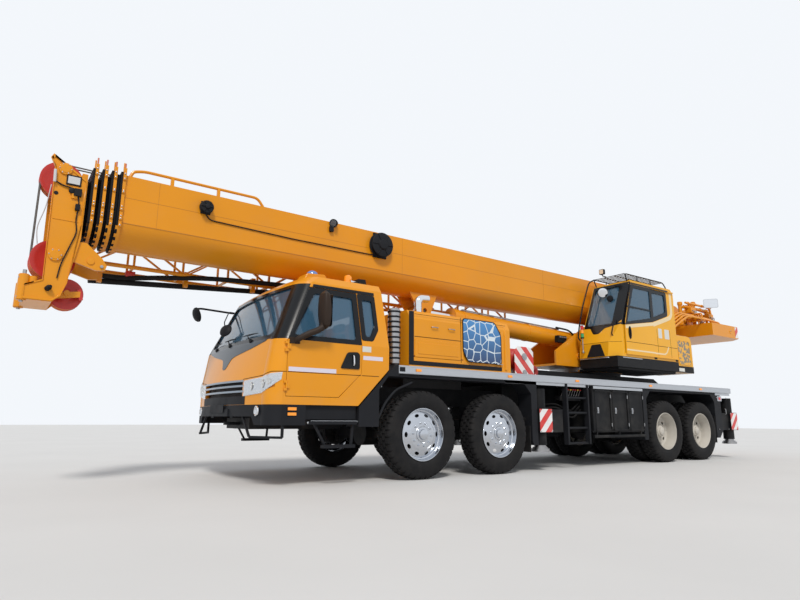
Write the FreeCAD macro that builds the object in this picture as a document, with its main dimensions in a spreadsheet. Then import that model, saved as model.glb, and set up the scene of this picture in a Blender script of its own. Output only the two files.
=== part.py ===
import FreeCAD, Part
import math
import os
import Sketcher

# Mobile crane with four axles, a full-width low cab, a slewing upper and a five-part boom.
# Millimetres. X points to the front, Y to the crane's left and Z up, with Z = 0 on the ground.
# Distances along X are measured from axle 1 unless a name says otherwise.

doc = FreeCAD.newDocument("mobile_crane")
sheet = doc.addObject("Spreadsheet::Sheet", "Sizes")

DRIVING_SIZES = [
    # name, millimetres
    ("axle_1_x", 2565),
    ("step_axle_2", 1470),
    ("step_axle_3", 4630),
    ("step_axle_4", 1350),
    ("body_half_width", 1375),
    ("running_gap", 5),
    ("seat_gap", 0.3),
    # Wheels and axles
    ("tyre_radius", 595),
    ("tyre_width", 310),
    ("tyre_shoulder", 40),
    ("rim_radius", 350),
    ("rim_well", 70),
    ("rim_wall", 12),
    ("rim_face_in", 110),
    ("hub_radius", 115),
    ("hub_cap", 45),
    ("hole_circle", 215),
    ("hole_radius", 32),
    ("twin_hub", 250),
    ("track_half", 1215),
    ("twin_step", 350),
    ("kingpin_half", 980),
    ("kingpin_radius", 25),
    ("knuckle_radius", 60),
    ("knuckle_half", 120),
    ("fork_thick", 35),
    ("stub_radius", 70),
    ("drum_radius", 210),
    ("drum_reach", 80),
    ("steer_arm", 260),
    ("steer_arm_half", 12),
    ("axle_beam_radius", 75),
    ("diff_radius", 190),
    ("spring_half", 430),
    # Chassis frame and deck
    ("frame_front_half", 420),
    ("frame_rear_half", 560),
    ("frame_nose_ahead", 2120),
    ("frame_nose_bottom", 660),
    ("frame_nose_top", 900),
    ("neck_run", 400),
    ("neck_top", 1280),
    ("frame_low", 1000),
    ("frame_mid_low", 585),
    ("frame_top", 1405),
    ("belly_gap", 130),
    ("band_half", 620),
    ("band_top", 1690),
    ("band_front", 1850),
    ("band_rear", 7000),
    ("deck_front_ahead", 435),
    ("deck_tail", 8830),
    ("deck_plate", 12),
    ("deck_cross_1", 3700),
    ("deck_cross_2", 5400),
    ("rail_bottom", 1405),
    ("rail_top", 1515),
    ("rail_width", 70),
    ("tow_radius", 70),
    ("tow_bore", 25),
    ("tow_reach", 120),
    ("tow_thick", 40),
    # Outriggers
    ("outrigger_front_x", 2335),
    ("outrigger_rear_x", 8375),
    ("beam_width", 290),
    ("beam_low", 620),
    ("beam_tall", 330),
    ("box_wall", 20),
    ("box_half", 1060),
    ("box_far_half", 1330),
    ("end_plate", 20),
    ("plate_lip", 8),
    ("jack_inset", 150),
    ("jack_radius", 95),
    ("tube_wall", 15),
    ("tube_low", 400),
    ("tube_top", 1300),
    ("pad_half", 150),
    ("pad_low", 300),
    ("pad_thick", 45),
    # Fenders, lockers and steps
    ("fender_inner", 1060),
    ("fender_low", 700),
    ("fender_recess", 30),
    ("fender_thick", 30),
    ("wedge_top", 1540),
    ("wedge_gap", 15),
    ("arch_front", 750),
    ("arch_shoulder", 1180),
    ("arch_run", 150),
    ("arch_drop", 45),
    ("post_front", 2200),
    ("post_low", 405),
    ("rear_arch_gap", 45),
    ("rear_post", 130),
    ("rear_fender_inner", 700),
    ("rear_fender_low", 440),
    ("locker_front", 3760),
    ("locker_rear", 5320),
    ("locker_low", 590),
    ("locker_recess", 40),
    ("locker_rib", 12),
    ("guard_bar_height", 520),
    ("guard_bar_radius", 25),
    ("ladder_front", 3060),
    ("ladder_rear", 3670),
    ("ladder_low", 395),
    ("ladder_recess", 60),
    ("step_tube", 20),
    ("step_tread", 90),
    ("step_upper", 750),
    ("step_lower", 467),
    ("step_front_ahead", 1750),
    ("step_rear_ahead", 1080),
    ("step_low_front_ahead", 1540),
    ("step_low_rear_ahead", 1100),
    ("corner_step_low", 580),
    ("corner_step_rear_ahead", 2080),
    ("corner_step_front_ahead", 2320),
    ("corner_step_out", 1350),
    ("corner_step_in", 950),
    # Cab
    ("cab_front_ahead", 2400),
    ("cab_rear_ahead", 600),
    ("cab_floor", 960),
    ("cab_cut_run", 470),
    ("cab_cut_rise", 480),
    ("bonnet_low_height", 1270),
    ("front_corner_low", 2270),
    ("corner_deep", 160),
    ("corner_wide", 230),
    ("belt_height", 1735),
    ("screen_foot_ahead", 2270),
    ("front_corner_belt", 2195),
    ("roof_edge_height", 2530),
    ("screen_top_ahead", 1900),
    ("front_corner_top", 1840),
    ("roof_rear_ahead", 610),
    ("roof_half", 1180),
    ("roof_height", 2625),
    ("crown_front_ahead", 1760),
    ("crown_corner", 1700),
    ("crown_half", 1110),
    ("cab_wall", 45),
    ("pane_thick", 8),
    ("door_front_ahead", 2065),
    ("door_rear_ahead", 1030),
    ("door_low", 1060),
    ("door_corner_height", 1370),
    ("door_corner_run", 330),
    ("door_head_height", 2450),
    ("hinge_out", 14),
    ("hinge_radius", 12),
    ("hinge_tall", 60),
    ("slide_gap", 0.8),
    ("door_gap", 6),
    ("pillar_head_ahead", 1740),
    ("window_frame", 70),
    ("sill_height", 1790),
    ("quarter_rear_ahead", 790),
    ("quarter_lift", 60),
    ("quarter_cut", 150),
    ("screen_low", 1800),
    ("screen_high", 2470),
    ("screen_low_half", 1150),
    ("screen_high_half", 1030),
    ("screen_zone", 1500),
    ("rear_window_half", 400),
    ("rear_window_low", 1800),
    ("rear_window_high", 2300),
    ("grille_half", 720),
    ("grille_low", 1065),
    ("grille_high", 1250),
    ("grille_bar", 18),
    ("lamp_drop", 40),
    ("lamp_recess", 12),
    ("bumper_low", 720),
    ("bumper_rise", 100),
    ("bumper_rise_half", 1050),
    ("bumper_block", 60),
    ("bumper_block_half", 380),
    ("skirt_rear_ahead", 1800),
    ("skirt_low", 790),
    ("bumper_arm", 100),
    # Seats, dash and mirrors
    ("seat_front_ahead", 1500),
    ("seat_deep", 480),
    ("seat_half", 650),
    ("seat_wide", 480),
    ("seat_height", 450),
    ("seat_pad", 110),
    ("seat_back", 650),
    ("dash_rear_ahead", 1850),
    ("dash_deep", 250),
    ("dash_half", 1200),
    ("dash_height", 1650),
    ("steering_radius", 210),
    ("steering_grip", 16),
    ("steering_out", 120),
    ("mirror_arm", 20),
    ("mirror_front_ahead", 1720),
    ("mirror_deep", 120),
    ("mirror_wide", 224.7),
    ("mirror_low", 1870),
    ("mirror_high", 2350),
    ("far_mirror_ahead", 2355),
    ("far_mirror_half", 1500),
    ("far_mirror_radius", 120),
    ("far_arm_height", 2480),
    ("far_drop", 70),
    # Engine, hood and exhaust
    ("hood_front_ahead", 210),
    ("hood_rear", 1800),
    ("hood_half", 1300),
    ("hood_top", 2320),
    ("hood_slope", 120),
    ("hood_band", 80),
    ("panel_front", 800),
    ("panel_rear", 1590),
    ("panel_recess", 20),
    ("engine_front", 350),
    ("engine_rear", 1550),
    ("engine_half", 400),
    ("engine_top", 2050),
    ("silencer_ahead", 400),
    ("silencer_half", 1200),
    ("silencer_radius", 90),
    ("clamp_ring", 8),
    ("exhaust_behind", 250),
    ("exhaust_half", 900),
    ("exhaust_radius", 60),
    ("exhaust_top", 2660),
    ("hook_behind", 2450),
    ("hook_half", 850),
    ("hook_width", 380),
    ("hook_cheek", 30),
    ("hook_sheave", 230),
    ("hook_axle", 300),
    # Turntable
    ("slew_behind", 5450),
    ("ring_radius", 700),
    ("ring_top", 1745),
    ("table_plate_top", 1880),
    ("table_front", 4000),
    ("table_nose_top", 2120),
    ("table_belly", 2250),
    ("table_tail", 9000),
    ("cheek_thick", 40),
    ("pivot_behind", 7450),
    ("pivot_height", 3150),
    ("pivot_eye", 250),
    ("pivot_pin_radius", 40),
    ("shelf_front", 4700),
    ("shelf_rear", 6700),
    ("shelf_half", 1300),
    ("weight_front", 8460),
    ("weight_rear", 9930),
    ("weight_half", 1300),
    ("weight_low", 2730),
    ("weight_top", 3020),
    ("weight_corner", 250),
    ("winch_behind", 8700),
    ("winch_step", 600),
    ("winch_foot", 30),
    ("drum_half", 300),
    ("rope_radius", 210),
    ("flange_radius", 265),
    ("flange_thick", 20),
    ("motor_radius", 90),
    ("motor_long", 110),
    # Operator's cab
    ("op_front", 4600),
    ("op_rear", 6750),
    ("op_inner", 520),
    ("op_outer", 1360),
    ("cab_base_low", 1790),
    ("op_low", 1990),
    ("op_top", 3530),
    ("op_corner", 200),
    ("op_crease", 2270),
    ("op_crease_run", 20),
    ("op_screen_low", 2640),
    ("op_screen_run", 200),
    ("op_roof_run", 600),
    ("op_wall", 40),
    ("op_frame", 70),
    ("op_sill", 2660),
    ("op_sill_rise", 150),
    ("op_door_front", 4880),
    ("op_door_rear", 5860),
    ("op_door_head_front", 5160),
    ("op_door_low", 2060),
    ("op_door_high", 3440),
    ("op_door_proud", 25),
    ("op_quarter_rear", 6400),
    ("op_quarter_lift", 190),
    ("op_quarter_low", 3000),
    ("op_seat_behind", 5700),
    ("cooler_rear", 7400),
    ("cooler_top", 2570),
    ("cooler_bow", 130),
    # Boom, head and jib
    ("boom_half_width", 350),
    ("boom_tall", 890),
    ("boom_low_height", 2830),
    ("boom_keel", 280),
    ("boom_wall", 20),
    ("boom_gap", 20),
    ("boom_side_gap", 30),
    ("boom_rear", 7900),
    ("boom_front_ahead", 3850),
    ("section_inset", 60),
    ("collar_deep", 60),
    ("collar_step", 100),
    ("collar_grow", 25),
    ("collar_post", 9),
    ("collar_post_top", 3870),
    ("head_half", 300),
    ("head_plate", 25),
    ("head_overlap", 60),
    ("head_front_ahead", 4600),
    ("head_tip_ahead", 4745),
    ("head_shoulder", 3550),
    ("head_top", 3800),
    ("head_low", 2060),
    ("head_ear", 50),
    ("head_heel_ahead", 4340),
    ("head_toe_ahead", 4460),
    ("head_foot", 230),
    ("sheave_radius", 230),
    ("sheave_low_radius", 180),
    ("sheave_pitch", 80),
    ("sheave_bracket", 70),
    ("sheave_pin", 30),
    ("sheave_top_ahead", 4490),
    ("sheave_top_height", 3640),
    ("sheave_mid_ahead", 4485),
    ("sheave_mid_height", 2600),
    ("sheave_low_ahead", 4310),
    ("sheave_low_height", 2210),
    ("jib_bore", 30),
    ("jib_rear", 3500),
    ("jib_front_ahead", 4150),
    ("jib_out", 60),
    ("jib_wide", 480),
    ("jib_low", 2760),
    ("jib_tall", 420),
    ("jib_chord", 28),
    ("hanger_rear", 2900),
    ("hanger_front_ahead", 2600),
    # Luffing cylinder
    ("luff_pin_behind", 5200),
    ("luff_pin_height", 2430),
    ("bracket_pin_behind", 950),
    ("bracket_pin_height", 2600),
    ("bracket_half", 150),
    ("bracket_front", 480),
    ("bracket_rear", 350),
    ("eye_radius", 120),
    ("luff_radius", 170),
    ("rod_radius", 100),
    ("rod_shown", 700),
    ("gland_long", 120),
]

cells = {}
for row, (alias, amount) in enumerate(DRIVING_SIZES, start=1):
    sheet.set(f"A{row}", alias)
    sheet.set(f"B{row}", str(amount))
    sheet.setAlias(f"B{row}", alias)
    cells[alias] = float(amount)
doc.recompute()


class Size:
    """A length with the sheet formula that gives it."""

    def __init__(self, number, formula):
        self.number = number
        self.formula = formula

    def __add__(self, other):
        other = size(other)
        return Size(self.number + other.number, f"({self.formula} + {other.formula})")

    def __sub__(self, other):
        other = size(other)
        return Size(self.number - other.number, f"({self.formula} - {other.formula})")

    def __mul__(self, other):
        other = size(other)
        return Size(self.number * other.number, f"({self.formula} * {other.formula})")

    def __truediv__(self, other):
        other = size(other)
        return Size(self.number / other.number, f"({self.formula} / {other.formula})")

    def __neg__(self):
        return Size(-self.number, f"(-{self.formula})")

    def __radd__(self, other):
        return size(other) + self

    def __rsub__(self, other):
        return size(other) - self

    def __rmul__(self, other):
        return size(other) * self


def size(amount):
    """Gives a Size from a sheet alias, a plain number or a Size."""
    if isinstance(amount, Size):
        return amount
    if isinstance(amount, str):
        return Size(cells[amount], f"Sizes.{amount}")
    return Size(float(amount), repr(float(amount)))


def along(distance):
    """X of a place that lies this far ahead of axle 1, or behind it if negative."""
    return size("axle_1_x") + distance


def behind(distance):
    return size("axle_1_x") - distance


def turned(length, angle):
    """The two parts of a length that points up from the X axis by an angle in degrees."""
    length = size(length)
    angle = size(angle)
    turn = math.radians(angle.number)
    across = Size(length.number * math.cos(turn), f"({length.formula} * cos({angle.formula}))")
    up = Size(length.number * math.sin(turn), f"({length.formula} * sin({angle.formula}))")
    return across, up


def bind(item, prop, amount):
    amount = size(amount)
    item.setExpression(prop, amount.formula)


def place(item, x=0, y=0, z=0, turn=None):
    if turn is not None:
        item.Placement = FreeCAD.Placement(FreeCAD.Vector(0, 0, 0), turn)
    bind(item, "Placement.Base.x", x)
    bind(item, "Placement.Base.y", y)
    bind(item, "Placement.Base.z", z)
    return item


names_used = {}


def unused(name):
    names_used[name] = names_used.get(name, 0) + 1
    return f"{name}_{names_used[name]}"


def block(x_span, y_span, z_span, name="block"):
    """A box between two values along each axis."""
    item = doc.addObject("Part::Box", unused(name))
    for prop, (low, high) in zip(("Length", "Width", "Height"), (x_span, y_span, z_span)):
        bind(item, prop, size(high) - size(low))
    return place(item, x_span[0], y_span[0], z_span[0])


UPRIGHT = FreeCAD.Rotation(FreeCAD.Vector(0, 0, 1), 0)
ALONG_X = FreeCAD.Rotation(FreeCAD.Vector(0, 1, 0), 90)
ALONG_Y = FreeCAD.Rotation(FreeCAD.Vector(1, 0, 0), -90)
TURNS = {"x": ALONG_X, "y": ALONG_Y, "z": UPRIGHT}


def rod(axis, radius, start, length, name="rod"):
    """A round bar from a start point along an axis."""
    item = doc.addObject("Part::Cylinder", unused(name))
    bind(item, "Radius", radius)
    bind(item, "Height", length)
    return place(item, *start, turn=TURNS[axis])


def cross_rod(radius, x, z, y_from, y_to, name="cross_rod"):
    return rod("y", radius, (x, y_from, z), size(y_to) - size(y_from), name)


SIDE = FreeCAD.Rotation(FreeCAD.Vector(1, 0, 0), 90)
FRONT = FreeCAD.Rotation(FreeCAD.Vector(1, 1, 1), 120)
VIEWS = {"side": (SIDE, FreeCAD.Vector(0, 1, 0)), "front": (FRONT, FreeCAD.Vector(1, 0, 0)),
         "plan": (UPRIGHT, FreeCAD.Vector(0, 0, 1))}


def outline(view, offset, corners, name="outline"):
    """A closed sketch. A corner is (a, b), or (a, b, via_a, via_b) where an arc leads to the next one."""
    sketch = doc.addObject("Sketcher::SketchObject", unused(name))
    at = {"side": (0, offset, 0), "front": (offset, 0, 0), "plan": (0, 0, offset)}[view]
    place(sketch, *at, turn=VIEWS[view][0])
    corners = [tuple(size(part) for part in corner) for corner in corners]
    count = len(corners)
    spots = [FreeCAD.Vector(corner[0].number, corner[1].number, 0) for corner in corners]
    edges = []
    for index, corner in enumerate(corners):
        here = spots[index]
        there = spots[(index + 1) % count]
        if len(corner) == 4:
            via = FreeCAD.Vector(corner[2].number, corner[3].number, 0)
            edges.append(Part.Arc(here, via, there))
        else:
            edges.append(Part.LineSegment(here, there))
    sketch.addGeometry(edges, False)
    # An arc is kept turning left, so one that turns right has its ends the other way round.
    starts = []
    for index in range(count):
        edge = sketch.Geometry[index]
        turned_round = edge.StartPoint.distanceToPoint(spots[index]) > edge.EndPoint.distanceToPoint(spots[index])
        starts.append(2 if turned_round else 1)
    rules = []
    bound = []
    for index, corner in enumerate(corners):
        after = (index + 1) % count
        rules.append(Sketcher.Constraint("Coincident", index, 3 - starts[index], after, starts[after]))
        for kind, amount in (("DistanceX", corner[0]), ("DistanceY", corner[1])):
            bound.append((len(rules), amount))
            rules.append(Sketcher.Constraint(kind, -1, 1, index, starts[index], amount.number))
    for index, corner in enumerate(corners):
        if len(corner) != 4:
            continue
        point = sketch.addGeometry(Part.Point(FreeCAD.Vector(corner[2].number, corner[3].number, 0)), True)
        rules.append(Sketcher.Constraint("PointOnObject", point, 1, index))
        for kind, amount in (("DistanceX", corner[2]), ("DistanceY", corner[3])):
            bound.append((len(rules), amount))
            rules.append(Sketcher.Constraint(kind, -1, 1, point, 1, amount.number))
    sketch.addConstraint(rules)
    for index, amount in bound:
        if amount.formula != repr(amount.number):
            sketch.setExpression(f"Constraints[{index}]", amount.formula)
    return sketch


def prism(view, span, corners, name="prism"):
    """A profile seen in one view, drawn out between two values across it."""
    item = doc.addObject("Part::Extrusion", unused(name))
    item.Base = outline(view, span[0], corners, name + "_outline")
    item.DirMode = "Custom"
    item.Dir = VIEWS[view][1]
    item.Solid = True
    bind(item, "LengthFwd", size(span[1]) - size(span[0]))
    return item


def turned_round(profile, x, y, z, name="revolve"):
    """A wheel-like solid about the Y axis. The profile's corners are (Y outwards, radius)."""
    item = doc.addObject("Part::Revolution", unused(name))
    item.Source = outline("front", 0, profile, name + "_outline")
    item.Axis = FreeCAD.Vector(0, 1, 0)
    item.Angle = 360
    item.Solid = True
    return place(item, x, y, z)


def join(items, name="join"):
    if len(items) == 1:
        return items[0]
    item = doc.addObject("Part::MultiFuse", unused(name))
    item.Shapes = items
    item.Refine = True
    return item


def common(items, name="common"):
    item = doc.addObject("Part::MultiCommon", unused(name))
    item.Shapes = items
    item.Refine = True
    return item


def cut(base, tools, name="cut"):
    item = doc.addObject("Part::Cut", unused(name))
    item.Base = base
    item.Tool = join(tools, name + "_tools")
    item.Refine = True
    return item


def gather(items, name="gather"):
    """Separate solids that one node holds."""
    if len(items) == 1:
        return items[0]
    item = doc.addObject("Part::Compound", unused(name))
    item.Links = items
    return item


def other_side(item, name="other_side"):
    """The same piece on the crane's right side."""
    mirrored = doc.addObject("Part::Mirroring", unused(name))
    mirrored.Source = item
    mirrored.Normal = FreeCAD.Vector(0, 1, 0)
    mirrored.Base = FreeCAD.Vector(0, 0, 0)
    return mirrored


def both_sides(items):
    return list(items) + [other_side(item) for item in items]


pieces = []


def piece(label, item):
    item.Label = label
    pieces.append(item)
    return item


S = {alias: size(alias) for alias in cells}
AXLES = {
    "axle_1": along(0),
    "axle_2": behind(S["step_axle_2"]),
    "axle_3": behind(S["step_axle_2"] + S["step_axle_3"]),
    "axle_4": behind(S["step_axle_2"] + S["step_axle_3"] + S["step_axle_4"]),
}
HALF = S["body_half_width"]
WHEEL_Z = S["tyre_radius"]


def wheels_and_knuckles():
    """Eight wheels: tyre and rim in one, twins joined by their hub on the rear axles."""
    half_tyre = S["tyre_width"] / 2
    shoulder = S["tyre_shoulder"]
    wall = S["rim_wall"]
    hub = S["hub_radius"]
    face = S["rim_face_in"]
    well = S["rim_radius"] - S["rim_well"]

    def tyre(centre, name):
        """Section of one tyre with its rim's well, centred on a value along Y."""
        return [
            (centre - half_tyre, S["rim_radius"]),
            (centre - half_tyre, S["tyre_radius"] - shoulder),
            (centre - half_tyre + shoulder, S["tyre_radius"]),
            (centre + half_tyre - shoulder, S["tyre_radius"]),
            (centre + half_tyre, S["tyre_radius"] - shoulder),
            (centre + half_tyre, S["rim_radius"]),
            (centre + half_tyre - wall * 3, well),
            (centre - half_tyre + wall * 3, well),
        ]

    for axle, axle_x in AXLES.items():
        for side, sign in (("left", 1), ("right", -1)):
            centre = S["track_half"] * sign
            outward = size(sign)
            name = f"wheel_{axle[-1]}_{side}"
            rings = [turned_round(tyre(size(0), name), axle_x, centre, WHEEL_Z, name)]
            if axle in ("axle_1", "axle_2"):
                face_y = centre + outward * face
                disc_y = face_y if sign > 0 else face_y - wall
                disc = cross_rod(well + wall, axle_x, WHEEL_Z, disc_y, disc_y + wall, name)
                holes = hand_holes(axle_x, face_y, S["hole_circle"])
                disc = cut(disc, holes, name)
                nub_y = face_y if sign > 0 else face_y - S["hub_cap"]
                rings += [disc, cross_rod(hub, axle_x, WHEEL_Z, nub_y, nub_y + S["hub_cap"], name)]
            else:
                inner = centre - outward * S["twin_step"]
                middle = centre - outward * (S["twin_step"] / 2)
                rings.append(turned_round(tyre(size(0), name), axle_x, inner, WHEEL_Z, name))
                disc = cross_rod(well + wall, axle_x, WHEEL_Z, middle - wall, middle + wall, name)
                spacer = S["twin_step"] / 2 - half_tyre + wall * 3
                sleeve = cross_rod(well + wall, axle_x, WHEEL_Z, middle - spacer, middle + spacer, name)
                bore = cross_rod(well, axle_x, WHEEL_Z, middle - spacer, middle + spacer, name)
                sleeve = cut(sleeve, [bore], name)
                disc = cut(disc, hand_holes(axle_x, middle, S["hole_circle"]), name)
                nub_y = middle if sign > 0 else middle - S["twin_hub"]
                rings += [disc, sleeve, cross_rod(hub, axle_x, WHEEL_Z, nub_y, nub_y + S["twin_hub"], name)]
            piece(name, join(rings, name))


def hand_holes(axle_x, y, circle):
    """Ten round holes through a wheel's disc."""
    holes = []
    count = 10
    for index in range(count):
        angle = 360 / count * index
        across, up = turned(circle, angle)
        reach = S["twin_step"]
        holes.append(cross_rod(S["hole_radius"], axle_x + across, WHEEL_Z + up,
                               y - reach / 4, y + reach / 4, "hand_hole"))
    return holes


def axles():
    """Front beams end in forks at the kingpins, rear beams are tubes with a round middle."""
    beam = S["axle_beam_radius"]
    pin = S["kingpin_half"]
    fork = S["fork_thick"]
    jaw = S["knuckle_radius"]
    solids = []
    for axle in ("axle_1", "axle_2"):
        x = AXLES[axle]
        reach = pin - S["knuckle_radius"] - S["running_gap"]
        fork_top = S["knuckle_half"] + S["seat_gap"]
        solids.append(join([
            block((x - beam, x + beam), (-reach, reach), (WHEEL_Z - beam, WHEEL_Z + beam), "front_beam"),
            rod("x", S["diff_radius"], (x - S["diff_radius"], 0, WHEEL_Z), S["diff_radius"] * 2, "diff"),
        ] + both_sides([
            block((x - beam, x + beam), (S["spring_half"] - beam, S["spring_half"] + beam),
                  (WHEEL_Z, S["frame_low"] - S["seat_gap"]), "spring_seat"),
            block((x - jaw, x + jaw), (reach - fork, reach), (WHEEL_Z - fork_top - fork,
                  WHEEL_Z + fork_top + fork), "fork"),
            block((x - jaw, x + jaw), (reach - fork, pin + fork), (WHEEL_Z + fork_top,
                  WHEEL_Z + fork_top + fork), "fork_top"),
            block((x - jaw, x + jaw), (reach - fork, pin + fork), (WHEEL_Z - fork_top - fork,
                  WHEEL_Z - fork_top), "fork_foot"),
            rod("z", S["kingpin_radius"], (x, pin, WHEEL_Z - fork_top - fork), (fork_top + fork) * 2, "kingpin"),
        ]), "front_axle"))
    for axle in ("axle_3", "axle_4"):
        x = AXLES[axle]
        reach = S["track_half"] - S["twin_step"] / 2 - S["rim_wall"] - S["seat_gap"]
        solids.append(join([
            cross_rod(beam, x, WHEEL_Z, -reach, reach, "rear_beam"),
            cross_rod(S["diff_radius"] * 1.3, x, WHEEL_Z, -S["diff_radius"], S["diff_radius"], "diff"),
        ] + both_sides([
            block((x - beam, x + beam), (S["spring_half"] - beam, S["spring_half"] + beam),
                  (WHEEL_Z, S["frame_low"] - S["seat_gap"]), "spring_seat"),
        ]), "rear_axle"))
    piece("axle_beams", gather(solids, "axle_beams"))


def knuckles():
    """Steering knuckles: an upright barrel at the kingpin with the wheel's stub."""
    half_tyre = S["tyre_width"] / 2
    for axle in ("axle_1", "axle_2"):
        x = AXLES[axle]
        for side, sign in (("left", 1), ("right", -1)):
            pin_y = S["kingpin_half"] * sign
            end_y = (S["track_half"] + S["rim_face_in"] - S["seat_gap"]) * sign
            span = (pin_y, end_y) if sign > 0 else (end_y, pin_y)
            barrel = rod("z", S["knuckle_radius"], (x, pin_y, WHEEL_Z - S["knuckle_half"]),
                         S["knuckle_half"] * 2, "knuckle")
            stub = cross_rod(S["stub_radius"], x, WHEEL_Z, span[0], span[1], "stub")
            drum_span = (S["track_half"] - half_tyre, S["track_half"] + S["drum_reach"])
            drum_span = drum_span if sign > 0 else (-drum_span[1], -drum_span[0])
            drum = cross_rod(S["drum_radius"], x, WHEEL_Z, drum_span[0], drum_span[1], "drum")
            arm = block((x - S["steer_arm"], x), (pin_y - S["steer_arm_half"], pin_y + S["steer_arm_half"]),
                        (WHEEL_Z - S["knuckle_half"], WHEEL_Z - S["knuckle_half"] + S["fork_thick"]),
                        "steer_arm")
            bore = rod("z", S["kingpin_radius"] + S["seat_gap"], (x, pin_y, WHEEL_Z - S["knuckle_half"] * 2),
                       S["knuckle_half"] * 4, "kingpin_bore")
            piece(f"knuckle_{axle[-1]}_{side}", cut(join([barrel, stub, drum, arm], "knuckle"), [bore], "knuckle"))


def chassis_frame():
    """Box girder: a low nose under the cab, a neck over the front axles and a deep middle and tail."""
    nose = along(S["frame_nose_ahead"])
    step_front = along(S["cab_rear_ahead"] + S["neck_run"] / 2)
    step_rear = along(S["cab_rear_ahead"] - S["neck_run"] / 2)
    front_join = tunnel_x("outrigger_front_x", 0)[0] + S["box_wall"]
    rear_join = tunnel_x("outrigger_rear_x", 0)[0] + S["box_wall"]
    tail = frame_tail()
    front = prism("side", (-S["frame_front_half"], S["frame_front_half"]), [
        (nose, S["frame_nose_bottom"]), (nose, S["frame_nose_top"]), (step_front, S["frame_nose_top"]),
        (step_rear, S["neck_top"]), (front_join, S["neck_top"]), (front_join, S["frame_low"]),
        (step_rear, S["frame_low"]), (step_front, S["frame_nose_bottom"]),
    ], "frame_front")
    belly_rear = AXLES["axle_3"] + S["tyre_radius"] + S["belly_gap"]
    rear = prism("side", (-S["frame_rear_half"], S["frame_rear_half"]), [
        (front_join, S["frame_mid_low"]), (front_join, S["frame_top"]), (tail, S["frame_top"]),
        (tail, S["frame_mid_low"]), (rear_join, S["frame_mid_low"]), (rear_join, S["frame_low"]),
        (belly_rear, S["frame_low"]), (belly_rear + S["belly_gap"], S["frame_mid_low"]),
    ], "frame_rear")
    slope = S["band_top"] - S["frame_top"]
    band = prism("side", (-S["band_half"], S["band_half"]), [
        (behind(S["band_front"]), S["frame_top"] - S["deck_plate"]),
        (behind(S["band_front"]), S["band_top"] - slope / 4),
        (behind(S["band_front"] + slope / 4), S["band_top"]), (behind(S["band_rear"]), S["band_top"]),
        (behind(S["band_rear"] + slope * 2), S["frame_top"] - S["deck_plate"]),
    ], "band")
    tunnels = []
    for station in STATIONS:
        tunnels += tunnel_holes(station, S["frame_rear_half"] + S["box_wall"])
    ring = rod("z", S["ring_radius"], (behind(S["slew_behind"]), 0, S["band_top"] - S["deck_plate"]),
               S["ring_top"] - S["band_top"] + S["deck_plate"], "ring_seat")
    piece("chassis_frame", cut(join([front, rear, band, ring], "frame"), tunnels, "chassis_frame"))


# The left beam lies in the first tunnel of the front station and in the last one of the rear station.
STATIONS = {"outrigger_front_x": {"left": 0, "right": 1}, "outrigger_rear_x": {"left": 1, "right": 0}}


def tunnel_x(station, index):
    """Front and rear X of the space that an outrigger beam fills."""
    start = S[station] + S["box_wall"] + (S["beam_width"] + S["box_wall"]) * index
    return behind(start), behind(start + S["beam_width"])


def frame_tail():
    return tunnel_x("outrigger_rear_x", 1)[1] - S["box_wall"]


def tunnel_block(station, index, y_span, grow):
    """The space of a beam, grown by a clearance all round."""
    front, rear = tunnel_x(station, index)
    return block((rear - grow, front + grow), y_span,
                 (S["beam_low"] - grow, S["beam_low"] + S["beam_tall"] + grow), "tunnel")


def tunnel_holes(station, half):
    return [tunnel_block(station, index, (-half, half), S["running_gap"]) for index in (0, 1)]


def outrigger_boxes():
    """Cross boxes beside the frame. Each is open where its beam comes out and closed at its far end."""
    solids = []
    inner = S["frame_rear_half"] + S["seat_gap"]
    skin = S["box_wall"] - S["running_gap"]
    for station, sides in STATIONS.items():
        for sign in (1, -1):
            shells = []
            holes = []
            for side, index in sides.items():
                opens_here = (side == "left") == (sign > 0)
                reach = S["box_half"] if opens_here else S["box_far_half"]
                bore = reach + S["box_wall"] if opens_here else reach - S["box_wall"]
                shells.append(tunnel_block(station, index, spanned(inner, reach, sign),
                                           S["running_gap"] + skin))
                holes.append(tunnel_block(station, index, spanned(inner - S["box_wall"], bore, sign),
                                          S["running_gap"]))
            solids.append(cut(join(shells, "outrigger_box"), holes, "outrigger_box"))
    piece("outrigger_boxes", gather(solids, "outrigger_boxes"))


def spanned(inner, outer, sign):
    """A span along Y from an inner to an outer value, on the left for sign 1 and on the right for -1."""
    return (size(inner), size(outer)) if sign > 0 else (-size(outer), -size(inner))


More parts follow.
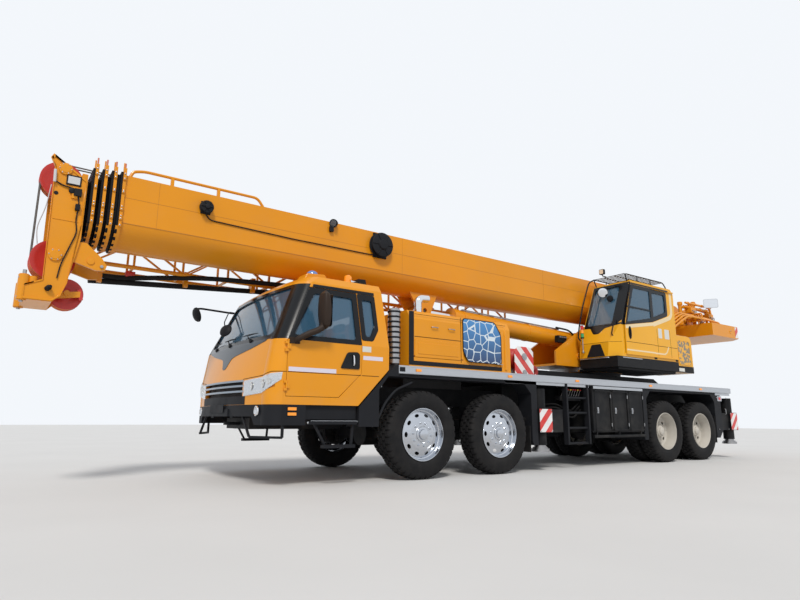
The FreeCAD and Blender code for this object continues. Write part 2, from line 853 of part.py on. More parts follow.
def outriggers():
    """Beams, each with its jack's tube and end plate, and the jack legs with their float pads."""
    for station, sides in STATIONS.items():
        spot = station.split("_")[1]
        for side, index in sides.items():
            sign = 1 if side == "left" else -1
            front, rear = tunnel_x(station, index)
            middle = (front + rear) / 2
            low = S["beam_low"]
            high = low + S["beam_tall"]
            jack_y = (HALF - S["jack_inset"]) * sign
            plate = HALF - S["end_plate"]
            inner_end = -(S["box_far_half"] - S["box_wall"] - S["end_plate"])
            bore = S["jack_radius"] + S["slide_gap"]
            tube_tall = S["tube_top"] - S["tube_low"]
            lip = S["plate_lip"]
            beam = join([
                block((rear, front), spanned(inner_end, plate, sign), (low, high), "beam"),
                rod("z", bore + S["tube_wall"], (middle, jack_y, S["tube_low"]), tube_tall, "jack_tube"),
                block((rear - lip, front + lip), spanned(plate, HALF, sign), (low - lip * 2, high + lip * 2),
                      "end_plate"),
            ], "beam")
            hole = rod("z", bore, (middle, jack_y, S["tube_low"] - S["tube_wall"]), tube_tall, "jack_bore")
            piece(f"outrigger_beam_{spot}_{side}", cut(beam, [hole], "beam"))
            pad_top = S["pad_low"] + S["pad_thick"]
            piece(f"outrigger_jack_{spot}_{side}", join([
                rod("z", S["jack_radius"], (middle, jack_y, S["pad_low"]),
                    S["tube_top"] - S["pad_low"] - S["tube_wall"] * 3, "jack_leg"),
                rod("z", S["pad_half"], (middle, jack_y, S["pad_low"]), S["pad_thick"], "pad"),
                rod("z", (S["pad_half"] + S["jack_radius"]) / 2, (middle, jack_y, S["pad_low"]),
                    pad_top - S["pad_low"] + S["pad_thick"] / 2, "pad_neck"),
            ], "jack"))


def deck():
    """Side rails with a deck plate on each side of the raised band."""
    front = along(S["deck_front_ahead"])
    tail = behind(S["deck_tail"])
    inner = S["band_half"] + S["seat_gap"]
    rail = block((tail, front), (HALF - S["rail_width"], HALF), (S["rail_bottom"], S["rail_top"]), "rail")
    plate = block((tail, front), (inner, HALF - S["rail_width"] / 2),
                  (S["rail_top"] - S["deck_plate"] * 4, S["rail_top"] - S["deck_plate"] * 2), "deck_plate")
    cross = [block((behind(at + S["rail_width"]), behind(at)), (inner, HALF - S["rail_width"] / 2),
                   (S["rail_bottom"], S["rail_top"] - S["deck_plate"] * 3), "deck_cross")
             for at in (S["outrigger_front_x"], S["deck_cross_1"], S["deck_cross_2"])]
    left = join([rail, plate] + cross, "deck_side")
    piece("deck", gather([left, other_side(left)], "deck"))


def side_lockers():
    """Lockers between the outrigger box and axle 3, with ribbed doors and a guard bar below."""
    front = behind(S["locker_front"])
    rear = behind(S["locker_rear"])
    low = S["locker_low"]
    high = S["rail_bottom"] - S["seat_gap"]
    face = HALF - S["locker_recess"]
    inner = S["band_half"] + S["seat_gap"]
    rib = S["locker_rib"]
    parts = [block((rear, front), (inner, face), (low, high), "locker")]
    doors = 3
    for index in range(doors):
        start = front - (front - rear) / doors * index
        end = front - (front - rear) / doors * (index + 1)
        parts.append(block((end + rib, start - rib), (face - rib, face + rib), (low + rib * 2, high - rib * 2),
                           "locker_door"))
    bar_z = S["guard_bar_height"]
    bar = rod("x", S["guard_bar_radius"], (rear, HALF - S["guard_bar_radius"], bar_z), front - rear, "guard_bar")
    arms = [block((at, at + rib * 2), (face - rib * 6, HALF - S["guard_bar_radius"]), (bar_z - rib, low + rib),
                  "guard_arm") for at in (rear + rib * 8, (front + rear) / 2, front - rib * 10)]
    left = join(parts + [bar] + arms, "locker")
    piece("side_lockers", gather([left, other_side(left)], "side_lockers"))


def fenders():
    """Wedge ahead of axle 1, arches under the rail, posts between the wheels and the outriggers."""
    thick = S["fender_thick"]
    top = S["rail_bottom"] - S["seat_gap"]
    inner = S["fender_inner"]
    nose_low = S["fender_low"]
    cab_rear = along(S["cab_rear_ahead"])
    arch_front = along(S["arch_front"])
    gap = S["wedge_gap"]
    deck_front = along(S["deck_front_ahead"]) + S["seat_gap"]
    wedge_tip = cab_rear + S["cab_cut_run"] - gap
    wedge = prism("side", (inner, HALF), [
        (wedge_tip, nose_low), (wedge_tip, S["cab_floor"] - gap),
        (cab_rear - gap, S["cab_floor"] + S["cab_cut_rise"] - gap), (deck_front, S["wedge_top"]),
        (deck_front, top - S["arch_drop"]), (arch_front - S["arch_run"], top - S["arch_drop"]),
        (arch_front, S["arch_shoulder"]), (arch_front, nose_low),
    ], "wedge")
    post_front = behind(S["post_front"])
    post_rear = behind(S["outrigger_front_x"]) + S["seat_gap"]
    front_arch = prism("side", (inner, HALF - S["fender_recess"]), [
        (along(S["deck_front_ahead"]), top - S["arch_drop"]), (along(S["deck_front_ahead"]), top),
        (post_rear, top), (post_rear, S["post_low"]), (post_front - thick, S["post_low"]),
        (post_front, S["post_low"] + thick * 2), (post_front, S["arch_shoulder"] + thick),
        (post_front + S["arch_run"], top - S["arch_drop"]),
    ], "front_arch")
    rear_front = AXLES["axle_3"] + S["tyre_radius"] + S["rear_arch_gap"]
    rear_back = AXLES["axle_4"] - S["tyre_radius"] - S["rear_arch_gap"]
    panel_rear = behind(S["outrigger_rear_x"]) + S["running_gap"]
    run = S["arch_run"]
    drop = S["arch_drop"]
    low = S["rear_fender_low"]
    post = S["rear_post"]
    rear_arch = prism("side", (S["rear_fender_inner"], HALF - S["fender_recess"]), [
        (rear_front + post, top), (panel_rear, top), (panel_rear, S["locker_low"]), (rear_back - post, low),
        (rear_back, low), (rear_back, top - drop - run), (rear_back + run, top - drop),
        (rear_front - run, top - drop), (rear_front, top - drop - run), (rear_front, low),
        (rear_front + post, low),
    ], "rear_arch")
    sides = [wedge, front_arch, rear_arch]
    piece("fenders", gather(both_sides(sides), "fenders"))


def cab_section(height, front_middle, front_side, rear, half, name):
    """A cab's section at one height: straight sides and rear, rounded corners and a bowed front."""
    side_end = front_side - S["corner_deep"]
    front_end = half - S["corner_wide"]
    bulge_x = side_end + S["corner_deep"] * 0.7
    bulge_y = front_end + S["corner_wide"] * 0.7
    return outline("plan", height, [
        (rear, -half), (side_end, -half, bulge_x, 0 - bulge_y), (front_side, 0 - front_end, front_middle, 0),
        (front_side, front_end, bulge_x, bulge_y), (side_end, half), (rear, half)], name)


CAB_LEVELS = [
    # height, front at the middle, front at the sides, rear, half width
    ("cab_floor", "cab_front_ahead", "front_corner_low", "cab_rear_ahead", "body_half_width"),
    ("bonnet_low_height", "cab_front_ahead", "front_corner_low", "cab_rear_ahead", "body_half_width"),
    ("belt_height", "screen_foot_ahead", "front_corner_belt", "cab_rear_ahead", "body_half_width"),
    ("roof_edge_height", "screen_top_ahead", "front_corner_top", "roof_rear_ahead", "roof_half"),
    ("roof_height", "crown_front_ahead", "crown_corner", "roof_rear_ahead", "crown_half"),
]


def cab_solid(inset, name):
    """The cab's outer form, or its inside when drawn in by a wall."""
    sections = []
    last = len(CAB_LEVELS) - 1
    for index, (height, front, corner, rear, half) in enumerate(CAB_LEVELS):
        lift = inset if index == 0 else (size(0) - inset if index == last else size(0))
        sections.append(cab_section(S[height] + lift, along(S[front]) - inset, along(S[corner]) - inset,
                                    along(S[rear]) + inset, S[half] - inset, name + "_section"))
    item = doc.addObject("Part::Loft", unused(name))
    item.Sections = sections
    item.Solid = True
    item.Ruled = True
    rear = along(S["cab_rear_ahead"])
    past = S["cab_cut_run"]
    corner = prism("side", (-HALF - past, HALF + past), [
        (rear - past, S["cab_floor"] - past), (rear + S["cab_cut_run"] + inset, S["cab_floor"] - past),
        (rear + S["cab_cut_run"] + inset, S["cab_floor"]),
        (rear + inset, S["cab_floor"] + S["cab_cut_rise"]),
        (rear - past, S["cab_floor"] + S["cab_cut_rise"])], name + "_corner")
    return cut(item, [corner], name)


def cab_half_at(height):
    """Half width of the cab between its belt and its roof's edge."""
    share = (height - S["belt_height"]) / (S["roof_edge_height"] - S["belt_height"])
    return HALF - (HALF - S["roof_half"]) * share


def door_outline(grow):
    """The driver's door seen from the side, with its cut-off lower rear corner and slanted front."""
    rear = along(S["door_rear_ahead"]) - grow
    front = along(S["door_front_ahead"]) + grow
    head = S["door_head_height"] + grow
    return [(rear, S["door_corner_height"]), (rear + S["door_corner_run"], S["door_low"] - grow),
            (front, S["door_low"] - grow), (front, S["belt_height"]),
            (along(S["pillar_head_ahead"]) + grow, head), (rear, head)]


def window_outline(grow):
    """The door's window."""
    frame = S["window_frame"] - grow
    return [(along(S["door_rear_ahead"]) + frame, S["sill_height"] - grow),
            (along(S["door_front_ahead"]) - frame, S["sill_height"] - grow),
            (along(S["pillar_head_ahead"]) - frame, S["door_head_height"] - frame),
            (along(S["door_rear_ahead"]) + frame, S["door_head_height"] - frame)]


def quarter_outline(grow):
    """The small window behind the door, with its lower rear corner cut off."""
    front = along(S["door_rear_ahead"] - S["window_frame"]) + grow
    rear = along(S["quarter_rear_ahead"]) - grow
    head = S["door_head_height"] - S["window_frame"] + grow
    low = S["sill_height"] + S["quarter_lift"] - grow
    return [(front, low), (front, head), (rear, head), (rear, low + S["quarter_cut"]),
            (front - S["quarter_cut"] / 2 - grow * 2, low)]


def screen_outline(grow):
    """The windscreen seen from the front."""
    low = S["screen_low_half"] + grow
    high = S["screen_high_half"] + grow
    return [(-low, S["screen_low"] - grow), (low, S["screen_low"] - grow),
            (high, S["screen_high"] + grow), (-high, S["screen_high"] + grow)]


def cab():
    """The shell with its doors cut out, the doors themselves, and the panes."""
    past = HALF + S["cab_wall"] * 4
    door_inner = S["roof_half"] - S["cab_wall"] * 2
    front_end = along(S["cab_front_ahead"] + S["cab_wall"])
    screen_start = along(S["screen_zone"])
    rear_start = along(S["cab_rear_ahead"]) - S["cab_wall"]
    zero = size(0)

    def shell():
        return cut(cab_solid(zero, "cab_outer"), [cab_solid(S["cab_wall"], "cab_inner")], "cab_hollow")

    rear_window = [(-S["rear_window_half"], S["rear_window_low"]), (S["rear_window_half"], S["rear_window_low"]),
                   (S["rear_window_half"], S["rear_window_high"]),
                   (-S["rear_window_half"], S["rear_window_high"])]
    cab_cuts = [
        prism("side", (-past, past), door_outline(S["door_gap"]), "door_hole"),
        prism("side", (-past, past), quarter_outline(zero), "quarter_hole"),
        prism("front", (screen_start, front_end), screen_outline(zero), "screen_hole"),
        prism("front", (rear_start, rear_start + S["cab_wall"] * 4), rear_window, "rear_hole"),
    ]
    bar = S["grille_bar"]
    slot = (S["grille_high"] - S["grille_low"] - bar * 2) / 3
    for index in range(3):
        low = S["grille_low"] + (slot + bar) * index
        cab_cuts.append(prism("front", (screen_start, front_end), [
            (-S["grille_half"], low), (S["grille_half"], low), (S["grille_half"], low + slot),
            (-S["grille_half"], low + slot)], "grille_slot"))
    lamp_in = S["grille_half"] + bar
    lamp_drop = S["lamp_drop"]
    lamp = [(lamp_in, S["grille_low"]), (HALF - S["corner_wide"], S["grille_low"] + lamp_drop),
            (past, S["grille_high"] - lamp_drop / 2), (past, S["grille_high"] + lamp_drop),
            (lamp_in, S["grille_high"])]
    lamp_start = along(S["front_corner_low"]) - S["corner_deep"] / 2
    pocket = cut(prism("front", (lamp_start, front_end), lamp, "lamp_pocket"),
                 [cab_solid(S["lamp_recess"], "lamp_floor")], "lamp_pocket")
    cab_cuts += both_sides([pocket])
    hinge_x = along(S["door_front_ahead"]) + S["door_gap"] / 2
    hinge_y = HALF + S["hinge_out"]
    knuckle = S["hinge_radius"]
    tall = S["hinge_tall"]
    hinge_heights = (S["belt_height"] - tall * 2, S["door_low"] + tall * 1.5)
    lugs = []
    for side in (1, -1):
        for height in hinge_heights:
            y = hinge_y * side
            lugs.append(rod("z", knuckle / 2, (hinge_x, y, height - tall / 2), tall * 2, "hinge_pin"))
            for end in (height - tall / 2, height + tall + S["seat_gap"]):
                heights = (end, end + tall / 2 - S["seat_gap"])
                lugs += [block((hinge_x - knuckle / 2, hinge_x + knuckle * 3),
                               spanned(HALF + S["running_gap"], hinge_y + knuckle / 2, side), heights, "hinge_lug"),
                         block((hinge_x + S["door_gap"] / 2, hinge_x + knuckle * 3),
                               spanned(HALF - S["cab_wall"] / 2, hinge_y, side), heights, "hinge_lug")]
    body = join([cut(shell(), cab_cuts, "cab_body")] + lugs, "cab_shell")
    piece("cab_shell", body)
    for side, sign in (("left", 1), ("right", -1)):
        leaf = common([shell(), prism("side", spanned(door_inner, past, sign), door_outline(zero), "door_leaf")],
                      "door_leaf")
        barrels = []
        bores = [prism("side", spanned(door_inner - S["cab_wall"], past, sign), window_outline(zero),
                       "window_hole")]
        for height in hinge_heights:
            y = hinge_y * sign
            barrels += [rod("z", knuckle, (hinge_x, y, height), tall, "hinge_barrel"),
                        block((hinge_x - knuckle * 3, hinge_x - knuckle / 2),
                              spanned(HALF - S["cab_wall"] / 2, hinge_y + knuckle / 2, sign),
                              (height, height + tall), "hinge_leaf")]
            bores.append(rod("z", knuckle / 2 + S["seat_gap"], (hinge_x, y, height - tall), tall * 3,
                             "hinge_bore"))
        piece(f"cab_door_{side}", cut(join([leaf] + barrels, "door"), bores, "door"))


def cab_glass():
    """Panes that fill their windows but for a thin gap, in the middle of the wall."""
    zero = size(0)
    sunk = (S["cab_wall"] - S["pane_thick"]) / 2
    outer_half = HALF + S["cab_wall"]
    gap = zero - S["seat_gap"]

    def sheet_of(inset_out, inset_in, name):
        return cut(cab_solid(inset_out, name + "_outer"), [cab_solid(inset_in, name + "_inner")], name)

    sheet_out = sunk
    sheet_in = sunk + S["pane_thick"]
    front_end = along(S["cab_front_ahead"] + S["cab_wall"])
    screen = common([sheet_of(sheet_out, sheet_in, "screen"),
                     prism("front", (along(S["screen_zone"]), front_end), screen_outline(gap), "screen")],
                    "screen")
    quarters = common([sheet_of(sheet_out, sheet_in, "quarter"),
                       prism("side", (-outer_half, outer_half), quarter_outline(gap), "quarter")], "quarter")
    piece("cab_glass", gather([screen, quarters], "cab_glass"))
    for side, sign in (("left", 1), ("right", -1)):
        pane = common([sheet_of(sheet_out, sheet_in, "door_pane"),
                       prism("side", spanned(0, outer_half, sign), window_outline(gap), "door_pane")],
                      "door_pane")
        piece(f"door_glass_{side}", pane)


def bowed_plate(low, high, inset, rear, name):
    """A slab with the cab's bowed front, drawn in by an inset."""
    item = doc.addObject("Part::Extrusion", unused(name))
    item.Base = cab_section(low, along(S["cab_front_ahead"]) - inset, along(S["front_corner_low"]) - inset, rear,
                            HALF - inset, name)
    item.DirMode = "Custom"
    item.Dir = FreeCAD.Vector(0, 0, 1)
    item.Solid = True
    bind(item, "LengthFwd", size(high) - low)
    return item


def front_bumper():
    """Black bumper that follows the bowed front, with its sides back to the doors and a recessed skirt."""
    low = S["bumper_low"]
    high = S["cab_floor"] - S["seat_gap"]
    rear = along(S["skirt_rear_ahead"])
    wall = S["cab_wall"]
    front = along(S["cab_front_ahead"])
    outer = bowed_plate(low, high, size(0), rear, "bumper")
    inside = bowed_plate(low - wall, high + wall, wall, rear - wall, "bumper_inside")
    rise = S["bumper_rise"]
    rise_half = S["bumper_rise_half"]
    under = prism("front", (rear - wall, front + wall), [
        (0 - rise_half, low - wall), (rise_half, low - wall), (rise_half - rise, low + rise),
        (rise - rise_half, low + rise)], "bumper_under")
    skin = cut(outer, [inside, under], "bumper")
    plate_half = S["bumper_block_half"]
    plate_block = common([
        block((front - wall * 2, front + wall), (0 - plate_half, plate_half), (low + rise, high - rise / 2),
              "plate_block"),
        bowed_plate(low, high, 0 - S["bumper_block"] / 4, rear, "plate_front")], "plate_block")
    skirts = both_sides([block((along(S["cab_rear_ahead"] + S["cab_cut_run"]) + S["running_gap"], rear + wall * 2),
                               (HALF - wall * 2, HALF - wall), (S["skirt_low"], high), "skirt")])
    arms = both_sides([block((along(S["frame_nose_ahead"]) + S["seat_gap"], front - wall * 1.2),
                             (S["frame_front_half"] - S["bumper_arm"], S["frame_front_half"]),
                             (S["frame_nose_top"] - S["bumper_arm"], S["frame_nose_top"]), "bumper_arm")])
    piece("front_bumper", join([skin, plate_block] + skirts + arms, "front_bumper"))


def tow_eyes():
    """A plate with a round hole at the nose and at the tail, for a drawbar pin."""
    thick = S["tow_thick"]
    radius = S["tow_radius"]
    solids = []
    for start, way, bottom in ((along(S["frame_nose_ahead"]), 1, S["frame_nose_bottom"]),
                               (frame_tail(), -1, S["frame_mid_low"])):
        seat = start + S["seat_gap"] * way
        tip = seat + S["tow_reach"] * way
        low = bottom + radius - thick / 2
        x_span = (seat, tip) if way > 0 else (tip, seat)
        plate = join([block(x_span, (-radius, radius), (low, low + thick), "eye_plate"),
                      rod("z", radius, (tip, 0, low), thick, "eye_tip")], "tow_eye")
        solids.append(cut(plate, [rod("z", S["tow_bore"], (tip, 0, low - thick), thick * 3, "eye_bore")], "tow_eye"))
    piece("tow_eyes", gather(solids, "tow_eyes"))


def engine_and_hood():
    """Plain engine block on the frame, under a hood that is open below."""
    front = along(S["hood_front_ahead"])
    rear = behind(S["hood_rear"])
    low = S["rail_top"] - S["deck_plate"] * 2 + S["seat_gap"]
    high = S["hood_top"]
    half = S["hood_half"]
    wall = S["cab_wall"]
    slope = S["hood_slope"]
    band = S["hood_band"]
    hood = prism("front", (rear, front), [
        (-half, low), (half, low), (half, high - slope), (half - slope / 2, high),
        (-(half - slope / 2), high), (-half, high - slope)], "hood")
    inside = prism("front", (rear + wall, front - wall), [
        (-(half - wall), low - wall), (half - wall, low - wall), (half - wall, high - slope - wall),
        (half - slope / 2 - wall, high - wall), (-(half - slope / 2 - wall), high - wall),
        (-(half - wall), high - slope - wall)], "hood_inside")
    grooves = []
    for sign in (1, -1):
        grooves.append(block((rear + band * 4, front - band), spanned(half - S["panel_recess"], half + band, sign),
                             (low + band * 2, low + band * 2.3), "hood_groove"))
        grooves.append(block((behind(S["panel_rear"]), behind(S["panel_front"])),
                             spanned(half - S["panel_recess"], half + band, sign),
                             (low + band, high - slope - band / 2), "hood_panel_recess"))
    piece("engine_hood", cut(hood, [inside] + grooves, "engine_hood"))
    piece("engine", block((behind(S["engine_rear"]), behind(S["engine_front"])),
                          (-S["engine_half"], S["engine_half"]),
                          (S["neck_top"] + S["seat_gap"], S["engine_top"]), "engine"))


def exhaust():
    """Silencer behind the cab with its clamp rings, and the elbow that leaves the hood's top."""
    x = along(S["silencer_ahead"])
    y = S["silencer_half"]
    low = S["wedge_top"] + S["seat_gap"]
    high = S["hood_top"]
    radius = S["silencer_radius"]
    ring = S["clamp_ring"]
    parts = [rod("z", radius, (x, y, low), high - low, "silencer")]
    count = 7
    for index in range(count):
        parts.append(rod("z", radius + ring, (x, y, low + (high - low) / count * (index + 0.35)), ring * 2,
                         "clamp"))
    pipe = S["exhaust_radius"]
    pipe_x = behind(S["exhaust_behind"])
    pipe_y = S["exhaust_half"]
    foot = S["hood_top"] + S["seat_gap"]
    mouth_z = S["exhaust_top"] - pipe
    bend = mouth_z - pipe * 1.6
    turn = pipe * 1.6
    upright = rod("z", pipe, (pipe_x, pipe_y, foot), bend - foot, "exhaust_foot")
    elbow = doc.addObject("Part::Torus", unused("exhaust_bend"))
    bind(elbow, "Radius1", turn)
    bind(elbow, "Radius2", pipe)
    elbow.Angle3 = 90
    place(elbow, pipe_x - turn, pipe_y, bend, turn=FreeCAD.Rotation(FreeCAD.Vector(1, 0, 0), 90))
    tail = rod("x", pipe, (pipe_x - turn * 2, pipe_y, mouth_z), turn, "exhaust_tail")
    bore = rod("x", pipe * 0.86, (pipe_x - turn * 3, pipe_y, mouth_z), turn * 1.8, "exhaust_mouth")
    piece("exhaust", gather([join(parts, "silencer"),
                             cut(join([upright, elbow, tail], "elbow"), [bore], "elbow")], "exhaust"))


def cab_interior():
    """Seats, dashboard and steering wheel on the cab's floor."""
    floor = S["cab_floor"] + S["cab_wall"] + S["seat_gap"]
    seat_front = along(S["seat_front_ahead"])
    seat_rear = seat_front - S["seat_deep"]
    solids = []
    for sign in (1, -1):
        mid = S["seat_half"]
        width = S["seat_wide"] / 2
        solids.append(join([
            block((seat_rear + S["seat_deep"] / 5, seat_front - S["seat_deep"] / 5),
                  spanned(mid - width / 2, mid + width / 2, sign), (floor, floor + S["seat_height"]), "seat_box"),
            block((seat_rear, seat_front), spanned(mid - width, mid + width, sign),
                  (floor + S["seat_height"] - S["seat_pad"], floor + S["seat_height"]), "seat_cushion"),
            prism("side", spanned(mid - width, mid + width, sign), [
                (seat_rear, floor + S["seat_height"] - S["seat_pad"]),
                (seat_rear + S["seat_pad"], floor + S["seat_height"] - S["seat_pad"]),
                (seat_rear, floor + S["seat_height"] + S["seat_back"]),
                (seat_rear - S["seat_pad"], floor + S["seat_height"] + S["seat_back"])], "seat_back"),
        ], "seat"))
    dash_rear = along(S["dash_rear_ahead"])
    dash = prism("side", (-S["dash_half"], S["dash_half"]), [
        (dash_rear + S["seat_pad"], floor), (dash_rear + S["dash_deep"], floor),
        (dash_rear + S["dash_deep"], S["dash_height"] - S["seat_pad"]),
        (dash_rear + S["dash_deep"] / 2, S["dash_height"]), (dash_rear, S["dash_height"] - S["seat_pad"])],
        "dash")
    wheel = doc.addObject("Part::Torus", unused("steering_wheel"))
    bind(wheel, "Radius1", S["steering_radius"])
    bind(wheel, "Radius2", S["steering_grip"])
    column_x = dash_rear - S["steering_out"]
    grip = S["steering_grip"]
    place(wheel, column_x, S["seat_half"], S["dash_height"], turn=COLUMN_TILT)
    column = doc.addObject("Part::Cylinder", unused("steering_column"))
    bind(column, "Radius", grip * 1.5)
    bind(column, "Height", S["steering_out"] * 3)
    place(column, column_x, S["seat_half"], S["dash_height"], turn=COLUMN_TILT.multiply(HEAD_DOWN))
    spoke = cross_rod(grip * 0.8, column_x, S["dash_height"], S["seat_half"] - S["steering_radius"],
                      S["seat_half"] + S["steering_radius"], "spoke")
    solids.append(join([dash, wheel, column, spoke], "dash_and_wheel"))
    piece("cab_interior", gather(solids, "cab_interior"))


COLUMN_TILT = FreeCAD.Rotation(FreeCAD.Vector(0, 1, 0), -25)
HEAD_DOWN = FreeCAD.Rotation(FreeCAD.Vector(0, 1, 0), 180)


def slanted_bar(view, span, low, high, half):
    """A bar between a lower and an upper place in a view, with level ends."""
    return prism(view, span, [(low[0] - half, low[1]), (low[0] + half, low[1]), (high[0] + half, high[1]),
                              (high[0] - half, high[1])], "slanted_bar")


def steps_and_ladders():
    """Folded-tube steps at the doors and the front corners, and the deck ladders."""
    tube = S["step_tube"]
    tread = S["step_tread"]
    solids = []
    step_front = along(S["step_front_ahead"])
    step_rear = along(S["step_rear_ahead"])
    inner = S["frame_front_half"] + S["seat_gap"]
    upper = S["step_upper"]
    lower = S["step_lower"]
    bar = tube * 0.7
    low_front = along(S["step_low_front_ahead"])
    low_rear = along(S["step_low_rear_ahead"])
    out = HALF - tread / 2
    side_step = join([
        block((step_rear, step_front), (HALF - tread, HALF), (upper - tube, upper + tube), "upper_tread"),
        block((low_rear, low_front), (HALF - tread, HALF), (lower - tube, lower + tube), "lower_tread"),
        slanted_bar("side", (out - bar, out + bar), (low_front - tube * 2, lower), (step_front - tube * 4, upper),
                    bar),
        slanted_bar("side", (out - bar, out + bar), (low_rear + tube * 2, lower), (low_rear + tube, upper), bar),
        cross_rod(bar, step_rear + tread, upper, inner, out, "step_arm"),
        cross_rod(bar, step_front - tread, upper, inner, out, "step_arm"),
    ], "side_step")
    foot = S["corner_step_low"]
    outer_x = along(S["corner_step_rear_ahead"])
    outer_y = S["corner_step_out"]
    inner_x = along(S["corner_step_front_ahead"])
    inner_y = S["corner_step_in"]
    top = S["bumper_low"] - S["seat_gap"]
    hung = S["bumper_low"] + S["bumper_rise"] - S["seat_gap"]
    corner_step = join([
        block((outer_x - bar, outer_x + bar), (outer_y - bar, outer_y + bar), (foot, top), "corner_step"),
        prism("plan", (foot - bar, foot + bar), [
            (outer_x - bar, outer_y - bar), (inner_x - bar, inner_y - bar), (inner_x + bar, inner_y + bar),
            (outer_x + bar, outer_y + bar)], "corner_step"),
        slanted_bar("front", (inner_x - bar, inner_x + bar), (inner_y, foot), (inner_y - (hung - foot), hung), bar),
    ], "corner_step")
    solids += both_sides([corner_step])
    solids += both_sides([side_step])
    front = behind(S["ladder_front"])
    rear = behind(S["ladder_rear"])
    y = HALF - S["ladder_recess"]
    top = S["rail_bottom"] - S["seat_gap"]
    rungs = [rod("x", tube, (rear, y, S["ladder_low"] + (top - S["ladder_low"]) / 4 * index + tube),
                 front - rear, "rung") for index in range(4)]
    ladder = join([
        block((rear, rear + tube * 2), (y - tread / 2, y + tread / 2), (S["ladder_low"], top), "ladder_side"),
        block((front - tube * 2, front), (y - tread / 2, y + tread / 2), (S["ladder_low"], top), "ladder_side"),
    ] + rungs, "ladder")
    solids += both_sides([ladder])
    piece("steps_ladders", gather(solids, "steps_ladders"))


def mirrors():
    """The left mirror's big housing, carried by the door, and the right one on its long arm."""
    arm = S["mirror_arm"]
    front = along(S["mirror_front_ahead"])
    rear = front - S["mirror_deep"]
    seat = HALF + S["seat_gap"]
    foot = S["belt_height"] - arm * 2
    left = join([
        block((rear, front), (seat + arm, seat + arm + S["mirror_wide"]), (S["mirror_low"], S["mirror_high"]),
              "mirror_housing"),
        block((rear + arm, along(S["door_front_ahead"]) - arm), (seat, seat + arm * 2), (foot - arm, foot + arm),
              "mirror_foot"),
        block((rear + arm, front - arm), (seat + arm, seat + arm * 3), (foot, S["mirror_low"] + arm), "mirror_arm"),
    ], "left_mirror")
    piece("left_mirror", left)
    far_x = along(S["far_mirror_ahead"])
    far_y = S["far_mirror_half"]
    arm_z = S["far_arm_height"]
    root_x = along(S["crown_corner"]) - arm
    root_y = cab_half_at(arm_z - arm) + S["seat_gap"]
    disc_z = arm_z - S["far_drop"]
    piece("right_mirror", join([
        rod("x", arm, (root_x - arm, -far_y, arm_z), far_x - root_x + arm * 2, "far_arm"),
        cross_rod(arm, root_x, arm_z, -far_y, -root_y, "far_root"),
        rod("z", arm, (far_x, -far_y, disc_z), S["far_drop"], "far_drop"),
        rod("x", S["far_mirror_radius"], (far_x - arm, -far_y, disc_z), arm * 2, "far_disc"),
    ], "right_mirror"))


def hook_block():
    """Hook block stowed on the deck: two cheeks, sheaves between them and the hook below."""
    x = behind(S["hook_behind"])
    y = S["hook_half"]
    base = S["rail_top"] - S["deck_plate"] * 2 + S["seat_gap"]
    width = S["hook_width"] / 2
    sheave = S["hook_sheave"]
    axle_z = base + S["hook_axle"]
    cheeks = [block((x - sheave * 0.8, x + sheave * 0.8), (at, at + S["hook_cheek"]),
                    (base + S["hook_axle"] - sheave, axle_z + sheave * 0.9), "cheek")
              for at in (y - width, y + width - S["hook_cheek"])]
    wheels = [cross_rod(sheave, x, axle_z, y - width + S["hook_cheek"] * at, y - width + S["hook_cheek"] * (at + 1),
                        "sheave") for at in (1.5, 3, 4.5)]
    pin = cross_rod(S["hook_cheek"], x, axle_z, y - width, y + width, "hook_pin")
    cross = block((x - sheave * 0.5, x + sheave * 0.5), (y - width, y + width), (base, base + S["hook_axle"] - sheave),
                  "hook_head")
    piece("hook_block", join(cheeks + wheels + [pin, cross], "hook_block"))


def boom_half(index):
    """Half width of a boom part. Each slides in the one before it with a gap all round."""
    return S["boom_half_width"] - (S["boom_wall"] + S["boom_gap"]) * index


def boom_top(index):
    return S["boom_low_height"] + S["boom_tall"] - (S["boom_wall"] + S["boom_gap"]) * index


def boom_bottom(index):
    return S["boom_low_height"] + (S["boom_wall"] + S["boom_gap"]) * index


def boom_profile(index, inset):
    """Flat top and straight sides over a rounded keel."""
    half = boom_half(index) - inset
    top = boom_top(index) - inset
    low = boom_bottom(index) + inset
    shoulder = low + S["boom_keel"] - (S["boom_wall"] + S["boom_gap"]) * index * 0.5
    return [(half, shoulder), (half, top), (-half, top), (-half, shoulder, 0, low)]


def boom_tube(index, rear, front):
    wall = S["boom_wall"]
    skin = prism("front", (rear, front), boom_profile(index, 0), "boom_skin")
    bore = prism("front", (rear - wall, front + wall), boom_profile(index, wall), "boom_bore")
    return cut(skin, [bore], "boom_tube")


def boom_collar(index, start, deep):
    """Collar at a boom part's front end, whose bore guides the next part."""
    grow = S["collar_grow"] + (S["boom_wall"] + S["boom_gap"]) * index * 0.8
    ring = prism("front", (start, start + deep), boom_profile(index, 0 - grow), "collar")
    bore = prism("front", (start - deep, start + deep * 2), boom_profile(index + 1, 0 - S["slide_gap"]),
                 "collar_bore")
    post = rod("z", S["collar_post"], (start + deep / 2, boom_half(index), boom_top(index)),
               S["collar_post_top"] - boom_top(index), "collar_post")
    return join([cut(ring, [bore], "collar"), post], "collar")


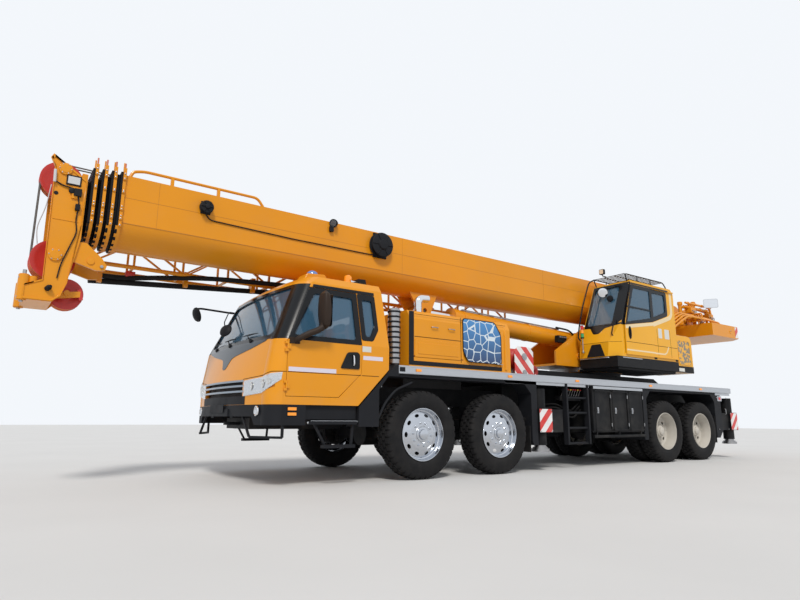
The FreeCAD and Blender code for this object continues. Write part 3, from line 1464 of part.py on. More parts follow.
def boom():
    """Base part with its pivot, luffing bracket and collar, then three sliding parts and the head part."""
    wall = S["boom_wall"]
    pivot_x = behind(S["pivot_behind"])
    pivot_z = S["pivot_height"]
    rear = behind(S["boom_rear"])
    front = along(S["boom_front_ahead"])
    collar = S["collar_deep"]
    step = S["collar_step"]
    pin_gap = S["pivot_pin_radius"] + S["running_gap"] / 5
    tube = boom_tube(0, rear, front)
    sleeve_out = boom_half(0)
    bosses = both_sides([cross_rod(S["pivot_eye"] * 0.9, pivot_x, pivot_z, sleeve_out - wall - S["boom_gap"] / 2,
                                   sleeve_out + S["boom_side_gap"] - S["running_gap"], "pivot_boss")])
    eye_x = behind(S["bracket_pin_behind"])
    eye_z = S["bracket_pin_height"]
    bracket_in = S["bracket_half"]
    bracket_out = bracket_in + S["cheek_thick"]
    seat = S["boom_low_height"] + S["boom_keel"]
    bracket = [prism("side", spanned(bracket_in, bracket_out, sign), [
        (eye_x + S["bracket_front"], seat), (eye_x + S["eye_radius"], eye_z - S["eye_radius"] * 0.3),
        (eye_x, eye_z - S["eye_radius"]), (eye_x - S["eye_radius"], eye_z - S["eye_radius"] * 0.3),
        (eye_x - S["bracket_rear"], seat)], "bracket") for sign in (1, -1)]
    body = join([tube, boom_collar(0, front, collar)] + bosses + bracket, "boom_base")
    holes = [cross_rod(pin_gap, pivot_x, pivot_z, -HALF, HALF, "boom_pin_hole"),
             cross_rod(pin_gap, eye_x, eye_z, -HALF, HALF, "bracket_pin_hole")]
    inner_tube = prism("front", (rear - wall, front), boom_profile(0, wall), "boom_clear")
    keep = cut(body, holes + [inner_tube], "boom_base")
    piece("boom_base", keep)
    for index in (1, 2, 3):
        start = rear + S["section_inset"] * index
        end = front + step * index
        part = join([boom_tube(index, start, end), boom_collar(index, end, collar)], "boom_section")
        piece(f"boom_section_{index + 1}", part)
    head(rear + S["section_inset"] * 4, front + step * 4)


def sheave_groove(x, y, z, radius):
    """The rope groove round a sheave, as a ring to cut away."""
    deep = S["sheave_pin"]
    wide = S["sheave_pitch"] / 2
    profile = [(size(0), radius - deep), (wide, radius + deep), (0 - wide, radius + deep)]
    return turned_round(profile, x, y, z, "groove")


def head(rear, start):
    """Last boom part with the head's side plates, sheaves and the foot that the jib is pinned to."""
    side_in = S["head_half"]
    side_out = side_in + S["head_plate"]
    back = start
    front = along(S["head_front_ahead"])
    top = S["head_top"]
    low = S["head_low"]
    tip = along(S["head_tip_ahead"])
    ear = S["head_ear"]
    foot = S["head_foot"]
    heel = along(S["head_heel_ahead"])
    toe = along(S["head_toe_ahead"])
    plates = [prism("side", spanned(side_in, side_out, sign), [
        (back, S["head_shoulder"]), (front + ear / 2, top), (front + ear, top - ear), (front, top - ear * 3),
        (front - ear / 2, low + foot), (tip, low + foot * 0.7), (tip, low), (toe, low), (heel + ear, low + foot / 3),
        (heel, low + foot), (back, boom_bottom(0))], "head_plate") for sign in (1, -1)]
    tube = boom_tube(4, rear, start + S["head_overlap"])
    web = block((start, start + S["head_overlap"]), (-side_in, side_in), (boom_bottom(2), boom_top(2)), "web")
    bore = prism("front", (rear, start + S["head_overlap"] * 2), boom_profile(4, S["boom_wall"]), "web_bore")
    floor = block((toe, tip), (-side_in, side_in), (low, low + S["head_plate"]), "head_floor")
    parts = plates + [cut(join([web, tube], "head_tube"), [bore], "head_tube"), floor]
    pitch = S["sheave_pitch"]
    arm_out = pitch * 1.6
    sheaves = [
        # ahead of axle 1, height, radius, middle of the set across, how many, half the pin's length
        (S["sheave_top_ahead"], S["sheave_top_height"], S["sheave_radius"], -pitch * 1.8, 2,
         side_out + S["head_plate"]),
        (S["sheave_mid_ahead"], S["sheave_mid_height"], S["sheave_radius"], -pitch, 4, side_out + S["head_plate"]),
        (S["sheave_low_ahead"], S["sheave_low_height"], S["sheave_low_radius"], size(0), 2,
         arm_out + S["head_plate"] * 2),
    ]
    for ahead, height, radius, middle, count, pin_half in sheaves:
        parts.append(cross_rod(S["sheave_pin"], along(ahead), height, -pin_half, pin_half, "sheave_pin"))
        for index in range(count):
            at = middle + pitch * (index - (count - 1) / 2)
            parts.append(cut(cross_rod(radius, along(ahead), height, at - pitch * 0.36, at + pitch * 0.36, "sheave"),
                             [sheave_groove(along(ahead), at, height, radius)], "sheave"))
    arm = S["sheave_bracket"]
    low_pin = along(S["sheave_low_ahead"])
    parts += both_sides([prism("side", (arm_out, arm_out + S["head_plate"]), [
        (low_pin - arm * 2, S["sheave_low_height"] - arm / 2), (low_pin + arm, S["sheave_low_height"] - arm),
        (front, low), (front, low + arm), (toe, low + arm * 2), (low_pin - arm * 2, S["sheave_low_height"] + arm / 2),
    ], "low_bracket")])
    parts += both_sides([rod("z", S["jib_bore"] + S["head_plate"], (tip, side_in - S["head_plate"], low),
                             S["head_foot"] * 1.2, "jib_boss")])
    body = join(parts, "head")
    bores = both_sides([rod("z", S["jib_bore"], (tip, side_in - S["head_plate"], low - S["head_plate"]),
                            S["head_foot"] * 2, "jib_hole")])
    piece("boom_head_section", cut(body, bores, "boom_head_section"))


def luffing_cylinder():
    """Barrel on its pin in the turntable and rod to the boom's bracket."""
    base_x = behind(S["luff_pin_behind"])
    base_z = S["luff_pin_height"]
    eye_x = behind(S["bracket_pin_behind"])
    eye_z = S["bracket_pin_height"]
    run = eye_x.number - base_x.number
    rise = eye_z.number - base_z.number
    reach = Size(math.hypot(run, rise),
                 f"sqrt(pow({(eye_x - base_x).formula}; 2) + pow({(eye_z - base_z).formula}; 2))")
    tilt = -math.degrees(math.atan2(rise, run))
    along_rod = FreeCAD.Rotation(FreeCAD.Vector(0, 1, 0), 90 + tilt)
    lean_x = (eye_x - base_x) / reach
    lean_z = (eye_z - base_z) / reach

    def bar(radius, start, length, name):
        item = doc.addObject("Part::Cylinder", unused(name))
        bind(item, "Radius", radius)
        bind(item, "Height", length)
        return place(item, base_x + lean_x * start, 0, base_z + lean_z * start, turn=along_rod)

    eye_half = S["bracket_half"] - S["running_gap"]
    pin = S["pivot_pin_radius"] + S["running_gap"] / 5
    barrel_long = reach - S["rod_shown"]
    gap = S["running_gap"]
    barrel = join([
        bar(S["luff_radius"], S["eye_radius"], barrel_long - S["eye_radius"], "barrel"),
        bar(S["luff_radius"] + S["collar_grow"] / 2, barrel_long - S["gland_long"], S["gland_long"], "gland"),
        cross_rod(S["eye_radius"], base_x, base_z, -eye_half, eye_half, "barrel_eye"),
        block((base_x, base_x + S["eye_radius"] * 1.5), (-eye_half, eye_half),
              (base_z - S["eye_radius"], base_z + S["eye_radius"]), "barrel_lug"),
    ], "luffing_barrel")
    barrel = cut(barrel, [
        bar(S["rod_radius"] + S["slide_gap"], S["eye_radius"] * 2.5, barrel_long, "barrel_bore"),
        cross_rod(pin, base_x, base_z, -HALF, HALF, "barrel_pin_hole")], "luffing_barrel")
    piece("luffing_barrel", barrel)
    rod_start = S["eye_radius"] * 2.5 + gap * 4
    piston = join([
        bar(S["rod_radius"], rod_start, reach - rod_start - S["eye_radius"] * 0.6, "rod_bar"),
        cross_rod(S["eye_radius"], eye_x, eye_z, -eye_half, eye_half, "rod_eye"),
    ], "luffing_rod")
    piece("luffing_rod", cut(piston, [cross_rod(pin, eye_x, eye_z, -HALF, HALF, "rod_pin_hole")], "luffing_rod"))


def folding_jib():
    """Lattice jib stowed along the boom's right side on two brackets."""
    rear = behind(S["jib_rear"])
    front = along(S["jib_front_ahead"])
    y_in = boom_half(0) + S["jib_out"]
    y_out = y_in + S["jib_wide"]
    z_low = S["jib_low"]
    z_high = z_low + S["jib_tall"]
    chord = S["jib_chord"]
    bars = []
    for y in (-y_in, -y_out):
        for z in (z_low, z_high):
            bars.append(rod("x", chord, (rear, y, z), front - rear, "jib_chord"))
    count = 12
    pitch = (front - rear) / count
    web = chord * 0.5
    for index in range(count + 1):
        x = rear + pitch * index
        x_low = x if index < count else x - web * 2
        for y in (-y_in, -y_out):
            bars.append(block((x_low, x_low + web * 2), (y - web, y + web), (z_low, z_high), "jib_post"))
        for z in (z_low, z_high):
            bars.append(block((x_low, x_low + web * 2), (-y_out, -y_in), (z - web, z + web), "jib_cross"))
    for index in range(count):
        a = rear + pitch * index
        b = rear + pitch * (index + 1)
        ends = ((a, z_low, b, z_high) if index % 2 == 0 else (a, z_high, b, z_low))
        for y in (-y_in, -y_out):
            bars.append(prism("side", (y - web, y + web), [
                (ends[0], ends[1] - web), (ends[2], ends[3] - web), (ends[2], ends[3] + web),
                (ends[0], ends[1] + web)], "jib_brace"))
    lattice = join(bars, "jib")
    hangers = []
    for x in (behind(S["hanger_rear"]), along(S["hanger_front_ahead"])):
        hangers.append(block((x, x + S["cheek_thick"]), (-y_in, -(boom_half(0) + S["seat_gap"])),
                             (z_high - web, z_high + chord * 2), "jib_hanger"))
    piece("folding_jib", join([lattice] + hangers, "folding_jib"))


def turntable():
    """Slewing table: base ring and plate, two cheeks that hold the boom's pivot, and a rear arm."""
    x = behind(S["slew_behind"])
    ring_low = S["ring_top"] + S["seat_gap"]
    plate_top = S["table_plate_top"]
    cheek_in = boom_half(0) + S["boom_side_gap"]
    cheek_out = cheek_in + S["cheek_thick"]
    front = behind(S["table_front"])
    pivot_x = behind(S["pivot_behind"])
    pivot_z = S["pivot_height"]
    eye = S["pivot_eye"]
    tail = behind(S["table_tail"])
    ring = rod("z", S["ring_radius"] + S["cheek_thick"], (x, 0, ring_low), plate_top - ring_low, "slew_ring")
    plate = block((x - S["ring_radius"] * 1.2, front), (-cheek_out, cheek_out),
                  (plate_top - S["cheek_thick"], plate_top), "table_plate")
    profile = [
        (front, plate_top - S["cheek_thick"]), (front, S["table_nose_top"]),
        (behind(S["luff_pin_behind"]) + eye, S["luff_pin_height"] + eye),
        (behind(S["luff_pin_behind"]) - eye, S["luff_pin_height"] + eye),
        (pivot_x + eye * 1.6, pivot_z - eye), (pivot_x + eye, pivot_z + eye * 0.4),
        (pivot_x, pivot_z + eye), (pivot_x - eye, pivot_z + eye * 0.4),
        (pivot_x - eye * 1.4, S["weight_top"]), (tail, S["weight_top"]), (tail, S["weight_low"]),
        (pivot_x - eye * 2, S["table_belly"]), (x - S["ring_radius"] * 1.2, plate_top - S["cheek_thick"]),
    ]
    cheeks = [prism("side", spanned(cheek_in, cheek_out, sign), profile, "cheek") for sign in (1, -1)]
    pivot_bore = cross_rod(S["pivot_pin_radius"] + S["running_gap"] / 5, pivot_x, pivot_z, -cheek_out * 1.5,
                           cheek_out * 1.5, "pivot_bore")
    luff_bore = cross_rod(S["pivot_pin_radius"] + S["running_gap"] / 5, behind(S["luff_pin_behind"]),
                          S["luff_pin_height"], -cheek_out * 1.5, cheek_out * 1.5, "luff_bore")
    belly = prism("side", (-cheek_in, cheek_in), [
        (x - S["ring_radius"] * 1.2, plate_top - S["cheek_thick"]), (x - S["ring_radius"], plate_top),
        (pivot_x - eye * 2, S["table_belly"] + S["cheek_thick"]), (tail, S["weight_low"] + S["cheek_thick"]),
        (tail, S["weight_low"]), (pivot_x - eye * 2, S["table_belly"])], "belly")
    rear_wall = block((tail, tail + S["cheek_thick"]), (-cheek_in, cheek_in), (S["weight_low"], S["weight_top"]),
                      "rear_wall")
    body = cut(join([ring, plate, belly, rear_wall] + cheeks, "table"), [pivot_bore, luff_bore], "table")
    luff_pin = cross_rod(S["pivot_pin_radius"], behind(S["luff_pin_behind"]), S["luff_pin_height"],
                         -cheek_out, cheek_out, "luff_pin")
    stubs = both_sides([cross_rod(S["pivot_pin_radius"], pivot_x, pivot_z, boom_half(0) - S["boom_wall"],
                                  cheek_out, "pivot_pin")])
    shelf_high = S["cab_base_low"] - S["seat_gap"]
    shelf = block((behind(S["shelf_rear"]), behind(S["shelf_front"])), (cheek_out - S["cheek_thick"],
                  S["shelf_half"]), (shelf_high - S["cheek_thick"], shelf_high), "cab_shelf")
    piece("turntable_frame", gather([join([body, shelf], "turntable_frame"), luff_pin] + stubs,
                                    "turntable_frame"))


def counterweight():
    """Slab behind the winches with cut corners."""
    front = behind(S["weight_front"])
    rear = behind(S["weight_rear"])
    half = S["weight_half"]
    corner = S["weight_corner"]
    slab = prism("plan", (S["weight_low"], S["weight_top"]), [
        (front, -half), (front, half), (rear + corner, half), (rear, half - corner), (rear, -(half - corner)),
        (rear + corner, -half)], "weight")
    cheek_out = boom_half(0) + S["boom_side_gap"] + S["cheek_thick"]
    notch = block((behind(S["table_tail"]) - S["seat_gap"], front + corner),
                  (-cheek_out - S["seat_gap"], cheek_out + S["seat_gap"]),
                  (S["weight_low"] - corner, S["weight_top"] + corner), "weight_notch")
    piece("counterweight", cut(slab, [notch], "counterweight"))


def winches():
    """Two drums with their flanges, side plates and motors on the slab."""
    solids = []
    half = S["drum_half"]
    plate_in = boom_half(0) + S["boom_side_gap"]
    for index in range(2):
        x = behind(S["winch_behind"] + S["winch_step"] * index)
        z = S["weight_top"] + S["seat_gap"] + S["flange_radius"] + S["winch_foot"]
        foot = S["weight_top"] + S["seat_gap"]
        solids.append(join([
            cross_rod(S["rope_radius"], x, z, -half, half, "rope_drum"),
            cross_rod(S["flange_radius"], x, z, half, half + S["flange_thick"], "flange"),
            cross_rod(S["flange_radius"], x, z, -half - S["flange_thick"], -half, "flange"),
            cross_rod(S["motor_radius"], x, z, -plate_in - S["motor_long"], plate_in + S["motor_long"], "motor"),
        ] + both_sides([
            prism("side", (plate_in, plate_in + S["cheek_thick"]), [
                (x - S["flange_radius"], foot), (x + S["flange_radius"], foot),
                (x + S["motor_radius"], z + S["motor_radius"]), (x - S["motor_radius"], z + S["motor_radius"])],
                "winch_plate"),
        ]), "winch"))
    piece("winches", gather(solids, "winches"))


def operator_cab():
    """Hollow cab on a black base, with windows and the opening for its sliding door."""
    wall = S["op_wall"]
    rear = behind(S["op_rear"])
    front = behind(S["op_front"])
    inner_y = S["op_inner"]
    outer_y = S["op_outer"]
    low = S["op_low"]
    top = S["op_top"]
    corner = S["op_corner"]

    def solid(inset):
        side = prism("side", (inner_y + inset, outer_y - inset), [
            (rear + inset, low + inset), (front - inset, low + inset),
            (front - S["op_crease_run"] - inset, S["op_crease"]),
            (front - S["op_screen_run"] - inset, S["op_screen_low"]),
            (front - S["op_roof_run"] - inset, top - inset), (rear + corner / 2 + inset, top - inset),
            (rear + inset, top - corner / 2 - inset)], "op_side")
        plan = prism("plan", (low - wall, top + wall), [
            (rear + inset, inner_y + inset), (front - inset, inner_y + inset),
            (front - inset, outer_y - corner - inset * 0.6), (front - corner - inset * 0.6, outer_y - inset),
            (rear + inset, outer_y - inset)], "op_plan")
        return common([side, plan], "op_form")

    zero = size(0)

    def shell():
        return cut(solid(zero), [solid(wall)], "op_shell")

    def door(grow):
        return [(behind(S["op_door_rear"]) - grow, S["op_door_low"] - grow),
                (behind(S["op_door_front"]) + grow, S["op_door_low"] - grow),
                (behind(S["op_door_front"]) + grow, S["op_sill"]),
                (behind(S["op_door_head_front"]) + grow, S["op_door_high"] + grow),
                (behind(S["op_door_rear"]) - grow, S["op_door_high"] + grow)]

    def pane(grow):
        edge = S["op_frame"] - grow
        return [(behind(S["op_door_rear"]) + edge, S["op_sill"] + S["op_sill_rise"] - grow),
                (behind(S["op_door_front"]) - edge, S["op_sill"] - grow),
                (behind(S["op_door_head_front"]) - edge, S["op_door_high"] - edge),
                (behind(S["op_door_rear"]) + edge, S["op_door_high"] - edge)]

    def quarter(grow):
        start = behind(S["op_door_rear"] + S["op_frame"]) + grow
        end = behind(S["op_quarter_rear"]) - grow
        return [(start, S["op_sill"] + S["op_quarter_lift"] - grow), (start, S["op_door_high"] - S["op_frame"] + grow),
                (end, S["op_door_high"] - S["op_frame"] + grow), (end, S["op_quarter_low"] - grow)]

    def screen(grow):
        return [(inner_y + S["op_frame"] - grow, S["op_screen_low"] - grow),
                (outer_y - corner + grow, S["op_screen_low"] - grow),
                (outer_y - corner + grow, S["op_door_high"] + grow),
                (inner_y + S["op_frame"] - grow, S["op_door_high"] + grow)]

    reach = wall * 3
    screen_zone = (behind(S["op_front"] + S["op_roof_run"] + wall * 4), behind(S["op_front"]) + wall)
    cuts = [
        prism("side", (outer_y - reach, outer_y + reach), door(S["door_gap"]), "op_door_hole"),
        prism("side", (outer_y - reach, outer_y + reach), quarter(zero), "op_quarter_hole"),
        prism("side", (inner_y - reach, inner_y + reach), quarter(zero), "op_inner_hole"),
        prism("front", screen_zone, screen(zero), "op_screen_hole"),
    ]
    ring = rod("z", S["ring_radius"] + S["cheek_thick"] + S["running_gap"],
               (behind(S["slew_behind"]), 0, S["ring_top"]), low - S["ring_top"] + wall, "ring_clear")
    base = cut(block((rear, front), (inner_y, outer_y), (S["cab_base_low"], low - S["seat_gap"]), "op_base"),
               [ring], "op_base")
    proud = S["op_door_proud"]
    rail_span = (outer_y - wall / 2, outer_y + S["running_gap"] + proud)
    rails = [block((rear + wall, behind(ahead)), rail_span, (z, z + proud), "door_rail") for ahead, z in (
        (S["op_door_front"], S["op_door_low"] - S["seat_gap"] - proud),
        (S["op_door_head_front"], S["op_door_high"] + S["seat_gap"]))]
    piece("operator_cab", join([cut(shell(), cuts, "op_body")] + rails, "operator_cab"))
    piece("operator_cab_base", base)
    slab = prism("side", (outer_y + S["running_gap"], outer_y + S["running_gap"] + proud),
                 door(zero), "op_door")
    piece("operator_door", cut(slab, [prism("side", (outer_y - reach, outer_y + reach), pane(zero),
                                            "op_pane_hole")], "operator_door"))
    mid = outer_y + S["running_gap"] + proud / 2
    piece("operator_door_glass", prism("side", (mid - S["pane_thick"] / 2, mid + S["pane_thick"] / 2),
                                       pane(-S["seat_gap"]), "operator_door_glass"))
    thin = -S["seat_gap"]
    sunk = (wall - S["pane_thick"]) / 2
    sheet = cut(solid(sunk), [solid(sunk + S["pane_thick"])], "op_sheet")
    sheet_2 = cut(solid(sunk), [solid(sunk + S["pane_thick"])], "op_sheet")
    panes = [common([sheet, prism("front", screen_zone, screen(thin), "op_screen")], "op_screen"),
             common([sheet_2, prism("side", (inner_y - reach, outer_y + reach), quarter(thin), "op_quarter")],
                    "op_quarter")]
    piece("operator_glass", gather(panes, "operator_glass"))
    seat_x = behind(S["op_seat_behind"])
    floor = low + wall + S["seat_gap"]
    mid_y = (inner_y + outer_y) / 2
    width = S["seat_wide"] / 2
    piece("operator_seat", join([
        block((seat_x - S["seat_deep"] * 0.3, seat_x + S["seat_deep"] * 0.3), (mid_y - width / 2, mid_y + width / 2),
              (floor, floor + S["seat_height"]), "op_seat_box"),
        block((seat_x - S["seat_deep"] / 2, seat_x + S["seat_deep"] / 2), (mid_y - width, mid_y + width),
              (floor + S["seat_height"] - S["seat_pad"], floor + S["seat_height"]), "op_cushion"),
        prism("side", (mid_y - width, mid_y + width), [
            (seat_x - S["seat_deep"] / 2, floor + S["seat_height"] - S["seat_pad"]),
            (seat_x - S["seat_deep"] / 2 + S["seat_pad"], floor + S["seat_height"] - S["seat_pad"]),
            (seat_x - S["seat_deep"] / 2, floor + S["seat_height"] + S["seat_back"]),
            (seat_x - S["seat_deep"] / 2 - S["seat_pad"], floor + S["seat_height"] + S["seat_back"])],
            "op_back"),
    ], "operator_seat"))


def cooler_box():
    """Box behind the operator's cab with a rounded rear top."""
    front = behind(S["op_rear"]) - S["seat_gap"]
    rear = behind(S["cooler_rear"])
    low = S["cab_base_low"]
    high = S["cooler_top"]
    bow = S["cooler_bow"]
    slant = bow * 0.7071
    box = prism("side", (S["op_inner"], S["op_outer"] - S["locker_recess"]), [
        (rear, low), (front, low), (front, high), (rear + bow, high, rear + bow - slant, high - bow + slant),
        (rear, high - bow)], "cooler")
    piece("cooler_box", box)


wheels_and_knuckles()
knuckles()
axles()
chassis_frame()
outrigger_boxes()
outriggers()
deck()
side_lockers()
fenders()
cab()
cab_glass()
front_bumper()
tow_eyes()
engine_and_hood()
exhaust()
cab_interior()
steps_and_ladders()
mirrors()
hook_block()
turntable()
counterweight()
winches()
operator_cab()
cooler_box()
boom()
luffing_cylinder()
folding_jib()

doc.recompute()
faults = [item.Label for item in doc.Objects if "Invalid" in item.State or "Error" in item.State]
for item in pieces:
    shape = item.Shape
    if shape.isNull() or not shape.isValid() or not shape.Solids:
        faults.append(item.Label)
if faults:
    raise RuntimeError("not built: " + ", ".join(faults))

os.makedirs("parts", exist_ok=True)
for item in pieces:
    item.Shape.exportStep(f"parts/{item.Label}.step")
print(len(pieces), "pieces written")
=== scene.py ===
"""Looks of a four-axle mobile crane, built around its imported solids.

Lengths are metres in the part's own frame: X forward along the boom, Y to the left, Z up, ground at zero.
Finished pieces have their place in their mesh, so every object sits unturned at the origin.
"""
import itertools
import math

import bmesh
import bpy
import numpy as np
from mathutils import Matrix, Vector


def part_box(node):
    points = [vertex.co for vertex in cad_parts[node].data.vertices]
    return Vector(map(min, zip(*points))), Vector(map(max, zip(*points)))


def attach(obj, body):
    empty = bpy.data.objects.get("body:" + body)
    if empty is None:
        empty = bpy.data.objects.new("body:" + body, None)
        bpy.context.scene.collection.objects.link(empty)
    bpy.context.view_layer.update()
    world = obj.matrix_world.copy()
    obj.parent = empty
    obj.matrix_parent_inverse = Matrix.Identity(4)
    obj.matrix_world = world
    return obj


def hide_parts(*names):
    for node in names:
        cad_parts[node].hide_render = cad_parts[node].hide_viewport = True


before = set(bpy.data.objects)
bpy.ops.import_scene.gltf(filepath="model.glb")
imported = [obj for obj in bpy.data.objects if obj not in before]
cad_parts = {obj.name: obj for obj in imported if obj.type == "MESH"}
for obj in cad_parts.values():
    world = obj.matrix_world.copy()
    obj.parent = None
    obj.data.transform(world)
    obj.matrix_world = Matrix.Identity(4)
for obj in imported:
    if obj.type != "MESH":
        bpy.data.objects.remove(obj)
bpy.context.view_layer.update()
AXLE_1 = 2.565
AXLE_X = {"1": 0.0, "2": -1.47, "3": -6.1, "4": -7.45}
TYRE_RADIUS = 0.595
BODY_HALF = 1.375
SIDES = {"left": 1, "right": -1}
FULL_TURN = 2 * math.pi


class Tap:
    """A node's output with arithmetic, so that a material reads as a formula."""

    def __init__(self, nodes, socket):
        self.nodes = nodes
        self.socket = socket

    def maths(self, kind, *terms):
        return self.nodes.node("Math", {"operation": kind}, dict(enumerate(terms)))

    def __add__(self, other):
        return self.maths("ADD", self, other)

    def __radd__(self, other):
        return self.maths("ADD", other, self)

    def __sub__(self, other):
        return self.maths("SUBTRACT", self, other)

    def __rsub__(self, other):
        return self.maths("SUBTRACT", other, self)

    def __mul__(self, other):
        return self.maths("MULTIPLY", self, other)

    def __rmul__(self, other):
        return self.maths("MULTIPLY", other, self)

    def __gt__(self, edge):
        return self.maths("GREATER_THAN", self, edge)

    def __lt__(self, edge):
        return self.maths("LESS_THAN", self, edge)

    def fraction(self):
        return self.maths("FRACT", self)

    def size(self):
        return self.maths("ABSOLUTE", self)

    def wave(self):
        return self.maths("SINE", self)

    def between(self, low, high):
        """0 below low, 1 above high and straight between."""
        return self.nodes.node("MapRange", {}, {"Value": self, "From Min": low, "From Max": high})


class Nodes:
    """A node tree to which nodes are added by type, settings and sockets."""

    def __init__(self, tree):
        self.tree = tree

    def feed(self, socket, value):
        """Links a tap to a socket, or sets the socket to a plain value."""
        if isinstance(value, Tap):
            self.tree.links.new(value.socket, socket)
        elif socket.type == "RGBA":
            socket.default_value = (*value, 1)
        else:
            socket.default_value = value

    def node(self, kind, settings, sockets, output=0):
        """Adds a node: its settings first, then the values or links of its sockets."""
        item = self.tree.nodes.new("ShaderNode" + kind)
        for name, value in settings.items():
            setattr(item, name, value)
        for name, value in sockets.items():
            self.feed(item.inputs[name], value)
        return Tap(self, item.outputs[output])


class Finish(Nodes):
    """A material with one Principled shader and short forms for its usual patterns."""

    def __init__(self, name, colour, roughness=0.5, metallic=0.0, coat=0.0, alpha=1.0):
        self.material = bpy.data.materials.new(name)
        self.material.use_nodes = True
        super().__init__(self.material.node_tree)
        self.shader = self.tree.nodes["Principled BSDF"]
        for socket, value in (("Base Color", colour), ("Roughness", roughness), ("Metallic", metallic),
                              ("Coat Weight", coat), ("Coat Roughness", 0.08), ("Alpha", alpha)):
            self.feed(self.shader.inputs[socket], value)
        self.place = self.node("TexCoord", {}, {}, "Object")

    def spot(self, scale=(1, 1, 1), turn=(0, 0, 0)):
        """Object coordinates, scaled and turned."""
        return self.node("Mapping", {}, {"Vector": self.place, "Scale": scale, "Rotation": turn})

    def axis(self, name):
        return self.node("SeparateXYZ", {}, {0: self.place}, name)

    def noise(self, scale, detail=3.0, stretch=(1, 1, 1)):
        return self.node("TexNoise", {}, {"Vector": self.spot(stretch), "Scale": scale, "Detail": detail})

    def mix(self, share, first, second):
        """Colour between two colours or taps."""
        return self.node("Mix", {"data_type": "RGBA"}, {0: share, 6: first, 7: second}, 2)

    def set(self, socket, value):
        self.feed(self.shader.inputs[socket], value)
        return self

    def bump(self, height, strength=0.2, distance=0.002):
        return self.set("Normal", self.node("Bump", {}, {"Height": height, "Strength": strength,
                                                         "Distance": distance}))


def scaled(colour, factor):
    return tuple(min(part * factor, 1.0) for part in colour)


def paint(name, colour, roughness=0.32, coat=0.35, dust=(0.3, 0.28, 0.25), dusty=0.05, shine=0.5):
    """Coated machine paint: slow tone changes, faint orange peel, and road dust that fades with height."""
    finish = Finish(name, colour, roughness, coat=coat)
    tone = finish.mix(finish.noise(0.7).between(0.3, 0.7), scaled(colour, 0.94), scaled(colour, 1.04))
    low = 1 - finish.axis("Z").between(0.2, 1.5)
    grime = finish.noise(4.0, 6.0).between(0.45, 0.85) * (low * dusty * 4 + dusty)
    finish.set("Base Color", finish.mix(grime, tone, dust))
    finish.set("Roughness", grime * 0.5 + roughness)
    finish.set("Specular IOR Level", shine)
    return finish.bump(finish.noise(260.0, 1.0), 0.05, 0.0004).material


def moulded(name, colour, roughness=0.55, grain=420.0):
    """Grained plastic or powder coat with a little dust in its grain."""
    finish = Finish(name, colour, roughness)
    dust = finish.noise(5.0, 5.0).between(0.45, 0.8)
    finish.set("Base Color", finish.mix(dust * 0.4, colour, scaled(colour, 1.6)))
    finish.set("Roughness", dust * 0.15 + roughness)
    finish.set("Specular IOR Level", 0.15)
    return finish.bump(finish.noise(grain, 2.0), 0.25, 0.0006).material


def metal(name, colour, roughness=0.3, streak=(1, 1, 60), scale=8.0, depth=0.12):
    """Bare or plated metal with a brushed or wiped streak."""
    finish = Finish(name, colour, roughness, metallic=1.0)
    wiped = finish.noise(scale, 4.0, streak)
    finish.set("Base Color", finish.mix(wiped.between(0.35, 0.7), scaled(colour, 0.86), colour))
    finish.set("Roughness", wiped * (depth * 2) + max(roughness - depth, 0.03))
    return finish.bump(finish.noise(140.0, 2.0), 0.06, 0.0005).material


def tyre_rubber():
    """Black rubber, greyer where road dust lies."""
    colour = (0.01, 0.01, 0.011)
    finish = Finish("tyre_rubber", colour, 0.75)
    dust = finish.noise(7.0, 6.0).between(0.35, 0.8)
    finish.set("Base Color", finish.mix(dust * 0.35, colour, (0.045, 0.042, 0.04)))
    finish.set("Roughness", dust * 0.15 + 0.66)
    finish.set("Specular IOR Level", 0.15)
    return finish.bump(finish.noise(320.0, 3.0), 0.3, 0.0008).material


def glass(name, tint, alpha, roughness=0.03):
    """Tinted pane: dark and see-through, with faint wiped smears in its gloss."""
    finish = Finish(name, tint, roughness, coat=0.5, alpha=alpha)
    smear = finish.noise(3.0, 5.0, (1, 1, 0.3)).between(0.4, 0.8)
    return finish.set("Roughness", smear * 0.05 + roughness).material


def lamp(name, colour, glow=0.0, alpha=1.0):
    """Ribbed lamp lens."""
    finish = Finish(name, colour, 0.12, coat=0.6, alpha=alpha)
    finish.set("Base Color", finish.mix(finish.noise(60.0), scaled(colour, 0.75), colour))
    finish.set("Emission Color", colour)
    return finish.set("Emission Strength", glow).material


def striped(name, first, second, pitch, lean):
    """Slanted warning stripes: the fraction of (lean . place) / pitch picks one of two colours."""
    finish = Finish(name, first, 0.35, coat=0.2)
    across = sum(finish.axis(axis) * (share / pitch) for axis, share in zip("XYZ", lean) if share)
    dust = finish.noise(9.0, 4.0).between(0.4, 0.8) * 0.25
    finish.set("Base Color", finish.mix(dust, finish.mix(across.fraction() > 0.5, first, second),
                                        (0.36, 0.33, 0.3)))
    return finish.bump(finish.noise(500.0, 1.0), 0.08, 0.0003).material


def cloth(name, colour):
    """Woven seat cloth: two crossed fine waves lift and tint the weave."""
    finish = Finish(name, colour, 0.9)
    weave = (finish.axis("X") * 900).wave() * (finish.axis("Z") * 900 + finish.axis("Y") * 900).wave()
    finish.set("Base Color", finish.mix(weave * 0.5 + 0.5, scaled(colour, 0.7), scaled(colour, 1.4)))
    finish.set("Sheen Weight", 0.3)
    return finish.bump(weave, 0.4, 0.001).material


VIEWS = {
    # columns of (a, b, depth) that give X, Y and Z
    "side": (0, 2, 1),
    "front": (2, 0, 1),
    "plan": (0, 1, 2),
}


def unit(vectors):
    return vectors / np.linalg.norm(vectors, axis=-1, keepdims=True)


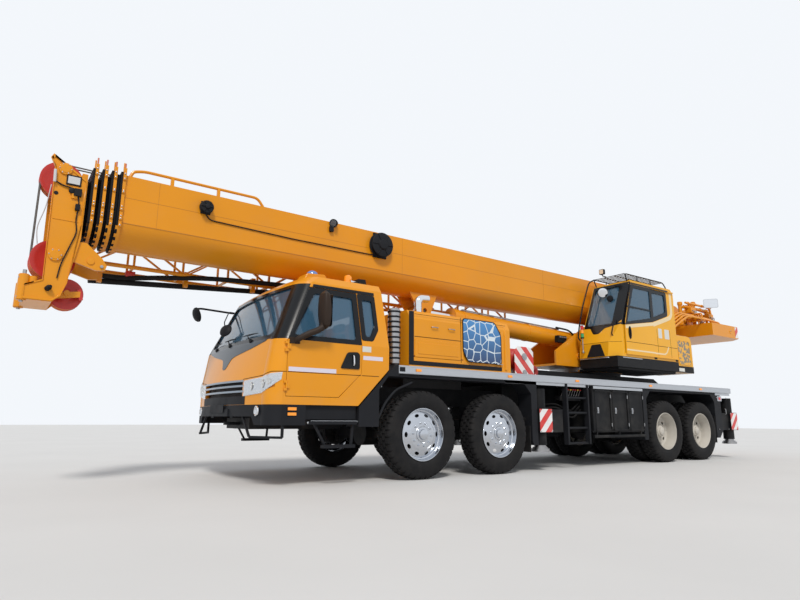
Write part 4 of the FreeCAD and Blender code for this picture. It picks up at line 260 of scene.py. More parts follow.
def rounded_path(points, bend):
    """A path with rounded corners: each corner P becomes a quadratic arc from P + back to P + on, with
    place = P + back (1 - t)^2 + on t^2 for t from 0 to 1."""
    points = np.array(points, float)
    if len(points) < 3:
        return points
    back = points[:-2] - points[1:-1]
    on = points[2:] - points[1:-1]
    back_length = np.linalg.norm(back, axis=1, keepdims=True)
    on_length = np.linalg.norm(on, axis=1, keepdims=True)
    reach = np.minimum(bend, np.minimum(back_length, on_length) * 0.45)
    share = np.linspace(0, 1, 5)[:, None, None]
    arcs = points[1:-1] + back / back_length * reach * (1 - share) ** 2 + on / on_length * reach * share ** 2
    middle = arcs.transpose(1, 0, 2).reshape(-1, points.shape[1])
    return np.vstack([points[:1], middle, points[-1:]])


def circle(count, start=0.0):
    """Angles once round a circle, without the last one."""
    return start + np.arange(count) * FULL_TURN / count


def ring_places(centre, radius, count, axis="y", start=0.0):
    """Places evenly round a circle about an axis through a centre."""
    turns = circle(count, start)
    a, b, flat = radius * np.cos(turns), radius * np.sin(turns), np.zeros(count)
    columns = {"x": (flat, a, b), "y": (a, flat, b), "z": (a, b, flat)}[axis]
    return np.array(centre) + np.column_stack(columns)


def rectangle(a_span, b_span, bend, count=3):
    """A rounded outline round two spans."""
    (a_low, a_high), (b_low, b_high) = a_span, b_span
    return outline([(a_low, b_low), (a_high, b_low), (a_high, b_high), (a_low, b_high)], bend, count)


def outline(corners, bend=0.002, count=8):
    """A closed flat outline with its corners rounded, in which each side is filled with count points."""
    corners = np.array(corners, float)
    around = rounded_path(np.vstack([corners, corners[:2]]), bend)[1:-1]
    after = np.roll(around, -1, axis=0)
    steps = np.tile([1, 1, 1, 1, count], len(corners))
    start = np.repeat(around, steps, axis=0)
    way = np.repeat((after - around) / steps[:, None], steps, axis=0)
    index = np.arange(steps.sum()) - np.repeat(np.cumsum(steps) - steps, steps)
    return start + way * index[:, None]


def flat_side(face):
    """A flat side face for points of a side view, (x, height)."""
    return lambda flat, proud: np.stack([flat[..., 0], face + proud + 0 * flat[..., 0], flat[..., 1]], axis=-1)


class Shape:
    """One piece built up from grids of points. X is measured ahead of the front axle until the piece is done."""

    def __init__(self):
        self.points = []
        self.faces = []
        self.total = 0

    def skin(self, grid, closed=True, caps=True):
        """Joins a grid of points, rows by columns by 3, into a skin of four-sided faces. Columns close into a
        ring, and the first and last rows get a flat cap."""
        rows, columns = grid.shape[:2]
        index = self.total + np.arange(rows * columns).reshape(rows, columns)
        after = np.roll(index, -1, axis=1)
        quads = np.stack([index[:-1], after[:-1], after[1:], index[1:]], axis=-1)
        if not closed:
            quads = quads[:, :-1]
        self.faces += quads.reshape(-1, 4).tolist()
        if caps:
            self.faces += [index[0][::-1].tolist(), index[-1].tolist()]
        self.points.append(grid.reshape(-1, 3))
        self.total += rows * columns
        return self

    def prism(self, view, span, corners):
        """An outline drawn in a view and carried straight over a span of depth."""
        corners = np.array(corners, float)
        rows = [np.column_stack([corners, np.full(len(corners), depth)])[:, VIEWS[view]] for depth in span]
        return self.skin(np.array(rows))

    def block(self, x_span, y_span, z_span):
        return self.prism("plan", z_span, [(x_span[0], y_span[0]), (x_span[1], y_span[0]),
                                           (x_span[1], y_span[1]), (x_span[0], y_span[1])])

    def plate(self, corners, depth, way):
        """A flat outline in space, carried by depth along a direction."""
        corners = np.array(corners, float)
        return self.skin(np.stack([corners, corners + np.array(way, float) * depth]))

    def tube(self, points, radius, bend=0.06, sides=12):
        """A circle carried along a path with rounded corners: place = path + radius (side cos t + up sin t).
        The side direction stays square to the direction in which the path spreads least."""
        path = rounded_path(points, bend)
        along = unit(np.gradient(path, axis=0))
        least = np.linalg.svd(path - path.mean(axis=0))[2][-1]
        side = unit(np.cross(along, least))
        up = np.cross(side, along)
        radii = np.interp(np.linspace(0, 1, len(path)), np.linspace(0, 1, np.size(radius)), np.ravel(radius))
        turns = circle(sides)[:, None]
        ring = side[:, None] * np.cos(turns) + up[:, None] * np.sin(turns)
        return self.skin(path[:, None] + ring * radii[:, None, None])

    def turned(self, profile, centre, axis="y", sides=48, caps=True):
        """A profile of (place along the axis, radius) turned about an axis through a centre:
        place = centre + along + radius (cos t, sin t)."""
        profile = np.array(profile, float)
        turns = circle(sides)
        a = profile[:, 1:] * np.cos(turns)
        b = profile[:, 1:] * np.sin(turns)
        along = np.repeat(profile[:, :1], sides, axis=1)
        columns = {"x": (along, a, b), "y": (a, along, b), "z": (a, b, along)}[axis]
        return self.skin(np.array(centre) + np.stack(columns, axis=-1), caps=caps)

    def fan(self, ring):
        """Closes a ring of points with triangles to its middle."""
        middle = ring.mean(axis=0)
        return self.skin(np.stack([ring, np.broadcast_to(middle, ring.shape)]), caps=False)

    def disc_on(self, middle, way, profile, sides=20):
        """A profile of (place along, radius) turned about any direction: middle + along way + radius (cos, sin)."""
        middle, way = np.array(middle), unit(np.array(way, float))
        first = unit(np.cross(way, (0.0, 0.0, 1.0) if abs(way[2]) < 0.9 else (1.0, 0.0, 0.0)))
        second = np.cross(way, first)
        profile = np.array(profile, float)
        turns = circle(sides)[:, None]
        ring = first * np.cos(turns) + second * np.sin(turns)
        return self.skin(middle + profile[:, 0, None, None] * way + profile[:, 1, None, None] * ring)

    def bowl(self, middle, way, radius):
        """A lamp's bowl: a rim round a hollow with a bulb's cap in its middle."""
        steps = np.array([(0.0, 0.98), (0.004, 1.0), (0.006, 0.96), (0.003, 0.8), (0.001, 0.45), (0.001, 0.24),
                          (0.005, 0.2), (0.007, 0.1), (0.0075, 0.02)])
        return self.disc_on(middle, way, steps * (1, radius))

    def rope(self, start, end, radius=0.011, sides=6):
        return self.tube([start, end], radius, sides=sides)

    def sheet(self, grid):
        """An open surface from a grid of points, rows by columns by 3."""
        return self.skin(np.array(grid, float), closed=False, caps=False)

    def slab(self, outer, inner):
        """A plate between two grids of points, with a wall all round its edge."""
        self.sheet(outer)
        self.sheet(inner[::-1])
        rims = [np.concatenate([grid[0], grid[1:, -1], grid[-1, -2::-1], grid[-2:0:-1, 0]])
                for grid in (np.asarray(outer), np.asarray(inner))]
        return self.skin(np.stack(rims), caps=False)

    def frame(self, surface, hole, edge, low, high, rows=3):
        """A flat ring between two outlines of equally many points, laid on a surface from offset low to high."""
        share = np.linspace(0, 1, rows)[:, None, None]
        flat = hole * (1 - share) + edge * share
        top, bottom = surface(flat, high), surface(flat, low)
        return self.skin(np.concatenate([top, bottom[::-1], top[:1]]), caps=False)

    def patch(self, surface, columns, low_edge, high_edge, low, high, rows=5):
        """A plate on a surface, between a lower and an upper edge, each one height or a height for each column."""
        share = np.linspace(0, 1, rows)[:, None]
        up = (low_edge + 0 * columns) * (1 - share) + high_edge * share
        flat = np.stack([np.broadcast_to(columns, up.shape), up], axis=-1)
        return self.slab(surface(flat, high), surface(flat, low))

    def mirrored(self):
        """Adds the same forms on the other side of the middle plane: (x, y, z) becomes (x, -y, z)."""
        self.faces += [[corner + self.total for corner in face] for face in self.faces]
        self.points += [points * (1, -1, 1) for points in self.points]
        self.total *= 2
        return self

    def bolt(self, place, way, size=0.009, tall=0.006):
        """A six-sided head whose top edge is chamfered."""
        return self.disc_on(place, way, [(0, size), (tall, size), (tall + 0.002, 0.005)], 6)

    def pair(self, name, material, body, edge=0.0):
        """Makes a left piece and its mirror image on the right, each on its own side's body."""
        for label, sign in SIDES.items():
            piece = Shape()
            piece.points, piece.faces = [points * (1, sign, 1) for points in self.points], self.faces
            piece.done(f"{name}_{label}", material, f"{body}_{label}", edge=edge)

    def done(self, name, material, body="chassis", replaces=(), edge=0.0, crease=32):
        """Makes the object, softens its sharp edges, gives it its material and lets it ride on its body."""
        data = bpy.data.meshes.new(name)
        data.from_pydata((np.vstack(self.points) + (AXLE_1, 0, 0)).tolist(), [], self.faces)
        work = bmesh.new()
        work.from_mesh(data)
        bmesh.ops.remove_doubles(work, verts=work.verts[:], dist=1e-6)
        bmesh.ops.recalc_face_normals(work, faces=work.faces[:])
        work.to_mesh(data)
        work.free()
        data.materials.append(material)
        data.shade_smooth()
        piece = bpy.data.objects.new(name, data)
        bpy.context.scene.collection.objects.link(piece)
        if edge:
            soft = piece.modifiers.new("soft_edges", "BEVEL")
            soft.width = edge
            soft.segments = 2
            soft.limit_method = "ANGLE"
            soft.angle_limit = math.radians(crease)
            soft.harden_normals = True
        else:
            data.set_sharp_from_angle(angle=math.radians(crease))
        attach(piece, body)
        if replaces:
            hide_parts(*replaces)
        return piece


def mirror(*shapes):
    for shape in shapes:
        shape.mirrored()


ORANGE = (0.72, 0.275, 0.007)
GOLDEN = (0.73, 0.285, 0.007)
LEMON = (0.79, 0.385, 0.009)
BLACK = (0.007, 0.0075, 0.009)
CHARCOAL = (0.012, 0.013, 0.016)
RED = (0.5, 0.02, 0.015)
WHITE = (0.75, 0.76, 0.78)

BOOM = paint("boom_paint", ORANGE, coat=0.1, shine=0.3)
BODY = paint("body_paint", GOLDEN, coat=0.15, shine=0.3)
UPPER_CAB = paint("operator_cab_paint", LEMON, coat=0.15, shine=0.3)
FRAME = paint("frame_black", BLACK, roughness=0.5, coat=0.0, dusty=0.03, shine=0.15)
TRIM = moulded("charcoal_trim", CHARCOAL)
GLOSS_BLACK = paint("gloss_black", (0.006, 0.007, 0.009), roughness=0.2, coat=0.08, dusty=0.005, shine=0.2)
SEAM = paint("seam_shadow", (0.05, 0.02, 0.003), roughness=0.7, coat=0.0, shine=0.2)
BONNET_INSERT = paint("bonnet_insert_blue_black", (0.012, 0.022, 0.034), roughness=0.3, coat=0.2, dusty=0.01,
                      shine=0.4)
PALE_BAR = paint("grille_bar_silver_blue", (0.2, 0.26, 0.33), roughness=0.3, coat=0.3)
LAMP_BOWL = metal("lamp_bowl", (0.9, 0.88, 0.84), 0.1, depth=0.04)
RAIL = metal("rail_aluminium", (0.56, 0.58, 0.61), 0.38, (1, 60, 60))
RIM = metal("rim_polished", (0.6, 0.63, 0.68), 0.18)
REAR_RIM = paint("rim_silver_paint", (0.5, 0.47, 0.42), roughness=0.35, coat=0.2, dusty=0.12)
CHROME = metal("chrome", (0.82, 0.83, 0.85), 0.08, depth=0.04)
STEEL = metal("steel", (0.42, 0.42, 0.43), 0.35)
ROPE = metal("wire_rope", (0.16, 0.15, 0.14), 0.5, (1, 1, 1), 90.0)
RUBBER = tyre_rubber()
# pane tint: partly the glass's own dark tint, partly a painted reflection of the blue sky in the windows
PANE = glass("cab_pane", (0.045, 0.12, 0.2), 0.7)
CLEAR = glass("lamp_cover", (0.55, 0.6, 0.65), 0.16)
WARM_LENS = lamp("warm_lens", (0.8, 0.62, 0.42), 0.15)
AMBER = lamp("amber_lens", (0.85, 0.28, 0.01), 0.3)
BLUE_LENS = lamp("blue_lens", (0.1, 0.22, 0.55), 0.05)
MIRROR_BROWN = moulded("mirror_brown", (0.03, 0.02, 0.015), 0.45)
PLATE_BLANK = paint("plate_blank", (0.55, 0.56, 0.58), roughness=0.35, coat=0.2)
RED_LENS = lamp("red_lens", (0.55, 0.01, 0.01), 0.2)
GREEN_LENS = lamp("green_lens", (0.02, 0.35, 0.1), 0.1)
SLEEVE = moulded("boom_sleeve_rubber", (0.008, 0.008, 0.01), 0.6)
PIN_RED = paint("guide_pin_red", (0.55, 0.16, 0.1), roughness=0.4, coat=0.1)
BOOM_SEAM = paint("weld_line", (0.42, 0.16, 0.006), roughness=0.5, coat=0.1)
SHEAVE = paint("sheave_red", RED, roughness=0.4, coat=0.2)
HOOK_RED = paint("hook_red", (0.3, 0.015, 0.012), roughness=0.45, coat=0.1)
STRIPES = striped("red_white_plate", (0.62, 0.02, 0.015), (0.78, 0.78, 0.78), 0.28, (1, 0, 1))
SIDE_STRIPES = striped("red_white_side_plate", (0.62, 0.02, 0.015), (0.78, 0.78, 0.78), 0.28, (1, 0, -1))
REFLECTIVE = paint("reflective_strip", (0.66, 0.62, 0.72), roughness=0.25, coat=0.5, dusty=0.03)
SEAT = cloth("seat_cloth", (0.035, 0.035, 0.04))
MIRROR = metal("mirror_face", (0.85, 0.87, 0.9), 0.04, depth=0.02)
IRON = moulded("engine_iron", (0.05, 0.05, 0.052), 0.6, 160.0)


def cell_panel():
    """Blue panel with pale cell borders: where a Voronoi pattern's distance to the nearest edge is small, the
    colour is pale, and elsewhere blue that deepens downwards."""
    finish = Finish("cell_panel_blue", (0.03, 0.16, 0.42), 0.3, coat=0.4)
    edge = finish.node("TexVoronoi", {"feature": "DISTANCE_TO_EDGE"},
                       {"Vector": finish.spot((1, 0.0, 1)), "Scale": 7.0, "Randomness": 0.55})
    depth = finish.axis("Z").between(1.65, 2.3)
    blue = finish.mix(depth, (0.008, 0.035, 0.12), (0.05, 0.24, 0.55))
    finish.set("Base Color", finish.mix(edge < 0.045, blue, (0.62, 0.7, 0.76)))
    return finish.bump(edge.between(0.02, 0.06), 0.3, 0.002).material


def punched(name, colour, scale):
    """Painted sheet with punched round cells: a Voronoi distance from the cell's middle cuts dark holes."""
    finish = Finish(name, colour, 0.4, coat=0.2)
    cell = finish.node("TexVoronoi", {"feature": "F1"},
                       {"Vector": finish.spot((1, 0, 1)), "Scale": scale, "Randomness": 0.8})
    hole = cell.between(0.5, 0.56)
    finish.set("Base Color", finish.mix(hole, (0.19, 0.17, 0.13), colour))
    return finish.bump(hole, 0.5, 0.003).material


def chequer_plate():
    """Aluminium deck plate: two crossed waves raise a lozenge pattern, with dirt between the lozenges."""
    finish = Finish("chequer_plate", (0.38, 0.4, 0.42), 0.42, metallic=0.9)
    lift = ((finish.axis("X") + finish.axis("Y")) * 110).wave() * ((finish.axis("X") - finish.axis("Y")) * 110).wave()
    raised = lift.between(0.25, 0.45)
    finish.set("Base Color", finish.mix(raised, (0.2, 0.2, 0.2), (0.46, 0.48, 0.5)))
    return finish.bump(raised, 0.5, 0.002).material


CELLS = cell_panel()
PUNCHED = punched("punched_yellow", LEMON, 15.0)
CHEQUER = chequer_plate()
LEVER_RED = paint("lever_red", (0.45, 0.02, 0.02), roughness=0.3)
LEVER_YELLOW = paint("lever_yellow", (0.75, 0.45, 0.02), roughness=0.3)
# painted highlight: a pale cream paint that stands for the sky's light on the operator cab's bevelled edges and on the
# cooler's rounded top
HIGHLIGHT = paint("painted_highlight_edge", (0.78, 0.62, 0.36), roughness=0.35)
BARE_PLATE = paint("bare_plate", (0.62, 0.62, 0.58), roughness=0.35)

NODE_FINISHES = {
    BOOM: ["boom_base", "boom_section_2", "boom_section_3", "boom_section_4", "boom_head_section", "luffing_barrel",
           "turntable_frame", "counterweight", "winches", "folding_jib"],
    BODY: ["cab_shell", "cab_door_left", "cab_door_right", "engine_hood"],
    UPPER_CAB: ["operator_cab", "operator_door", "cooler_box"],
    FRAME: ["chassis_frame", "outrigger_boxes", "axle_beams", "side_lockers", "tow_eyes", "operator_cab_base",
            "hook_block"] + [f"knuckle_{axle}_{side}" for axle in "12" for side in SIDES]
           + [f"outrigger_beam_{spot}_{side}" for spot in ("front", "rear") for side in SIDES],
    TRIM: ["fenders", "front_bumper", "steps_ladders", "left_mirror", "right_mirror"],
    RAIL: ["deck"],
    STEEL: ["exhaust"] + [f"outrigger_jack_{spot}_{side}" for spot in ("front", "rear") for side in SIDES],
    CHROME: ["luffing_rod"],
    PANE: ["cab_glass", "door_glass_left", "door_glass_right", "operator_glass", "operator_door_glass"],
    SEAT: ["cab_interior", "operator_seat"],
    IRON: ["engine"],
}
for finish, names in NODE_FINISHES.items():
    for name in names:
        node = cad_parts[name]
        node.data.materials.clear()
        node.data.materials.append(finish)


# ---- wheels

TYRE_MIDDLE = 1.215
TWIN_MIDDLE = 0.865
WHEEL_PLACES = [(f"{axle}_{side}", AXLE_X[axle], sign, axle in "34")
                for axle in AXLE_X for side, sign in SIDES.items()]
SIDEWALL = [
    # (place across the tyre, radius), from the bead out to the shoulder
    (0.118, 0.352), (0.132, 0.372), (0.148, 0.4), (0.154, 0.432), (0.156, 0.47), (0.153, 0.51),
    (0.146, 0.545), (0.137, 0.568), (0.127, 0.581), (0.113, 0.588),
]
LUGS = 40
LUG_STEPS = np.array([0, 0.03, 0.24, 0.27, 0.5, 0.53, 0.74, 0.77])
GROOVE_STEPS = np.array([-0.007, -0.004, 0.004, 0.007])
GROOVE_PLACES = (-0.062, 0.0, 0.062)
GROOVE_DEEP = 0.014
CROWN_RADIUS = 0.594


def tyre(shape, centre):
    """A tyre's section turned about its axle, r = section radius - groove. The groove is full depth along three
    rings and in one slot of each lug, which moves half a lug from rib to rib, and it fades out down the
    shoulders."""
    wall = np.array(SIDEWALL)
    crown = np.concatenate([place + GROOVE_STEPS for place in GROOVE_PLACES])
    across = np.concatenate([-wall[:, 0], crown, wall[::-1, 0]])
    radius = np.concatenate([wall[:, 1], np.full(len(crown), CROWN_RADIUS), wall[::-1, 1]])
    ring = np.concatenate([np.zeros(len(wall)), np.tile([0, 1, 1, 0], len(GROOVE_PLACES)), np.zeros(len(wall))])
    steps = (np.arange(LUGS)[:, None] + LUG_STEPS).ravel()
    turn = np.append(steps, LUGS) * FULL_TURN / LUGS
    part = np.append(np.tile(np.arange(len(LUG_STEPS)), LUGS), 0)[:, None]
    rib = np.searchsorted(GROOVE_PLACES, across)
    slot = np.where(rib % 2 == 0, np.isin(part, (1, 2)), np.isin(part, (5, 6)))
    shoulder = np.interp(radius, (0.54, 0.575), (0, 1))
    far = radius - np.maximum(slot * shoulder, ring) * GROOVE_DEEP
    grid = np.stack([far * np.cos(turn)[:, None], np.broadcast_to(across, far.shape),
                     far * np.sin(turn)[:, None]], axis=-1)
    return shape.skin(grid + centre, caps=False)


def holed_disc(shape, centre, profile, holes, hole_radius, half_sizes, span):
    """A dished disc with oval hand holes. Each sector is a grid that runs from its hole's edge,
    (a cos t, b sin t) in arc length and radius, straight out to the sector's own border. The place along the
    axle follows the profile of (place, radius) by radius."""
    profile = np.array(sorted(profile, key=lambda pair: pair[1]))
    half_turn = math.pi / holes
    half_across = half_turn * hole_radius
    low, high = span[0] - hole_radius, span[1] - hole_radius
    corners = np.arctan2([high, high, low, low], [half_across, -half_across, -half_across, half_across])
    angles = np.unique(np.round(np.concatenate([np.linspace(-math.pi, math.pi, 25)[:-1], corners]), 6))
    across, up = np.cos(angles), np.sin(angles)
    tiny = 1e-9
    reach = np.minimum(half_across / np.maximum(np.abs(across), tiny),
                       np.where(up > 0, high, -low) / np.maximum(np.abs(up), tiny))
    inner = np.column_stack([half_sizes[0] * across, half_sizes[1] * up])
    outer = np.column_stack([reach * across, reach * up])
    share = np.linspace(0, 1, 4)[:, None, None]
    flat = inner * (1 - share) + outer * share
    radius = hole_radius + flat[..., 1]
    along = np.interp(radius, profile[:, 1], profile[:, 0])
    for turn in circle(holes):
        angle = turn + flat[..., 0] / hole_radius
        grid = np.stack([radius * np.cos(angle), along, radius * np.sin(angle)], axis=-1)
        shape.skin(grid * (1, centre[3], 1) + centre[:3], caps=False)
    return shape


def capped_nuts(shape, centre, radius, count, along, size=0.017, tall=0.022):
    """Six-sided nuts with domed caps in a ring."""
    profile = [(0, size), (tall * 0.55, size), (tall * 0.62, size * 0.72), (tall * 0.92, size * 0.55),
               (tall, size * 0.15)]
    for place in ring_places(centre[:3], radius, count, "y", 0.1):
        shape.turned([(centre[3] * (along + step), wide) for step, wide in profile], place, "y", 6)
    return shape


def front_rim(shape, centre):
    """Polished single wheel: lip, shallow band, disc with ten oval holes, nut plane and hub cap."""
    side = centre[3]

    def turned(profile, **options):
        shape.turned([(side * along, radius) for along, radius in profile], centre[:3], **options)

    turned([(0.11, 0.352), (0.128, 0.358), (0.137, 0.355), (0.139, 0.35), (0.137, 0.345), (0.124, 0.342),
            (0.112, 0.338), (0.088, 0.334), (0.078, 0.326), (0.074, 0.315), (0.078, 0.305)], caps=False)
    disc = [(0.078, 0.305), (0.083, 0.292), (0.093, 0.262), (0.101, 0.232), (0.104, 0.215)]
    holed_disc(shape, centre, disc, 10, 0.262, (0.036, 0.022), (0.215, 0.305))
    turned([(0.104, 0.215), (0.109, 0.206), (0.11, 0.2), (0.11, 0.118), (0.114, 0.113), (0.114, 0.103)], caps=False)
    turned([(0.1, 0.103), (0.12, 0.1), (0.122, 0.09), (0.124, 0.072), (0.142, 0.068), (0.15, 0.063), (0.154, 0.052),
            (0.156, 0.03), (0.1565, 0.001)])
    capped_nuts(shape, centre, 0.155, 10, 0.109)


def rear_rim(shape, centre):
    """Deep dished wheel of a twin pair, with holes in its dish, nuts and a domed hub."""
    side = centre[3]

    def turned(profile, **options):
        shape.turned([(side * along, radius) for along, radius in profile], centre[:3], **options)

    turned([(0.108, 0.352), (0.124, 0.358), (0.133, 0.355), (0.135, 0.35), (0.132, 0.344), (0.108, 0.336),
            (0.062, 0.328), (0.05, 0.322), (-0.02, 0.316), (-0.052, 0.309), (-0.06, 0.3)], caps=False)
    disc = [(-0.06, 0.3), (-0.07, 0.285), (-0.078, 0.25), (-0.082, 0.215), (-0.084, 0.205)]
    holed_disc(shape, centre, disc, 10, 0.254, (0.033, 0.019), (0.205, 0.3))
    turned([(-0.084, 0.205), (-0.088, 0.196), (-0.088, 0.15), (-0.088, 0.112)], caps=False)
    turned([(-0.1, 0.12), (-0.07, 0.116), (-0.03, 0.11), (0.005, 0.108), (0.01, 0.102), (0.014, 0.086), (0.036, 0.078),
            (0.046, 0.06), (0.052, 0.03), (0.053, 0.001)])
    capped_nuts(shape, centre, 0.165, 10, -0.09)


def barrel(shape, centre):
    """The rim's hidden barrel and its inner lip."""
    side = centre[3]
    shape.turned([(side * along, radius) for along, radius in (
        (0.112, 0.338), (0.06, 0.33), (-0.06, 0.328), (-0.115, 0.338), (-0.128, 0.345), (-0.137, 0.352),
        (-0.128, 0.358), (-0.112, 0.354))], centre[:3], caps=False)


def drum(shape, centre):
    """The brake drum: a ribbed can behind the wheel disc."""
    side = centre[3]
    shape.turned([(side * along, radius) for along, radius in (
        (-0.15, 0.1), (-0.15, 0.215), (-0.142, 0.222), (-0.1, 0.222), (-0.095, 0.214), (-0.04, 0.21),
        (-0.035, 0.202), (0.03, 0.198), (0.045, 0.185), (0.052, 0.1))], centre[:3])


def make_wheels():
    for label, x, sign, twin in WHEEL_PLACES:
        body = f"wheel_{label}"
        rubber = Shape()
        polish = Shape()
        dark = Shape()
        for middle in (TYRE_MIDDLE, TWIN_MIDDLE) if twin else (TYRE_MIDDLE,):
            centre = (x, sign * middle, TYRE_RADIUS, sign)
            tyre(rubber, np.array(centre[:3]))
            barrel(polish, centre)
        centre = (x, sign * TYRE_MIDDLE, TYRE_RADIUS, sign)
        if twin:
            rear_rim(polish, centre)
            drum(dark, (x, sign * (TWIN_MIDDLE + 0.01), TYRE_RADIUS, sign))
        else:
            front_rim(polish, centre)
            drum(dark, centre)
        rubber.done(f"tyre_{label}", RUBBER, body, [body], crease=28)
        polish.done(f"rim_{label}", REAR_RIM if twin else RIM, body, crease=30)
        dark.done(f"brake_drum_{label}", IRON, body)


make_wheels()


# ---- driver's cab

CAB_Z = (0.96, 1.27, 1.735, 2.53, 2.625)
CAB_NOSE = (2.4, 2.4, 2.27, 1.9, 1.76)
CAB_EDGE = (2.27, 2.27, 2.195, 1.84, 1.7)
CAB_HALF = (1.375, 1.375, 1.375, 1.18, 1.11)
CORNER_DEEP = 0.16
CORNER_WIDE = 0.23


def circle_through(points):
    """Centre and radius of the circle through three places: the two equations |c - p|^2 = |c - q|^2 are linear."""
    first, second, third = np.array(points, float)
    ways = 2 * np.array([second - first, third - first])
    sums = np.array([second @ second - first @ first, third @ third - first @ first])
    centre = np.linalg.solve(ways, sums)
    return centre, np.linalg.norm(first - centre)


CORNER_CENTRE, CORNER_RADIUS = circle_through([
    (0, CORNER_WIDE), (CORNER_DEEP * 0.7, CORNER_WIDE * 0.7), (CORNER_DEEP, 0)])
CORNER_START = math.atan2(-CORNER_CENTRE[1], CORNER_DEEP - CORNER_CENTRE[0])
CORNER_END = math.atan2(CORNER_WIDE - CORNER_CENTRE[1], -CORNER_CENTRE[0])


def cab_place(round_place, height, proud=0.0):
    """A place on the cab's skin. Round the cab, 0 to 1 runs from the middle out along the bowed front
    (nose - bow u^2), 1 to 2 round the corner's arc, and past 2 back along the side in metres. Negative
    places are on the right side. The skin's lengths are straight between the cab's levels of height."""
    side = np.sign(round_place) + (round_place == 0)
    u = np.abs(round_place)
    nose, edge, half = (np.interp(height, CAB_Z, level) for level in (CAB_NOSE, CAB_EDGE, CAB_HALF))
    bow_x = nose - (nose - edge) * u ** 2 + proud
    bow_y = (half - CORNER_WIDE) * u
    turn = CORNER_START + (CORNER_END - CORNER_START) * np.clip(u - 1, 0, 1)
    arc_x = edge - CORNER_DEEP + CORNER_CENTRE[0] + (CORNER_RADIUS + proud) * np.cos(turn)
    arc_y = half - CORNER_WIDE + CORNER_CENTRE[1] + (CORNER_RADIUS + proud) * np.sin(turn)
    x = np.where(u <= 1, bow_x, np.where(u <= 2, arc_x, edge - CORNER_DEEP - (u - 2)))
    y = np.where(u <= 1, bow_y, np.where(u <= 2, arc_y, half + proud))
    return np.stack([x, y * side, height + x * 0], axis=-1)


def cab_wrap(flat, proud):
    """The cab's skin for points of (place round the cab, height)."""
    return cab_place(flat[..., 0], flat[..., 1], proud)


def cab_front(flat, proud):
    """The cab's skin for points of a front view, (y, height)."""
    y, height = flat[..., 0], flat[..., 1]
    edge = np.interp(height, CAB_Z, CAB_HALF) - CORNER_WIDE
    past = np.abs(y) - edge
    turn = np.arcsin(np.clip((past - CORNER_CENTRE[1]) / CORNER_RADIUS, -1, 1))
    u = np.where(past <= 0, np.abs(y) / edge, 1 + (turn - CORNER_START) / (CORNER_END - CORNER_START))
    return cab_place(u * np.sign(y), height, proud)


def cab_side(flat, proud):
    """The cab's skin on the left for points of a side view, (x ahead of axle 1, height). Ahead of the side's
    end the place goes round the corner by its distance ahead."""
    x, height = flat[..., 0], flat[..., 1]
    end = np.interp(height, CAB_Z, CAB_EDGE) - CORNER_DEEP
    turn = np.arccos(np.clip((x - end - CORNER_CENTRE[0]) / CORNER_RADIUS, -1, 1))
    u = np.where(x <= end, 2 + end - x, 1 + (turn - CORNER_START) / (CORNER_END - CORNER_START))
    return cab_place(u, height, proud)


DOOR_EDGE = [(1.03, 1.735), (2.065, 1.735), (1.74, 2.45), (1.03, 2.45)]
DOOR_WINDOW = [(1.108, 1.798), (1.984, 1.798), (1.663, 2.372), (1.108, 2.372)]
QUARTER = [(0.952, 1.858), (0.952, 2.372), (0.798, 2.372), (0.798, 2.006), (0.881, 1.858)]


def cab_trim():
    """Black surrounds of the windscreen, the door windows and the quarter windows, and the pillars between."""
    trim, door = Shape(), Shape()
    rise = np.linspace(1.742, 2.5, 14)[:, None]
    share = np.linspace(0, 1, 9)
    door_line = np.interp(rise, (1.735, 2.45, 2.505), (2.076, 1.751, 1.726))
    span = 2 + np.interp(rise, CAB_Z, CAB_EDGE) - CORNER_DEEP - door_line
    glass_side = np.interp(rise, (1.752, 2.505), (1.02, 1.08))
    round_place = glass_side * (1 - share) + span * share
    flat = np.stack([round_place, np.broadcast_to(rise, round_place.shape)], axis=-1)
    trim.slab(cab_wrap(flat, 0.0035), cab_wrap(flat, -0.003))
    quarter = outline(QUARTER, 0.03)
    rear = outline([(1.022, 1.8), (1.022, 2.455), (0.74, 2.455), (0.74, 1.965), (0.845, 1.8)], 0.03)
    trim.frame(cab_side, quarter, rear, -0.016, 0.004)
    trim.patch(cab_side, np.linspace(0.742, 1.74, 12), 2.457, 2.5, -0.003, 0.004, rows=3)
    mirror(trim)
    screen = outline([(-1.136, 1.812), (1.136, 1.812), (1.018, 2.458), (-1.018, 2.458)], 0.09)
    around = outline([(-1.215, 1.752), (1.215, 1.752), (1.068, 2.505), (-1.068, 2.505)], 0.09)
    trim.frame(cab_front, screen, around, -0.016, 0.004)
    trim.done("cab_window_surrounds", GLOSS_BLACK, edge=0.002)
    door.frame(cab_side, outline(DOOR_WINDOW, 0.04), outline(DOOR_EDGE, 0.012), -0.014, 0.004)
    door.pair("door_window_surround", GLOSS_BLACK, "door", edge=0.002)


def cab_seams():
    """Thin dark joints: the bonnet's lower line round the corner, and the crease along door and rear side."""
    seam, crease = Shape(), Shape()
    columns = np.concatenate([np.linspace(0.63, 2, 14), [2.028]])
    height = np.interp(columns, (0.63, 1.0, 1.5, 2.03), (1.272, 1.302, 1.344, 1.344))
    seam.patch(cab_wrap, columns, height - 0.004, height + 0.004, -0.002, 0.0012, rows=2)
    seam.patch(cab_side, np.linspace(0.76, 1.02, 4), 1.34, 1.348, -0.002, 0.0012, rows=2)
    crease.patch(cab_side, np.linspace(1.036, 2.058, 5), 1.34, 1.348, -0.002, 0.0012, rows=2)
    seam.mirrored().done("cab_seams", SEAM)
    crease.pair("door_crease", SEAM, "door")


